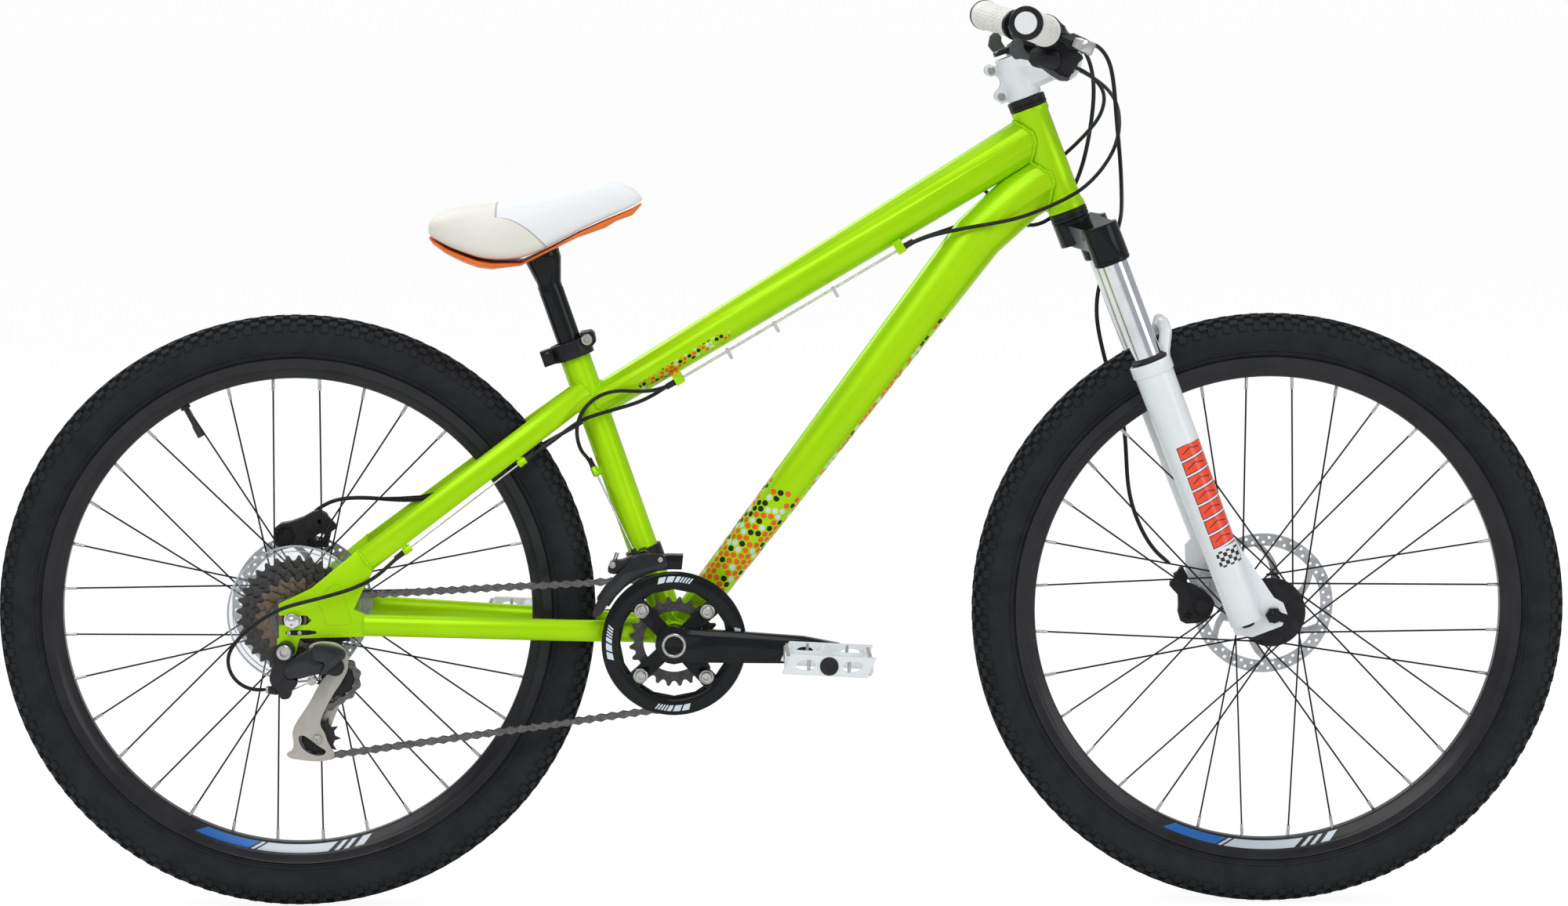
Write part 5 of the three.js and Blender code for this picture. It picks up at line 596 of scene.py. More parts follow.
for wheel, axle in wheel_axles.items():
    flange, right, left, shell, width, rotor_place = hubs[wheel]
    spokes, nipples = [], []
    step = 2 * math.pi / spoke_pairs
    for ring, flange_y in enumerate((-right * mm, left * mm)):
        for half, way in enumerate((1, -1)):
            hole = (half + ring / 2) * step + spoke_turn
            lean = way * 0.0026
            start = wheel_point(axle, flange * mm - 0.0045, hole, flange_y + lean)
            end = wheel_point(axle, 0.2645, hole + way * 3 * step, lean / 2)
            neck = end + (start - end).normalized() * nipple_length
            for bars, first, last, radius in (
                    (spokes, start, end, spoke_radius), (nipples, neck, end, nipple_radius),
                    (spokes, start - across * lean * 0.8, start + across * lean * 0.5, nipple_radius)):
                bars.append(ringed(rod(first, last, radius, 8), spoke_pairs // 2, axle))
    fitted(wheel + "_spokes", spokes, wheel + "_wheel", "black_alloy", black_spoke, 60, [wheel + "_spoked_hub"])
    fitted(wheel + "_nipples", nipples, wheel + "_wheel", "silver_steel", nickel, 60)
    profile = [-width / 2, 5.5, -width / 2, 9.5]
    profile += ([-width / 2, 15, -right - 6, 15] if wheel == "rear" else [-right - 9, 10.5, -right - 5, shell])
    profile += [
        -right - 4, flange - 10, -right - 2.2, flange - 2, -right - 1.4, flange, -right + 1.4, flange,
        -right + 2.2, flange - 2, -right + 5, shell + 4, -right + 9, shell, left - 9, shell, left - 5, shell + 4,
        left - 2.2, 28, left - 1.4, 30, left + 1.4, 30, left + 2.2, 28, left + 4.5, 22,
        rotor_place - 1.3, 22, rotor_place - 1.3, 10, width / 2, 9.5, width / 2, 5.5]
    fitted(wheel + "_hub_barrel", turned(axle, across, profile), wheel + "_wheel", "black_alloy", black_anodised)

# Axles
# Solid steel axles with a washer and a cap nut on each side, drawn up against the slots of the frame
# and the fork. The rear ones are chromed and the front ones are black.
sides = {"right": -1, "left": 1}
axle_bodies = {"rear": "frame", "front": "fork_slider"}
nut_height = 11.2
chrome = finish("chrome_plate", (0.78, 0.79, 0.80), (0.66, 0.67, 0.69), 0.08, metallic=1, cloud_scale=40,
                grain_height=0.01)
gloss_black = finish("gloss_black_paint", (0.005, 0.006, 0.007), (0.010, 0.011, 0.012), 0.14,
                     specular_ior_level=0.1, coat_weight=0.2, coat_roughness=0.03, cloud_scale=25, grain_height=0.0)


def cap_nut(seat, out, radius, height):
    """A washer and a domed nut with six flats, seated at a place and pointing outwards."""
    washer = turned(seat, out, [0, 0.1, 0, radius * 1.12, 1.4, radius * 1.12, 1.4, 0.1], 40)
    flats = turned(seat + out * 0.0014, out, [
        0, 0.1, 0, radius, height * 0.52, radius, height * 0.6, radius * 0.9, height * 0.6, 0.1], 6)
    dome = turned(seat + out * 0.0014, out, [
        height * 0.5, 0.1, height * 0.5, radius * 0.8, height * 0.78, radius * 0.72,
        height * 0.94, radius * 0.45, height, radius * 0.12, height, 0.1], 32)
    return [washer, flats, dome]


for wheel, look, slot, radius, end in (("rear", chrome, "silver_steel", 8.8, 0.0818),
                                       ("front", gloss_black, "black_alloy", 9.4, 0.0643)):
    dressed(wheel + "_axle", slot, look, 30, 0.0003)
    for word, side in sides.items():
        nut = cap_nut(wheel_axles[wheel] + across * side * (end - 0.0115), across * side, radius, nut_height)
        fitted(f"{wheel}_{word}_axle_nut", nut, axle_bodies[wheel], slot, look)

# Disc brakes
# Stainless rotors cut with swept arms and two staggered rows of round holes, each bolted to its hub by
# six screws. The calipers are cast alloy, painted black, with a pad adjuster and a hose joint.
rotor_radius, rotor_band, rotor_half = 80, 14, 1
rotor_holes, rotor_arms = 36, 6
rotor_boss = 0.0205
shares = [index / 5 for index in range(6)]
brushed_steel = finish("brushed_steel", (0.46, 0.47, 0.48), (0.60, 0.61, 0.62), 0.3, metallic=1, cloud_scale=90,
                       grain_scale=2600, grain_height=0.12)
cast_black = finish("cast_black", (0.014, 0.014, 0.015), (0.03, 0.03, 0.031), 0.46, metallic=0.2, cloud_scale=70,
                    grain_scale=1800, grain_height=0.25)


def lofted(rings):
    """A skin over a row of rings that have the same number of points, closed at both ends."""
    around = len(rings[0])
    piece = added(bpy.ops.mesh.primitive_grid_add, x_subdivisions=around, y_subdivisions=len(rings) - 1, size=1)
    for index, vertex in enumerate(piece.data.vertices):
        row, place = divmod(index, around + 1)
        vertex.co = rings[row][place % around]
    with editing(piece):
        bpy.ops.mesh.remove_doubles(threshold=0.000002)
        bpy.ops.mesh.select_all(action="DESELECT")
        bpy.ops.mesh.select_mode(type="EDGE")
        bpy.ops.mesh.select_non_manifold(extend=False)
        bpy.ops.mesh.fill_holes(sides=0)
        bpy.ops.mesh.select_all(action="SELECT")
        bpy.ops.mesh.normals_make_consistent(inside=False)
    return piece


def spots(*numbers):
    """Points seen from the side, from a flat row of tenths of a millimetre."""
    return pairs(numbers, 0.0001)


def plated(outline, low, high, edge=0.0):
    """A flat plate square to the wheels, from an outline seen from the side, between two depths."""
    piece = lofted([[Vector((x, y, z)) for x, z in outline] for y in (low, high)])
    return bevelled(piece, edge, 40) if edge else piece


def socket_screw(seat, out, radius):
    """The head of a socket screw with its recess; the radius is in millimetres."""
    return turned(seat, out, [0, 0.1, 0, radius, radius * 0.85, radius, radius, radius * 0.88,
                              radius, radius * 0.55, radius * 0.35, radius * 0.5, radius * 0.35, 0.1], 24)


def pierced(piece, tool):
    """Cuts a tool's shape out of a piece and throws the tool away."""
    apply_modifier(piece, "BOOLEAN", object=tool, operation="DIFFERENCE", solver="EXACT")
    bpy.data.objects.remove(tool, do_unlink=True)
    return piece


for wheel, axle in wheel_axles.items():
    place = hubs[wheel][5]
    back, front = place - rotor_half, place + rotor_half
    low, high = back * mm, front * mm
    rim, edge = rotor_radius * mm, (rotor_radius - rotor_band) * mm
    band = turned(axle, across, [back, rotor_radius - rotor_band, back, rotor_radius, front, rotor_radius,
                                 front, rotor_radius - rotor_band], 144)
    rows = [ringed(rod(axle + Vector((radius, low - 0.001, 0)), axle + Vector((radius, high + 0.001, 0)), 0.0019, 10),
                   rotor_holes, axle) for radius in (rim - 0.0098, rim - 0.0044)]
    swung(rows[1], axle, math.pi / rotor_holes)
    pierced(band, joined("holes", rows))
    arm_outline = []
    for half_width, row in ((-0.0052, shares), (0.0044, shares[::-1])):
        for share in row:
            radius = rotor_boss + (edge + 0.001 - rotor_boss) * share
            point = wheel_point(axle, radius, 0.62 * share ** 1.3 + half_width / radius, 0)
            arm_outline.append((point.x, point.z))
    arms = ringed(plated(arm_outline, low, high), rotor_arms, axle)
    boss = turned(axle, across, [back, 17.2, back, 22.5, front, 22.5, front, 17.2])
    fitted(wheel + "_rotor_plate", [band, arms, boss], wheel + "_wheel", "silver_steel", brushed_steel, 30,
           [wheel + "_rotor"])
    screw = turned(axle + Vector((rotor_boss, high, 0)), across, [0, 0.1, 0, 3.2, 1.8, 3.2, 2.4, 2.4, 2.4, 0.1], 16)
    fitted(wheel + "_rotor_screws", ringed(screw, rotor_arms, axle), wheel + "_wheel", "black_alloy", black_anodised,
           35)

calipers = {  # outline of the near half, outline of the far half, depths of both halves, adjuster, bolts
    "rear": (
        spots(-5789, 4243, -5727, 4294, -5614, 4315, -5470, 4366, -5346, 4438, -5285, 4448, -5202, 4407, -5079, 4274,
              -5099, 4232, -5141, 4202, -5161, 4119, -5182, 4027, -5305, 4020, -5449, 4037, -5573, 4037, -5655, 4016,
              -5707, 4027, -5779, 4047, -5795, 4140),
        spots(-5775, 4243, -5727, 4285, -5614, 4305, -5470, 4356, -5346, 4425, -5285, 4435, -5202, 4390, -5141, 4215,
              -5290, 4172, -5485, 4194, -5660, 4176, -5765, 4150),
        (0.0385, 0.0482, 0.0538, 0.0655), (-0.5665, 0.4165), [(-0.5720, 0.4225), (-0.5390, 0.4100)]),
    "front": (
        spots(4445, 3527, 4501, 3471, 4509, 3375, 4501, 3279, 4533, 3168, 4596, 3136, 4740, 3144, 4852, 3184,
              4900, 3279, 4924, 3375, 4884, 3439, 4804, 3519, 4692, 3583, 4600, 3614, 4615, 3678, 4556, 3798,
              4517, 3782, 4501, 3742, 4445, 3710, 4469, 3662, 4413, 3630, 4405, 3575),
        spots(4460, 3520, 4520, 3471, 4524, 3279, 4550, 3180, 4596, 3150, 4650, 3210, 4646, 3360, 4655, 3500,
              4620, 3570, 4540, 3600),
        (0.0252, 0.0345, 0.0395, 0.0505), (0.4780, 0.3335), [(0.4620, 0.3216), (0.4525, 0.3740)]),
}
rear_windows = [
    spots(-5342, 4136, -5295, 4171, -5233, 4202, -5219, 4171, -5244, 4109, -5316, 4088),
    spots(-5301, 4341, -5264, 4350, -5248, 4309, -5285, 4288),
]
for wheel, (near_outline, far_outline, depths, (x, z), bolts) in calipers.items():
    body, (near_face, near_back, far_face, far_back) = axle_bodies[wheel], depths
    near_half = plated(near_outline, near_face, near_back, 0.0014)
    for window in rear_windows if wheel == "rear" else []:
        pierced(near_half, plated(window, near_face - 0.001, near_back + 0.001))
    far_half = plated(far_outline, far_face, far_back, 0.0014)
    bridge = plated(far_outline, near_back - 0.001, far_face + 0.001)
    fitted(wheel + "_caliper_body", [near_half, far_half, bridge], body, "black_plastic", cast_black, 32,
           [wheel + "_brake_caliper"])
    knob = turned((x, near_face + 0.0004, z), -across, [
        0, 0.1, 0, 10.8, 1.2, 10.8, 1.6, 10, 1.4, 8.6, 0.6, 7.8, 0.6, 0.1], 40)
    notch = block((x + 0.0101, near_face - 0.0008, z), (0.0022, 0.0020, 0.0034), 0.0004)
    fitted(wheel + "_pad_adjuster", [knob, ringed(notch, 12, Vector((x, 0, z)))], body, "black_plastic",
           black_anodised)
    fitted(wheel + "_caliper_bolts", [socket_screw((u, near_face, w), -across, 3.8) for u, w in bolts], body,
           "black_alloy", black_anodised)

# Headset, stem and handlebar
# Black cups pressed into the head tube, a white cast stem with a slotted clamp at each end, and a
# gloss black riser bar. The stem's cap is black and its socket screws are plain steel.
steer_foot = Vector((0.3189, 0, 0.7888))
steer_up = Vector((-0.35511, 0, 0.93483))
steer_forward = Vector((0.93483, 0, 0.35511))
stem_cap_foot = 0.1893
ear_depth = 0.0175
white_paint = finish("white_paint", (0.76, 0.79, 0.80), (0.80, 0.83, 0.84), 0.24, coat_weight=0.5,
                     coat_roughness=0.06, cloud_scale=18, grain_height=0.02)


def steered(forward, y, up):
    """A place given along, across and up the steering axis from the foot of the head tube."""
    return steer_foot + steer_forward * forward + Vector((0, y, 0)) + steer_up * up


for cup in ("headset_lower_cup", "headset_upper_cup"):
    dressed(cup, "black_alloy", black_anodised, 40, 0.0008)
for body, low, length in (("steering", -0.0115, 11.1), ("frame", 0.1230, 11.2)):
    fitted("headset_sleeve", turned(steered(0, 0, low), steer_up, [
        0, 19, 0, 20.6, 0.8, 21.7, 3.6, 21.7, 4.2, 20.6, 5, 20.6, 5.6, 21.7, length - 1, 21.7, length, 20.4,
        length, 19]), body, "black_alloy", black_anodised)
stem = dressed("stem", "white_paint", white_paint, 34, 0.0011)
pierced(stem, turned((0.2336, -0.05, 0.9305), across, [0, 0.1, 0, 9.4, 100, 9.4, 100, 0.1], 40))
dressed("handlebar", "black_paint", gloss_black, 60, 0)
fitted("stem_top_cap", turned(steered(0, 0, stem_cap_foot), steer_up, [
    0, 0.1, 0, 16.8, 4.2, 16.8, 5.8, 15, 5.8, 5.2, 3.8, 4.4, 3.8, 0.1], 48), "steering", "black_alloy", gloss_black)
ears, ear_screws = [], []
for x, z in spots(2317, 9452, 2432, 9164):
    ears.append(turned((x, -ear_depth, z), across, [0, 0.1, 0, 5.8, 1, 6.6, 34, 6.6, 35, 5.8, 35, 0.1], 32))
    ear_screws += [socket_screw((x, ear_depth * side, z), across * side, 4.6) for side in sides.values()]
fitted("stem_ears", ears, "steering", "white_paint", white_paint)
fitted("stem_screws", ear_screws, "steering", "silver_steel", nickel)

# Fork
# A forged crown and chromed steel stanchions over cast magnesium lowers. The crown is gloss black, and
# the lowers are white with a black dust seal on each leg. A block of warm colours marks each leg.
leg_forward, leg_y = 0.023, 0.064
crown_foot_up, seal_up, leg_foot_up = -0.075, -0.186, -0.500
mark_top, mark_foot = 0.285, 0.408
mark_rear, mark_front = -0.0078, 0.0230
mark_red, mark_dark = (0.90, 0.07, 0.025), (0.02, 0.015, 0.015)
mark_pitch, check_size = 0.0176, 0.0046
rubber_black = finish("seal_rubber", (0.016, 0.016, 0.017), (0.03, 0.03, 0.03), 0.55, cloud_scale=60,
                      grain_scale=1600, grain_height=0.1)


def leg_marks(material):
    """Red bars with dark edges and arrow shapes down the outer side of each leg, and dark checks below."""
    _, y, _, ahead, down = placed(material.node_tree, steered(leg_forward, 0, 0), (steer_forward, -steer_up))
    within = (y.maths("ABSOLUTE") > leg_y + 0.001) * ahead.between(mark_rear, mark_front)
    part = ((down - mark_top) / mark_pitch + ahead * 7).maths("FRACT")
    bars = within * down.between(mark_top, mark_foot) * (part < 0.88)
    edge = ((part - 0.44).maths("ABSOLUTE") > 0.385) | (ahead < mark_rear + 0.0009)
    bend = (ahead - 0.0065).maths("ABSOLUTE")
    arrow = ((part - 0.30 - bend * 22).maths("ABSOLUTE") < 0.035) * (bend < 0.010)
    checks = ((down / check_size).maths("FLOOR") + (ahead / check_size).maths("FLOOR")) % 2 < 0.5
    checks = checks * within * down.between(mark_foot + 0.0035, mark_foot + 0.0220)
    marked(material, mark_red, bars)
    marked(material, mark_dark, bars * (edge | arrow) | checks)
    return material


leg_paint = leg_marks(twinned(white_paint, "leg_white"))
with editing(dressed("fork_crown", "black_paint", gloss_black, 34, 0.0012)):
    bpy.ops.mesh.bisect(plane_co=steered(0, 0, crown_foot_up), plane_no=steer_up, clear_inner=True, use_fill=True)
dressed("fork_lowers", "white_paint", leg_paint, 40, 0.0018)
for name, up, body, slot, look, degrees, steps, profile in (
        ("_stanchion", -0.062, "steering", "chrome_steel", chrome, 30, 64,
         [0, 0.1, 0, 16, 236, 16, 238, 14.6, 238, 0.1]),
        ("_crown_socket", -0.0245, "steering", "black_paint", gloss_black, 30, 64,
         [0, 0.1, 0, 18.8, 2.2, 20.4, 37, 20.7, 38.5, 20.2, 40, 20.7, 42.4, 20.5, 44, 19.2, 44.5, 16.4, 42, 16.2,
          42, 0.1]),
        ("_dust_seal", seal_up + 0.0062, "fork_slider", "black_plastic", rubber_black, 30, 64,
         [0, 16.3, 0, 17.2, 2, 18.6, 3, 20.4, 4.8, 20.8, 5.6, 19.6, 7, 20, 8.5, 21, 8.5, 16.3]),
        ("_leg_sleeve", seal_up, "fork_slider", "white_paint", leg_paint, 24, 64,
         [0, 17.2, 0, 22.8, 1, 23.9, 12.8, 23.9, 14.2, 23.4, 15.2, 22.2, 23, 22, 100, 21.3, 218, 19.5, 290, 19.4,
          303, 18.6, 311, 16.5, 315, 12, 316, 6, 316, 0.1]),
        ("_foot_nut", leg_foot_up - 0.0008, "fork_slider", "black_alloy", black_anodised, 30, 24,
         [0, 0.1, 0, 7.4, 3.8, 7.2, 4.6, 6, 4.6, 3, 3, 2.8, 3, 0.1])):
    for word, side in sides.items():
        part = turned(steered(leg_forward, side * leg_y, up), -steer_up, profile, steps)
        fitted(word + name, part, body, slot, look, degrees)

# Grips
# Ivory rubber sleeves with rows of shallow pads, a black locking ring at the inner end and a white plug
# pressed into the end of the bar.
grip_start, grip_end = (0.2776, 0.2036, 0.9926), (0.2450, 0.3393, 1.0036)  # on the left side
grip_radius = 0.0161
pads_round, pad_rows = 14, 13
ivory_rubber = finish("ivory_rubber", (0.82, 0.80, 0.73), (0.86, 0.84, 0.78), 0.56, cloud_scale=60,
                      grain_scale=1500, grain_height=0.14, subsurface_weight=0.06)
white_moulded = finish("white_moulded", (0.76, 0.76, 0.75), (0.80, 0.80, 0.79), 0.38, cloud_scale=30,
                       grain_scale=1400, grain_height=0.05)
for word, side in sides.items():
    start, end = [Vector((x, side * y, z)) for x, y, z in (grip_start, grip_end)]
    line = (end - start).normalized()
    parts = [turned(start, line, [7.5, 11.8, 7.5, 17.2, 10.5, 17.4, 12.5, 16.1, 50, 15.7, 80, 16.4, 118, 16,
                                  123.5, 17, 129, 17.6, 132.5, 17.2, 133, 11.8])]
    for row in range(pad_rows):
        pad = block((0, 0, 0), (0.0046, 0.0014, 0.0062), 0.0004)
        pad.data.transform(Matrix.Rotation(math.pi / pads_round * (row % 2), 4, "Z")
                           @ Matrix.Translation((0, grip_radius - 0.0001, 0.0185 + row * 0.0079)))
        parts.append(ringed(aimed(pad, start, line), pads_round, start, line))
    fitted(word + "_grip_rubber", parts, "steering", "grip_rubber", ivory_rubber, 34, [word + "_grip"])
    for name, slot, look, steps, profile in (
            ("_grip_ring", "black_alloy", black_anodised, 64,
             [0, 11.4, 0, 17.2, 0.8, 18.2, 2.6, 18.2, 3, 17.6, 3.6, 17.6, 4, 18.2, 6.6, 18.2, 7.4, 17.3, 7.4, 11.4]),
            ("_grip_end_ring", "black_alloy", black_anodised, 64,
             [129, 12, 129, 17.4, 130, 18, 134, 18, 135.2, 17.2, 135.2, 12]),
            ("_grip_plug", "white_plastic", white_moulded, 48,
             [130, 0.1, 130, 12.4, 134.6, 12.4, 135.2, 11.8, 135.2, 0.1])):
        fitted(word + name, turned(start, line, profile, steps), "steering", slot, look)

# Brake levers and gear controls
# Cast black clamps and fluid bodies with bright forged blades on steel pins, and moulded black gear
# pods below them, each with a grey thumb lever.
polished_alloy = finish("polished_alloy", (0.70, 0.70, 0.70), (0.60, 0.60, 0.61), 0.2, metallic=1, cloud_scale=60,
                        grain_scale=2200, grain_height=0.05)
grey_moulded = finish("grey_moulded", (0.055, 0.062, 0.058), (0.08, 0.088, 0.082), 0.42, cloud_scale=50,
                      grain_scale=1800, grain_height=0.12)
black_moulded = finish("black_moulded", (0.016, 0.016, 0.017), (0.028, 0.028, 0.03), 0.42, cloud_scale=60,
                       grain_scale=2000, grain_height=0.12)
dressed("right_shifter", "black_plastic", black_moulded, 36, 0.0016)
paddle_outline = spots(
    2425, 9805, 2467, 9848, 2524, 9841, 2560, 9798, 2560, 9748, 2595, 9691, 2666, 9649, 2780, 9592, 2880, 9506,
    2951, 9450, 3036, 9421, 3072, 9404, 3036, 9376, 2951, 9386, 2865, 9435, 2780, 9499, 2695, 9563, 2609, 9606,
    2524, 9620, 2467, 9613, 2403, 9691)
pod_outline = spots(
    2664, 9807, 2742, 9729, 2693, 9666, 2785, 9609, 2799, 9510, 2913, 9420, 2998, 9395, 3062, 9410, 3111, 9495,
    3168, 9580, 3218, 9623, 3196, 9666, 3097, 9722, 3026, 9822, 2941, 9935, 2870, 9864, 2771, 9814)
for word, side in sides.items():
    dressed(word + "_brake_body", "black_paint", gloss_black, 36, 0.0009)
    dressed(word + "_brake_lever", "silver_steel", polished_alloy, 40, 0.0016)
    lever = word + "_thumb_lever"
    for name, outline, near, far, body, slot, look, replaced in (
            ("_thumb_paddle", paddle_outline, 0.1755, 0.1700, lever, "grey_plastic", grey_moulded, [lever]),
            ("_gear_pod", pod_outline, 0.1695, 0.1500, "steering", "black_plastic", black_moulded, [])):
        part = plated(outline, *sorted((side * near, side * far)), 0.0016)
        fitted(word + name, part, body, slot, look, 50, replaced)

# Seatpost and clamp
# A gloss black alloy post that flares into its head, held by a black collar with one bolt across
# the slot behind the tube.
seat_foot = Vector((-0.124, 0, 0.306))
seat_up = Vector((-0.33051, 0, 0.94380))
dressed("seatpost", "black_paint", gloss_black, 40, 0.001)
dressed("seat_clamp", "black_alloy", black_anodised, 36, 0.0009)
fitted("clamp_ear", plated(spots(
    -2295, 6517, -2170, 6538, -2133, 6510, -2111, 6414, -2148, 6370, -2244, 6341), -0.0150, 0.0150, 0.0010),
    "frame", "black_alloy", black_anodised)
fitted("clamp_bolt", socket_screw((-0.2215, -0.0150, 0.6443), -across, 6.4), "frame", "silver_steel", nickel)
fitted("seatpost_sleeve", turned(seat_foot + seat_up * 0.230, seat_up, [
    0, 0.1, 0, 13.7, 176, 13.7, 186, 13.9, 190, 0.1], 56), "seat", "black_paint", gloss_black)

# Saddle
# A foam pad on an orange moulded base. The front is white and the rear ivory, with the seam running
# down each side in a curve.
saddle_rear, saddle_nose = -0.397, -0.160
saddle_base = 0.721
saddle_rise = 0.098
saddle_width = 0.134
saddle_overhang = 0.004
cushion_grow = 0.0016
stations = [  # share of the length, of the rise at the crown, of the rise at the edge, of the half width
    (0, 0.54, 0.4, 0.38), (0.021, 0.61, 0.367, 0.64), (0.089, 0.685, 0.276, 0.87), (0.165, 0.715, 0.204, 0.97),
    (0.236, 0.735, 0.143, 1), (0.3, 0.755, 0.117, 0.98), (0.435, 0.796, 0.112, 0.82), (0.565, 0.837, 0.265, 0.58),
    (0.7, 0.908, 0.439, 0.42), (0.831, 0.969, 0.582, 0.34), (0.882, 1, 0.633, 0.32), (0.958, 0.944, 0.714, 0.24),
    (1, 0.82, 0.776, 0.1),
]
left_shares = [  # share of the half width, share of the drop from the crown to the edge
    (0.32, 0.0), (0.66, 0.05), (0.90, 0.20), (1.0, 0.44), (0.97, 0.72), (0.89, 0.97), (0.5, 1.0)]
ring_shares = [(0, -0.012), *left_shares, (0, 1.0), *[(-out, drop) for out, drop in left_shares[::-1]]]
seam_top = Vector((-0.321, 0, 0.784))
seam_sweep = 0.297
seam_half = 0.0016
seam_dark = (0.12, 0.11, 0.09)

rings = []
for station, top, edge, half in stations:
    x = saddle_rear + (saddle_nose - saddle_rear) * station
    crown_z = saddle_base + saddle_rise * top
    edge_z = saddle_base + saddle_rise * edge + saddle_overhang
    wide = saddle_width / 2 * half
    rings.append([Vector((x, wide * out, crown_z + (edge_z - crown_z) * drop)) for out, drop in ring_shares])
cushion = apply_modifier(lofted(rings), "SUBSURF", levels=3, render_levels=3)
apply_modifier(cushion, "DISPLACE", strength=cushion_grow, mid_level=0)
saddle_skin = finish("saddle_skin", (0.80, 0.77, 0.68), (0.84, 0.81, 0.73), 0.5, cloud_scale=22,
                     grain_scale=1300, grain_height=0.22, sheen_weight=0.1)
orange_moulded = finish("orange_moulded", (0.85, 0.16, 0.02), (0.90, 0.22, 0.03), 0.34, cloud_scale=35,
                        grain_scale=1500, grain_height=0.08)


def seamed(material, second):
    """Colours the skin ahead of the curved seam and presses a stitched groove along it."""
    tree = material.node_tree
    x, _, z = placed(tree)
    drop = (Value(tree, seam_top.z) - z).maths("MAXIMUM", 0)
    ahead = x - (drop.maths("POWER", 0.5) * seam_sweep + seam_top.x)
    groove = Value(tree, 1).maths("SUBTRACT", ahead.maths("ABSOLUTE") / seam_half, True)
    marked(material, second, ahead > 0)
    marked(material, seam_dark, groove * 0.55)
    normal = tree.nodes["Principled BSDF"].inputs["Normal"]
    dent = wired(tree, "Bump", {"Height": groove, "Normal": normal.links[0].from_socket, "Strength": 0.7,
                                "Distance": 0.0012}, invert=True)
    tree.links.new(dent["Normal"], normal)


seamed(saddle_skin, (0.86, 0.87, 0.88))
fitted("saddle_cushion", cushion, "seat", "saddle_skin", saddle_skin, 60, ["saddle_cover"])
dressed("saddle_shell", "orange_shell", orange_moulded, 40, 0.0012)

# Cranks and bash guard
# Forged alloy arms in gloss black with a pinch bolt, and a four-armed guard of thick black plastic over
# the rings. Steel bolts go through the guard, the arms and both rings.
bracket_axis = Vector((-0.124, 0, 0.306))
guard_low = -0.0594
bolt_circle = 0.052
spindle_end = 0.0705
guard_white = (0.66, 0.74, 0.80)
for word in sides:
    dressed(word + "_crank_arm", "black_paint", gloss_black, 30, 0.0022)
dressed("bash_guard", "black_plastic", gloss_black, 36, 0.0009)


def guard_marks(material):
    """Four groups of slanted white bars round the face of the guard."""
    x, y, z = placed(material.node_tree, bracket_axis)
    radius = (x * x + z * z).maths("SQRT")
    turn = (z.maths("ARCTAN2", x) + math.pi / 4) % (math.pi / 2) - math.pi / 4
    slant = turn + (radius - 0.0730) * 7
    thin = ((slant / 0.045).maths("FRACT") < 0.55) * (slant < -0.09)
    wide = ((slant / 0.135).maths("FRACT") < 0.80) * (slant > -0.09)
    face = radius.between(0.0696, 0.0762) * slant.between(-0.27, 0.27) * (y < guard_low + 0.0006)
    marked(material, guard_white, (thin + wide) * face)
    return material


fitted("guard_ring", turned(bracket_axis, across, [
    -59.4, 64, -59.8, 65.2, -59.8, 78.6, -58.8, 80.6, -57.4, 81.2, -55.8, 81.2, -54.8, 80.4, -54.8, 64,
    -55.6, 63, -58.6, 63], 128), "crank", "black_plastic", guard_marks(twinned(gloss_black, "guard_black")))
bolts = []
for index in range(4):
    place = wheel_point(bracket_axis, bolt_circle, math.radians(44 + 90 * index), guard_low - 0.0006)
    bolts += [turned(place, -across, [0, 0.1, 0, 8.2, 1, 8.2, 1.6, 7.4, 1.6, 0.1], 40),
              socket_screw(place - across * 0.0014, -across, 6.2)]
fitted("guard_bolts", bolts, "crank", "silver_steel", nickel)
for name, slot, look, steps, profile in (
        ("spindle_rings", "silver_steel", nickel, 56,
         [0, 10.4, 0, 13.8, 4.2, 13.8, 5.2, 13, 5.2, 11.2, 4.4, 10.4]),
        ("spindle_plugs", "black_plastic", gloss_black, 48, [0, 0.1, 0, 10.6, 3.6, 10.6, 2.2, 7, 1.6, 0.1])):
    fitted(name, [turned(bracket_axis + out * spindle_end, out, profile, steps) for out in (-across, across)],
           "crank", slot, look)

# Chainrings, cassette and chain
# Stamped rings of 36 and 24 teeth, eight sprockets from 11 to 32 teeth on a splined body, and a half
# inch chain of riveted side plates. The large sprockets are black and the small ones bronze.
chain_pitch = 0.0127
roller_radius = 0.0039
cog_teeth = [11, 13, 15, 18, 21, 24, 28, 32]
cog_first_y = -0.0625
cog_step_y = 0.0048
cog_half = 0.0009
tooth_points = [  # share of the half pitch, height over the hollow's floor
    (-0.42, 0.0014), (-0.22, 0.0002), (0, 0), (0.22, 0.0002), (0.42, 0.0014)]
tip_points = [(0.78, -0.0004), (1.0, 0), (1.22, -0.0004)]  # and the same from the tooth's tip
chain_circles = [  # centre, teeth, way round, depth
    ((-0.5485, 0.336), 11, -1, -0.0625), ((-0.124, 0.306), 36, -1, -0.050),
    ((-0.52156, 0.20254), 11, -1, -0.0625), ((-0.4998, 0.268), 11, 1, -0.0625),
]
chain_links = 106
dark_steel = finish("dark_steel", (0.055, 0.054, 0.052), (0.10, 0.098, 0.094), 0.36, metallic=0.9,
                    cloud_scale=200, grain_scale=2400, grain_height=0.1)
bronze_steel = finish("bronze_steel", (0.16, 0.125, 0.085), (0.22, 0.18, 0.13), 0.36, metallic=0.95,
                      cloud_scale=150, grain_scale=2400, grain_height=0.1)
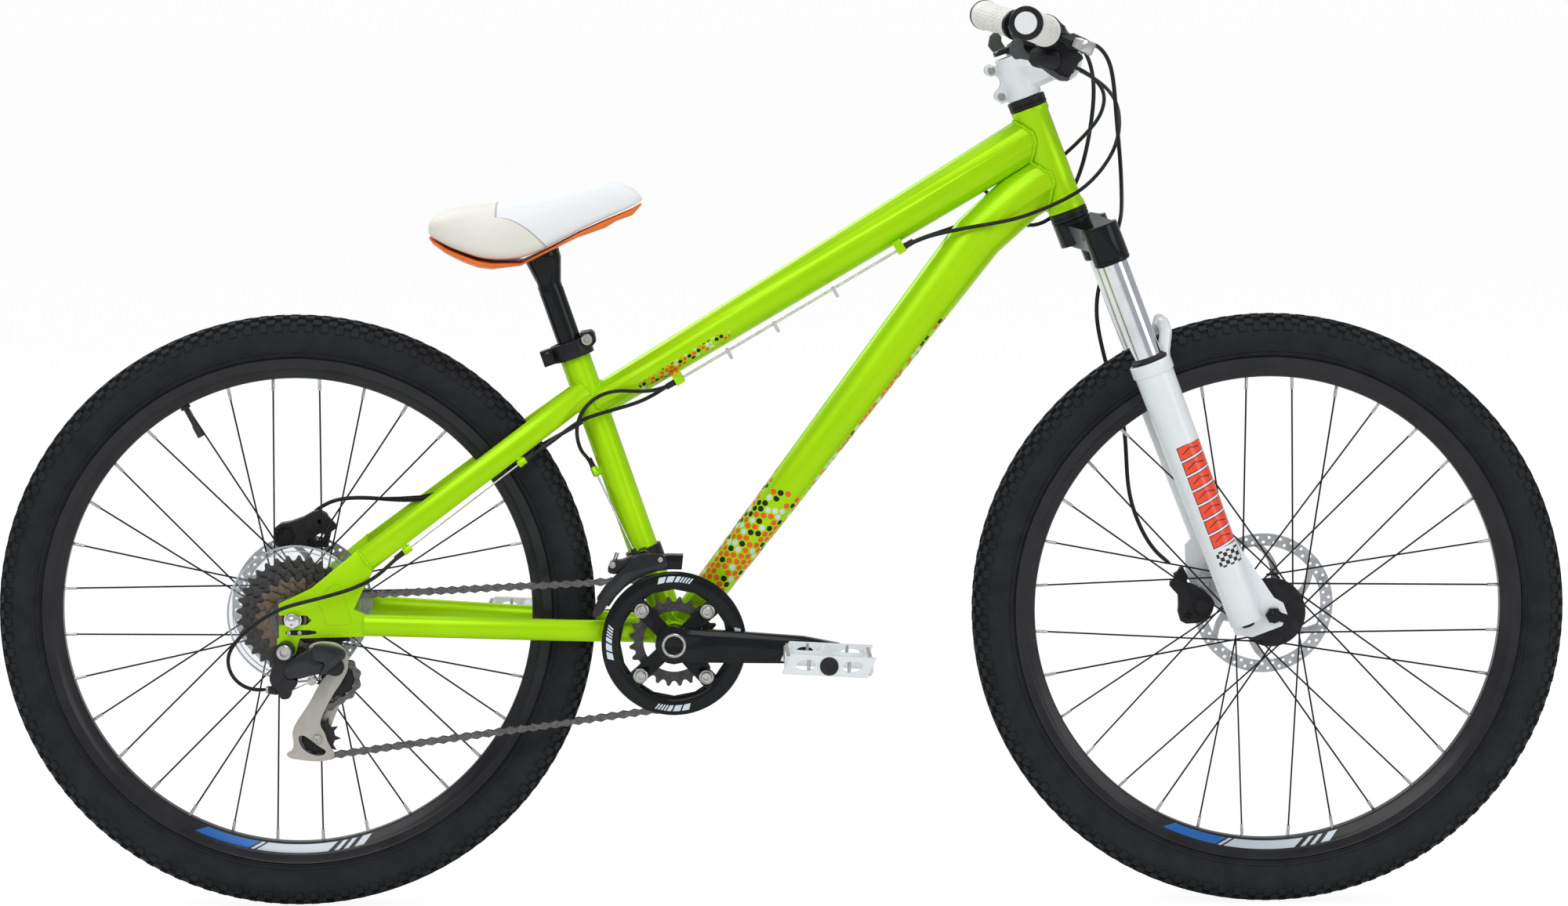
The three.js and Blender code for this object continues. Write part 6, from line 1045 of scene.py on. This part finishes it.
chain_steel = finish("chain_steel", (0.10, 0.098, 0.094), (0.19, 0.186, 0.18), 0.34, metallic=0.9,
                     cloud_scale=260, grain_scale=2200, grain_height=0.08)
dressed("large_chainring", "black_alloy", black_anodised, 30, 0.0002)


def pitch_radius(teeth):
    return chain_pitch / 2 / math.sin(math.pi / teeth)


def toothed(teeth, phase=0):
    """The outline of a sprocket about its own centre: a hollow for each roller and a blunt tooth between."""
    low, high = pitch_radius(teeth) - roller_radius, pitch_radius(teeth) + 0.0022
    points = [(share, low + rise) for share, rise in tooth_points] + [(s, high + rise) for s, rise in tip_points]
    return [(reach * math.cos(angle), reach * math.sin(angle)) for index in range(teeth)
            for reach, angle in ((reach, phase + (2 * index + share) * math.pi / teeth) for share, reach in points)]


def holed_plate(outline, inner_radius, centre, low, high, sides=40):
    """A flat plate with a round bore about the same centre."""
    plate = plated([(centre.x + x, centre.z + z) for x, z in outline], low, high)
    return pierced(plate, rod(centre + across * (low - 0.001), centre + across * (high + 0.001), inner_radius, sides))


fitted("small_ring", holed_plate(toothed(24), 0.0345, bracket_axis, -0.0434, -0.0410, 64), "crank",
       "grey_plastic", dark_steel, 30, ["small_chainring"])
rear_centre = wheel_axles["rear"]
small_cogs, large_cogs = [], []
for index, teeth in enumerate(cog_teeth):
    y = cog_first_y + index * cog_step_y
    bore = 0.0158 if teeth < 16 else pitch_radius(teeth) * 0.62
    cogs = large_cogs if index > 4 else small_cogs
    cogs.append(holed_plate(toothed(teeth, index * 0.37), bore, rear_centre, y - cog_half, y + cog_half))
    if teeth > 16:
        arm = [(rear_centre.x + x, rear_centre.z + z) for x, z in (
            (0.0155, -0.005), (bore + 0.0012, -0.003), (bore + 0.0012, 0.003), (0.0155, 0.005))]
        cogs.append(ringed(plated(arm, y - cog_half, y + cog_half), 5, rear_centre))
small_cogs.append(turned(rear_centre, across, [
    -67.2, 11.8, -67.6, 13, -67.6, 15, -66.8, 16.2, -65, 16.4, -63.6, 16, -63.6, 11.8], 48))
large_cogs.append(turned(rear_centre, across, [-62.5, 15.5, -62.5, 17.2, -30, 17.2, -28.5, 15.5], 48))
fitted("cassette_small_cogs", small_cogs, "cassette", "chain_steel", bronze_steel, 30, ["cassette"])
fitted("cassette_large_cogs", large_cogs, "cassette", "chain_steel", dark_steel)


def chain_runs():
    """Straight runs and arcs of the loop, each as a length and a function from distance to a place."""
    circles = [(x, z, pitch_radius(teeth), way, y) for (x, z), teeth, way, y in chain_circles]
    touches = []
    for (ax, az, ar, aw, _), (bx, bz, br, bw, _) in zip(circles, circles[1:] + circles[:1]):
        angle = math.atan2(bz - az, bx - ax) + math.asin((aw * ar - bw * br) / math.hypot(bx - ax, bz - az))
        touches.append([(x + way * radius * math.sin(angle), z - way * radius * math.cos(angle))
                        for x, z, way, radius in ((ax, az, aw, ar), (bx, bz, bw, br))])
    runs = []
    for index, ((fx, fz), (tx, tz)) in enumerate(touches):
        y0 = circles[index][4]
        cx, cz, radius, way, y1 = circles[(index + 1) % len(circles)]
        length = math.hypot(tx - fx, tz - fz)
        runs.append((length, lambda d, a=(fx, y0, fz), b=(tx, y1, tz), n=length: Vector(a).lerp(Vector(b), d / n)))
        lx, lz = touches[(index + 1) % len(touches)][0]
        start = math.atan2(tz - cz, tx - cx)
        sweep = (math.atan2(lz - cz, lx - cx) - start) * way % (2 * math.pi)
        runs.append((sweep * radius, lambda d, c=(cx, 0, cz), r=radius, s=start, w=way, y=y1: wheel_point(
            Vector(c), r, s + w * d / r, y)))
    return runs


def chain_place(runs, distance):
    for length, place in runs:
        if distance <= length:
            return place(distance)
        distance -= length
    return chain_place(runs, distance)


def laid(piece, here, there):
    """Places a link that lies along X from the origin between two neighbouring pins."""
    along = (there - here).normalized()
    side = (across - along * along.dot(across)).normalized()
    piece.data.transform(Matrix.Translation(here)
                         @ Matrix((along, side, along.cross(side))).transposed().to_4x4())
    return piece


runs = chain_runs()
loop_length = sum(length for length, _ in runs)
pins = [chain_place(runs, loop_length * index / chain_links) for index in range(chain_links)]
link_outline = []
for centre, start, waist in ((chain_pitch, -90, 0.0023), (0, 90, -0.0023)):
    for turn in range(0, 181, 45):
        angle = math.radians(start + turn)
        link_outline.append((centre + 0.0043 * math.cos(angle), 0.0043 * math.sin(angle)))
    link_outline.append((chain_pitch / 2, waist))
link_kinds = []
for inner, outer, reach, radius in ((0.0024, 0.0033, 0.0024, 0.0038), (0.0034, 0.0042, 0.0046, 0.0018)):
    parts = [plated(link_outline, side * inner, side * outer) for side in (-1, 1)]
    parts += [rod((x, -reach, 0), (x, reach, 0), radius, 10) for x in (0, chain_pitch)]
    link_kinds.append(joined("link", parts))
links = [laid(shown("link", link_kinds[index % 2].data.copy()), here, pins[(index + 1) % chain_links])
         for index, here in enumerate(pins)]
for kind in link_kinds:
    bpy.data.objects.remove(kind, do_unlink=True)
fitted("chain_links", links, "frame", "chain_steel", chain_steel, 30, ["chain"])

# Pedals
# Cast alloy platforms in white enamel, with tall side rails cut by two windows each, steel pins
# screwed through the bars and a black cap over the end of each axle.
pedal_tilt = math.radians(3)
pedal_places = {"right": Vector((0.0459, -0.139, 0.3007)), "left": Vector((-0.2939, 0.139, 0.3113))}
pedal_half = 0.047
rail_outline = spots(-425, 112, 510, 112, 425, -112, -510, -112)
rail_windows = [spots(-325, 62, -150, 62, -150, -62, -390, -62), spots(150, 62, 390, 62, 325, -62, 150, -62)]
pin_spots = [(x, y) for x in (-0.0452, 0.0452) for y in (-0.034, -0.011, 0.011, 0.034)]
pin_spots += [(x, y) for x in (-0.022, 0.022) for y in (-0.0425, 0.0425)]


def rounded(outline, times=2):
    """Cuts the corners of a closed outline, each time by a quarter of both neighbouring sides."""
    for _ in range(times):
        outline = [tuple(a + (b - a) * share for a, b in zip(here, there))
                   for here, there in zip(outline, outline[1:] + outline[:1]) for share in (0.25, 0.75)]
    return outline


for word, place in pedal_places.items():
    out = across * sides[word]
    bars = [block((x, 0, 0), (0.0090, 2 * pedal_half - 0.010, 0.0146), 0.0012) for x in (-0.0440, 0.0440)]
    bars += [block((0, y, 0), (0.0860, 0.0064, 0.0116), 0.0010) for y in (-0.0170, 0.0170)]
    bars.append(turned((0, -pedal_half + 0.001, 0), across, [
        0, 0.1, 0, 10.4, 10, 10.4, 18, 9, 74, 9, 82, 10.4, 92, 10.4, 92, 0.1], 40))
    rails = []
    for low, high in ((-pedal_half - 0.0006, -pedal_half + 0.0055), (pedal_half - 0.0055, pedal_half + 0.0006)):
        rails.append(plated(rail_outline, low, high, 0.0010))
        for window in rail_windows:
            pierced(rails[-1], plated(rounded(window), low - 0.001, high + 0.001))
    pins = [rod((x, y, -0.0102), (x, y, 0.0102), 0.0019, 10) for x, y in pin_spots]
    cap = turned(out * (pedal_half - 0.003), out, [0, 0.1, 0, 10.2, 4.2, 10.2, 5.2, 9.4, 5.6, 7, 5.6, 0.1], 48)
    for name, parts, slot, look, degrees, replaced in (
            ("_pedal_platform", bars, "white_plastic", white_paint, 36, [word + "_pedal"]),
            ("_pedal_rails", rails, "white_plastic", white_paint, 36, []),
            ("_pedal_pins", pins, "silver_steel", nickel, 40, []),
            ("_pedal_cap", cap, "black_plastic", black_moulded, 30, [])):
        piece = joined(word + name, parts)
        piece.data.transform(Matrix.Translation(place) @ Matrix.Rotation(pedal_tilt, 4, "Y"))
        fitted(word + name, piece, word + "_pedal", slot, look, degrees, replaced)

# Rear derailleur
# A cast arm bolted to the hanger, a moulded link, a dark glossy cap over the lower pivot, and a long
# pressed cage in champagne alloy that holds two toothed pulleys on steel screws.
cage_outline = spots(
    -4866, 2856, -4886, 2775, -4916, 2715, -4956, 2645, -5026, 2545, -5096, 2425, -5167, 2284, -5197, 2174,
    -5136, 2084, -5116, 2003, -5076, 1923, -5032, 1863, -5036, 1803, -5136, 1767, -5277, 1763, -5437, 1783,
    -5548, 1803, -5574, 1863, -5497, 1893, -5487, 1973, -5508, 2084, -5467, 2194, -5377, 2324, -5297, 2445,
    -5237, 2565, -5177, 2665, -5100, 2760, -5060, 2860, -4990, 2930, -4916, 2926)
cage_window = spots(
    -5437, 2053, -5377, 2063, -5290, 2003, -5210, 1935, -5116, 1883, -5157, 1827, -5277, 1833, -5377, 1893,
    -5427, 1973)
collar_outline = spots(
    -5330, 3060, -5221, 3145, -5021, 3140, -4921, 3092, -4862, 3000, -4850, 2885, -4930, 2820, -5120, 2960)
cap_outline = spots(
    -5245, 3096, -5215, 3124, -5130, 3130, -5011, 3110, -4915, 3072, -4872, 3022, -4885, 2972, -5011, 2875,
    -5100, 2808, -5150, 2785, -5158, 2827, -5106, 2900, -5130, 2928, -5220, 2936, -5247, 3016)
link_cover_outline = spots(
    -5558, 2897, -5490, 2951, -5355, 3031, -5231, 3100, -5211, 3007, -5200, 2935, -5135, 2918, -5100, 2891,
    -5143, 2812, -5255, 2785, -5355, 2769, -5444, 2737, -5524, 2724, -5573, 2787)
arm_outline = spots(
    -5655, 3097, -5590, 3130, -5496, 3120, -5450, 3037, -5496, 2973, -5450, 2961, -5550, 2898, -5576, 2788,
    -5530, 2718, -5450, 2726, -5415, 2698, -5440, 2630, -5485, 2608, -5495, 2510, -5610, 2500, -5625, 2594,
    -5695, 2638, -5730, 2718, -5722, 2798, -5675, 2888, -5700, 2977)
guide_axis, tension_axis = Vector((-0.4998, 0, 0.2680)), Vector((-0.52156, 0, 0.20254))
wire_anchor = Vector((-0.5257, -0.0940, 0.2712))
barrel_start, barrel_end = Vector((-0.5775, -0.0775, 0.2588)), Vector((-0.5560, -0.0850, 0.2575))
champagne = finish("champagne_alloy", (0.44, 0.42, 0.365), (0.50, 0.48, 0.43), 0.34, metallic=0.35,
                   cloud_scale=60, grain_scale=1800, grain_height=0.08)
smoke_gloss = finish("smoke_gloss", (0.012, 0.014, 0.016), (0.026, 0.028, 0.03), 0.14, coat_weight=0.3,
                     coat_roughness=0.05, cloud_scale=40, grain_height=0.02)


def capsule(first, first_radius, second, second_radius, steps=8):
    """The outline of a strap round two circles, seen from the side."""
    along = second - first
    lean = math.acos((first_radius - second_radius) / along.length)
    toward = math.atan2(along.z, along.x)
    points = []
    for centre, radius, start, end in ((first, first_radius, lean, 2 * math.pi - lean),
                                       (second, second_radius, -lean, lean)):
        for index in range(steps + 1):
            point = wheel_point(centre, radius, toward + start + (end - start) * index / steps, 0)
            points.append((point.x, point.z))
    return points


near_plate = pierced(plated(rounded(cage_outline), -0.0714, -0.0692, 0.0005),
                     plated(rounded(cage_window), -0.075, -0.065))
far_plate = plated(capsule(guide_axis, 0.0125, tension_axis, 0.0085), -0.0573, -0.0559, 0.0003)
fitted("derailleur_cage_plates", [near_plate, far_plate], "derailleur_cage", "silver_steel", champagne, 30,
       ["derailleur_cage"])
screws = [rod(axis - across * 0.0712, axis - across * 0.0552, 0.0029, 20) for axis in (guide_axis, tension_axis)]
screws.append(socket_screw(tension_axis - across * 0.0712, -across, 4.6))
fitted("pulley_screws", screws, "derailleur_cage", "silver_steel", nickel)
for node, degrees, edge in (("guide_pulley", 30, 0.0003), ("tension_pulley", 30, 0.0003),
                            ("derailleur_knuckle", 36, 0.0008), ("derailleur_link", 36, 0.0006),
                            ("derailleur_bracket", 36, 0.0008)):
    dressed(node, "black_plastic", black_moulded, degrees, edge)
for name, outline, low, high, edge, body, slot, look, degrees in (
        ("collar", collar_outline, -0.0885, -0.0850, 0.0010, "derailleur_knuckle", "silver_steel", champagne, 30),
        ("cap", cap_outline, -0.1000, -0.0880, 0.0022, "derailleur_knuckle", "black_plastic", smoke_gloss, 50),
        ("link_cover", link_cover_outline, -0.0955, -0.0880, 0.0016, "derailleur_link", "black_plastic",
         smoke_gloss, 50),
        ("arm", arm_outline, -0.0945, -0.0800, 0.0018, "frame", "black_plastic", black_moulded, 50)):
    fitted("derailleur_" + name, plated(rounded(outline), low, high, edge), body, slot, look, degrees)
fitted("hanger_bolt", socket_screw((-0.5558, -0.0940, 0.3036), -across, 8.6), "frame", "silver_steel", nickel)
fitted("cable_anchor", [
    turned(wire_anchor, -across, [0, 0.1, 0, 5.2, 1.6, 5.2, 1.8, 4.2, 4.6, 4.2, 5.4, 3.2, 5.4, 0.1], 24),
    rod((-0.5520, -0.0880, 0.2580), wire_anchor - across * 0.0022, 0.0006, 8),
], "derailleur_link", "silver_steel", nickel)
barrel_line = (barrel_end - barrel_start).normalized()
fitted("barrel_adjuster", turned(barrel_start + barrel_line * 0.0035, barrel_line, [
    0, 0.1, 0, 4, 1.2, 4.8, 9.8, 4.8, 10.6, 3.6, 19, 3.6, 19, 0.1], 12), "frame", "black_plastic", black_moulded, 20)
fitted("barrel_ring", turned(barrel_start, barrel_line, [
    0, 0.1, 0, 3.6, 0.8, 4.2, 3.2, 4.2, 3.8, 3.6, 3.8, 0.1], 32), "frame", "silver_steel", nickel)

# Front derailleur
# A hinged black band round the seat tube, and a cage of two pressed plates that guides the chain
# from ring to ring. The outer plate is a curved blade with a folded top.
blade_outline = spots(
    -1657, 4076, -1418, 4082, -1330, 4050, -1300, 3965, -1337, 3903, -1518, 3893, -1715, 3800, -1858, 3662,
    -1971, 3520, -2034, 3420, -2080, 3362, -2165, 3376, -2128, 3493, -2000, 3706, -1875, 3848, -1745, 3972)
hinge_outline = spots(
    -1985, 3900, -1935, 4000, -1834, 3985, -1721, 4042, -1600, 4070, -1560, 3990, -1771, 3880, -1872, 3835,
    -1970, 3845)
dressed("front_derailleur_band", "black_alloy", black_anodised, 36, 0.0008)
dressed("front_derailleur_cage", "black_plastic", gloss_black, 36, 0.0005)
fitted("derailleur_blade", plated(rounded(blade_outline), -0.0606, -0.0588, 0.0006), "front_derailleur_cage",
       "black_plastic", smoke_gloss)
fitted("derailleur_hinge", plated(rounded(hinge_outline), -0.0545, -0.0380, 0.0016), "front_derailleur_cage",
       "black_plastic", black_moulded, 50)
fitted("front_derailleur_screws", [
    socket_screw((-0.1925, -0.0545, 0.3945), -across, 3.8), socket_screw((-0.1390, -0.0606, 0.4012), -across, 3),
    rod((-0.1905, -0.0450, 0.3980), (-0.1875, -0.0450, 0.4070), 0.0022),
], "front_derailleur_cage", "silver_steel", nickel)

# Cables and hoses
# Black housings and brake hoses with black end caps at each stop, bare steel wire between the stops
# below the top tube and beside the stays, and small grey clips that hold the rear hose.
cable_runs = [  # the ends of each length of bare wire, with a cap at both
    ((0.13544, -0.006, 0.74822), (-0.12234, -0.006, 0.59594)),
    ((0.13544, -0.016, 0.74822), (-0.12234, -0.016, 0.59594)),
    ((-0.28954, -0.04249, 0.51234), (-0.42539, -0.06283, 0.41025)),
    ((-0.21475, -0.0041, 0.49841), (-0.16962, -0.0422, 0.41)),
]
cap_profile = [-0.2, 0.1, -0.2, 3.1, 1, 3.4, 2, 3.4, 2.6, 3.1, 11, 3, 11.6, 2.4, 11.6, 0.1]
clip_places = [(0.0575, 0.6978), (-0.0089, 0.6586), (-0.0616, 0.6285)]
clip_size, clip_turn = (0.0034, 0.0180, 0.0125), (0, math.radians(-30.6), 0)
hose_black = finish("hose_black", (0.010, 0.011, 0.012), (0.016, 0.017, 0.019), 0.3, cloud_scale=40,
                    grain_height=0.03)
clip_grey = finish("clip_grey", (0.50, 0.51, 0.49), (0.58, 0.58, 0.56), 0.4, cloud_scale=80)


def corded(node, material):
    """A housing or hose with its faces made four-sided and rounded off."""
    piece = dressed(node, "hose_black", material, 80, 0, False)
    with editing(piece):
        bpy.ops.mesh.tris_convert_to_quads(face_threshold=math.radians(70), shape_threshold=math.radians(70))
    return apply_modifier(piece, "SUBSURF", levels=2, render_levels=2)


cord_bends = {
    "rear_brake_hose": ("steering", "frame", (0.352, 0.066, 0.900), (0.270, 0.034, 0.750)),
    "rear_shift_cable": ("steering", "frame", (0.335, -0.100, 0.905), (0.205, 0.025, 0.745)),
    "front_shift_cable": ("steering", "frame", (0.345, 0.100, 0.908), (0.230, -0.030, 0.748)),
    "front_brake_hose": ("steering", "fork_slider", (0.364, 0.092, 0.690), (0.399, 0.060, 0.420)),
}
for cord, (first_body, second_body, bend_start, bend_end) in cord_bends.items():
    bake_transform(corded(cord, hose_black))
wires, caps = [], []
for ends in cable_runs:
    start, end = map(Vector, ends)
    line = (end - start).normalized()
    wires.append(rod(start - line * 0.002, end + line * 0.002, 0.0011, 8))
    caps += [turned(tip, way, cap_profile, 20) for tip, way in ((start, -line), (end, line))]
fitted("bare_wires", wires, "frame", "silver_steel", nickel, 60)
fitted("housing_caps", caps, "frame", "hose_black", black_moulded)
fitted("hose_clips", [block((x, -0.0090, z - 0.0010), clip_size, 0.0008, clip_turn) for x, z in clip_places],
       "frame", "white_plastic", clip_grey)

# Spoke guard
# A clear moulded disc clipped to the spokes behind the largest sprocket, with a double rim and a ring
# of small round holes between its two ribs.
clear_moulded = finish("clear_moulded", (0.93, 0.95, 0.96), (0.95, 0.97, 0.98), 0.06, transmission_weight=0.95,
                       ior=1.2, cloud_scale=40, grain_height=0.0)
frosted_moulded = finish("frosted_moulded", (0.62, 0.66, 0.68), (0.68, 0.72, 0.74), 0.3,
                         transmission_weight=0.35, ior=1.3, cloud_scale=40, grain_height=0.0)
for name, radius, half in (("outer", 76.8, 1), ("inner", 71.2, 0.45)):
    fitted("guard_rim_" + name, turned(rear_centre, across, [
        -27.6, radius - half, -28, radius, -27.6, radius + half, -26.4, radius + half, -26.4, radius - half], 96),
        "rear_wheel", "white_plastic", frosted_moulded)
guard_disc = turned(rear_centre, across, [-26.4, 40, -26.4, 77.5, -25.6, 77.5, -25.6, 40], 96)
guard_hole = rod(rear_centre + Vector((0.0672, -0.028, 0)), rear_centre + Vector((0.0672, -0.024, 0)), 0.0016, 10)
fitted("spoke_guard", pierced(guard_disc, ringed(guard_hole, 24, rear_centre)), "rear_wheel", "white_plastic",
       clear_moulded)

# Dropout fittings
# On the outer face of each dropout: a dark slide with two small screws for the axle's place, and the
# raised border of the cast recess.
dropout_face = 0.0745
slide_outline = rounded(spots(-5560, 3250, -5222, 3250, -5222, 3198, -5560, 3192), 1)
slide_screws = spots(-5525, 3221, -5405, 3223)
recess_outline = rounded(spots(
    -5213, 3554, -5153, 3490, -5129, 3394, -5109, 3304, -4848, 3320, -4828, 3364, -4876, 3554, -4908, 3675,
    -4962, 3765, -5022, 3785, -5093, 3715, -5173, 3615))
for word, side in sides.items():
    low, high = sorted((side * (dropout_face - 0.0006), side * (dropout_face + 0.0005)))
    fitted(word + "_axle_slide", plated(slide_outline, low, high, 0.0002), "frame", "black_alloy", black_anodised)
    screws = [socket_screw((x, side * (dropout_face + 0.0004), z), across * side, 2.4) for x, z in slide_screws]
    fitted(word + "_slide_screws", screws, "frame", "silver_steel", nickel)
    border = [Vector((x, side * dropout_face, z)) for x, z in recess_outline]
    rods = [rod(here, there, 0.0008, 8) for here, there in zip(border, border[1:] + border[:1])]
    fitted(word + "_recess_border", rods, "frame", "lime", lime_paint, 60)
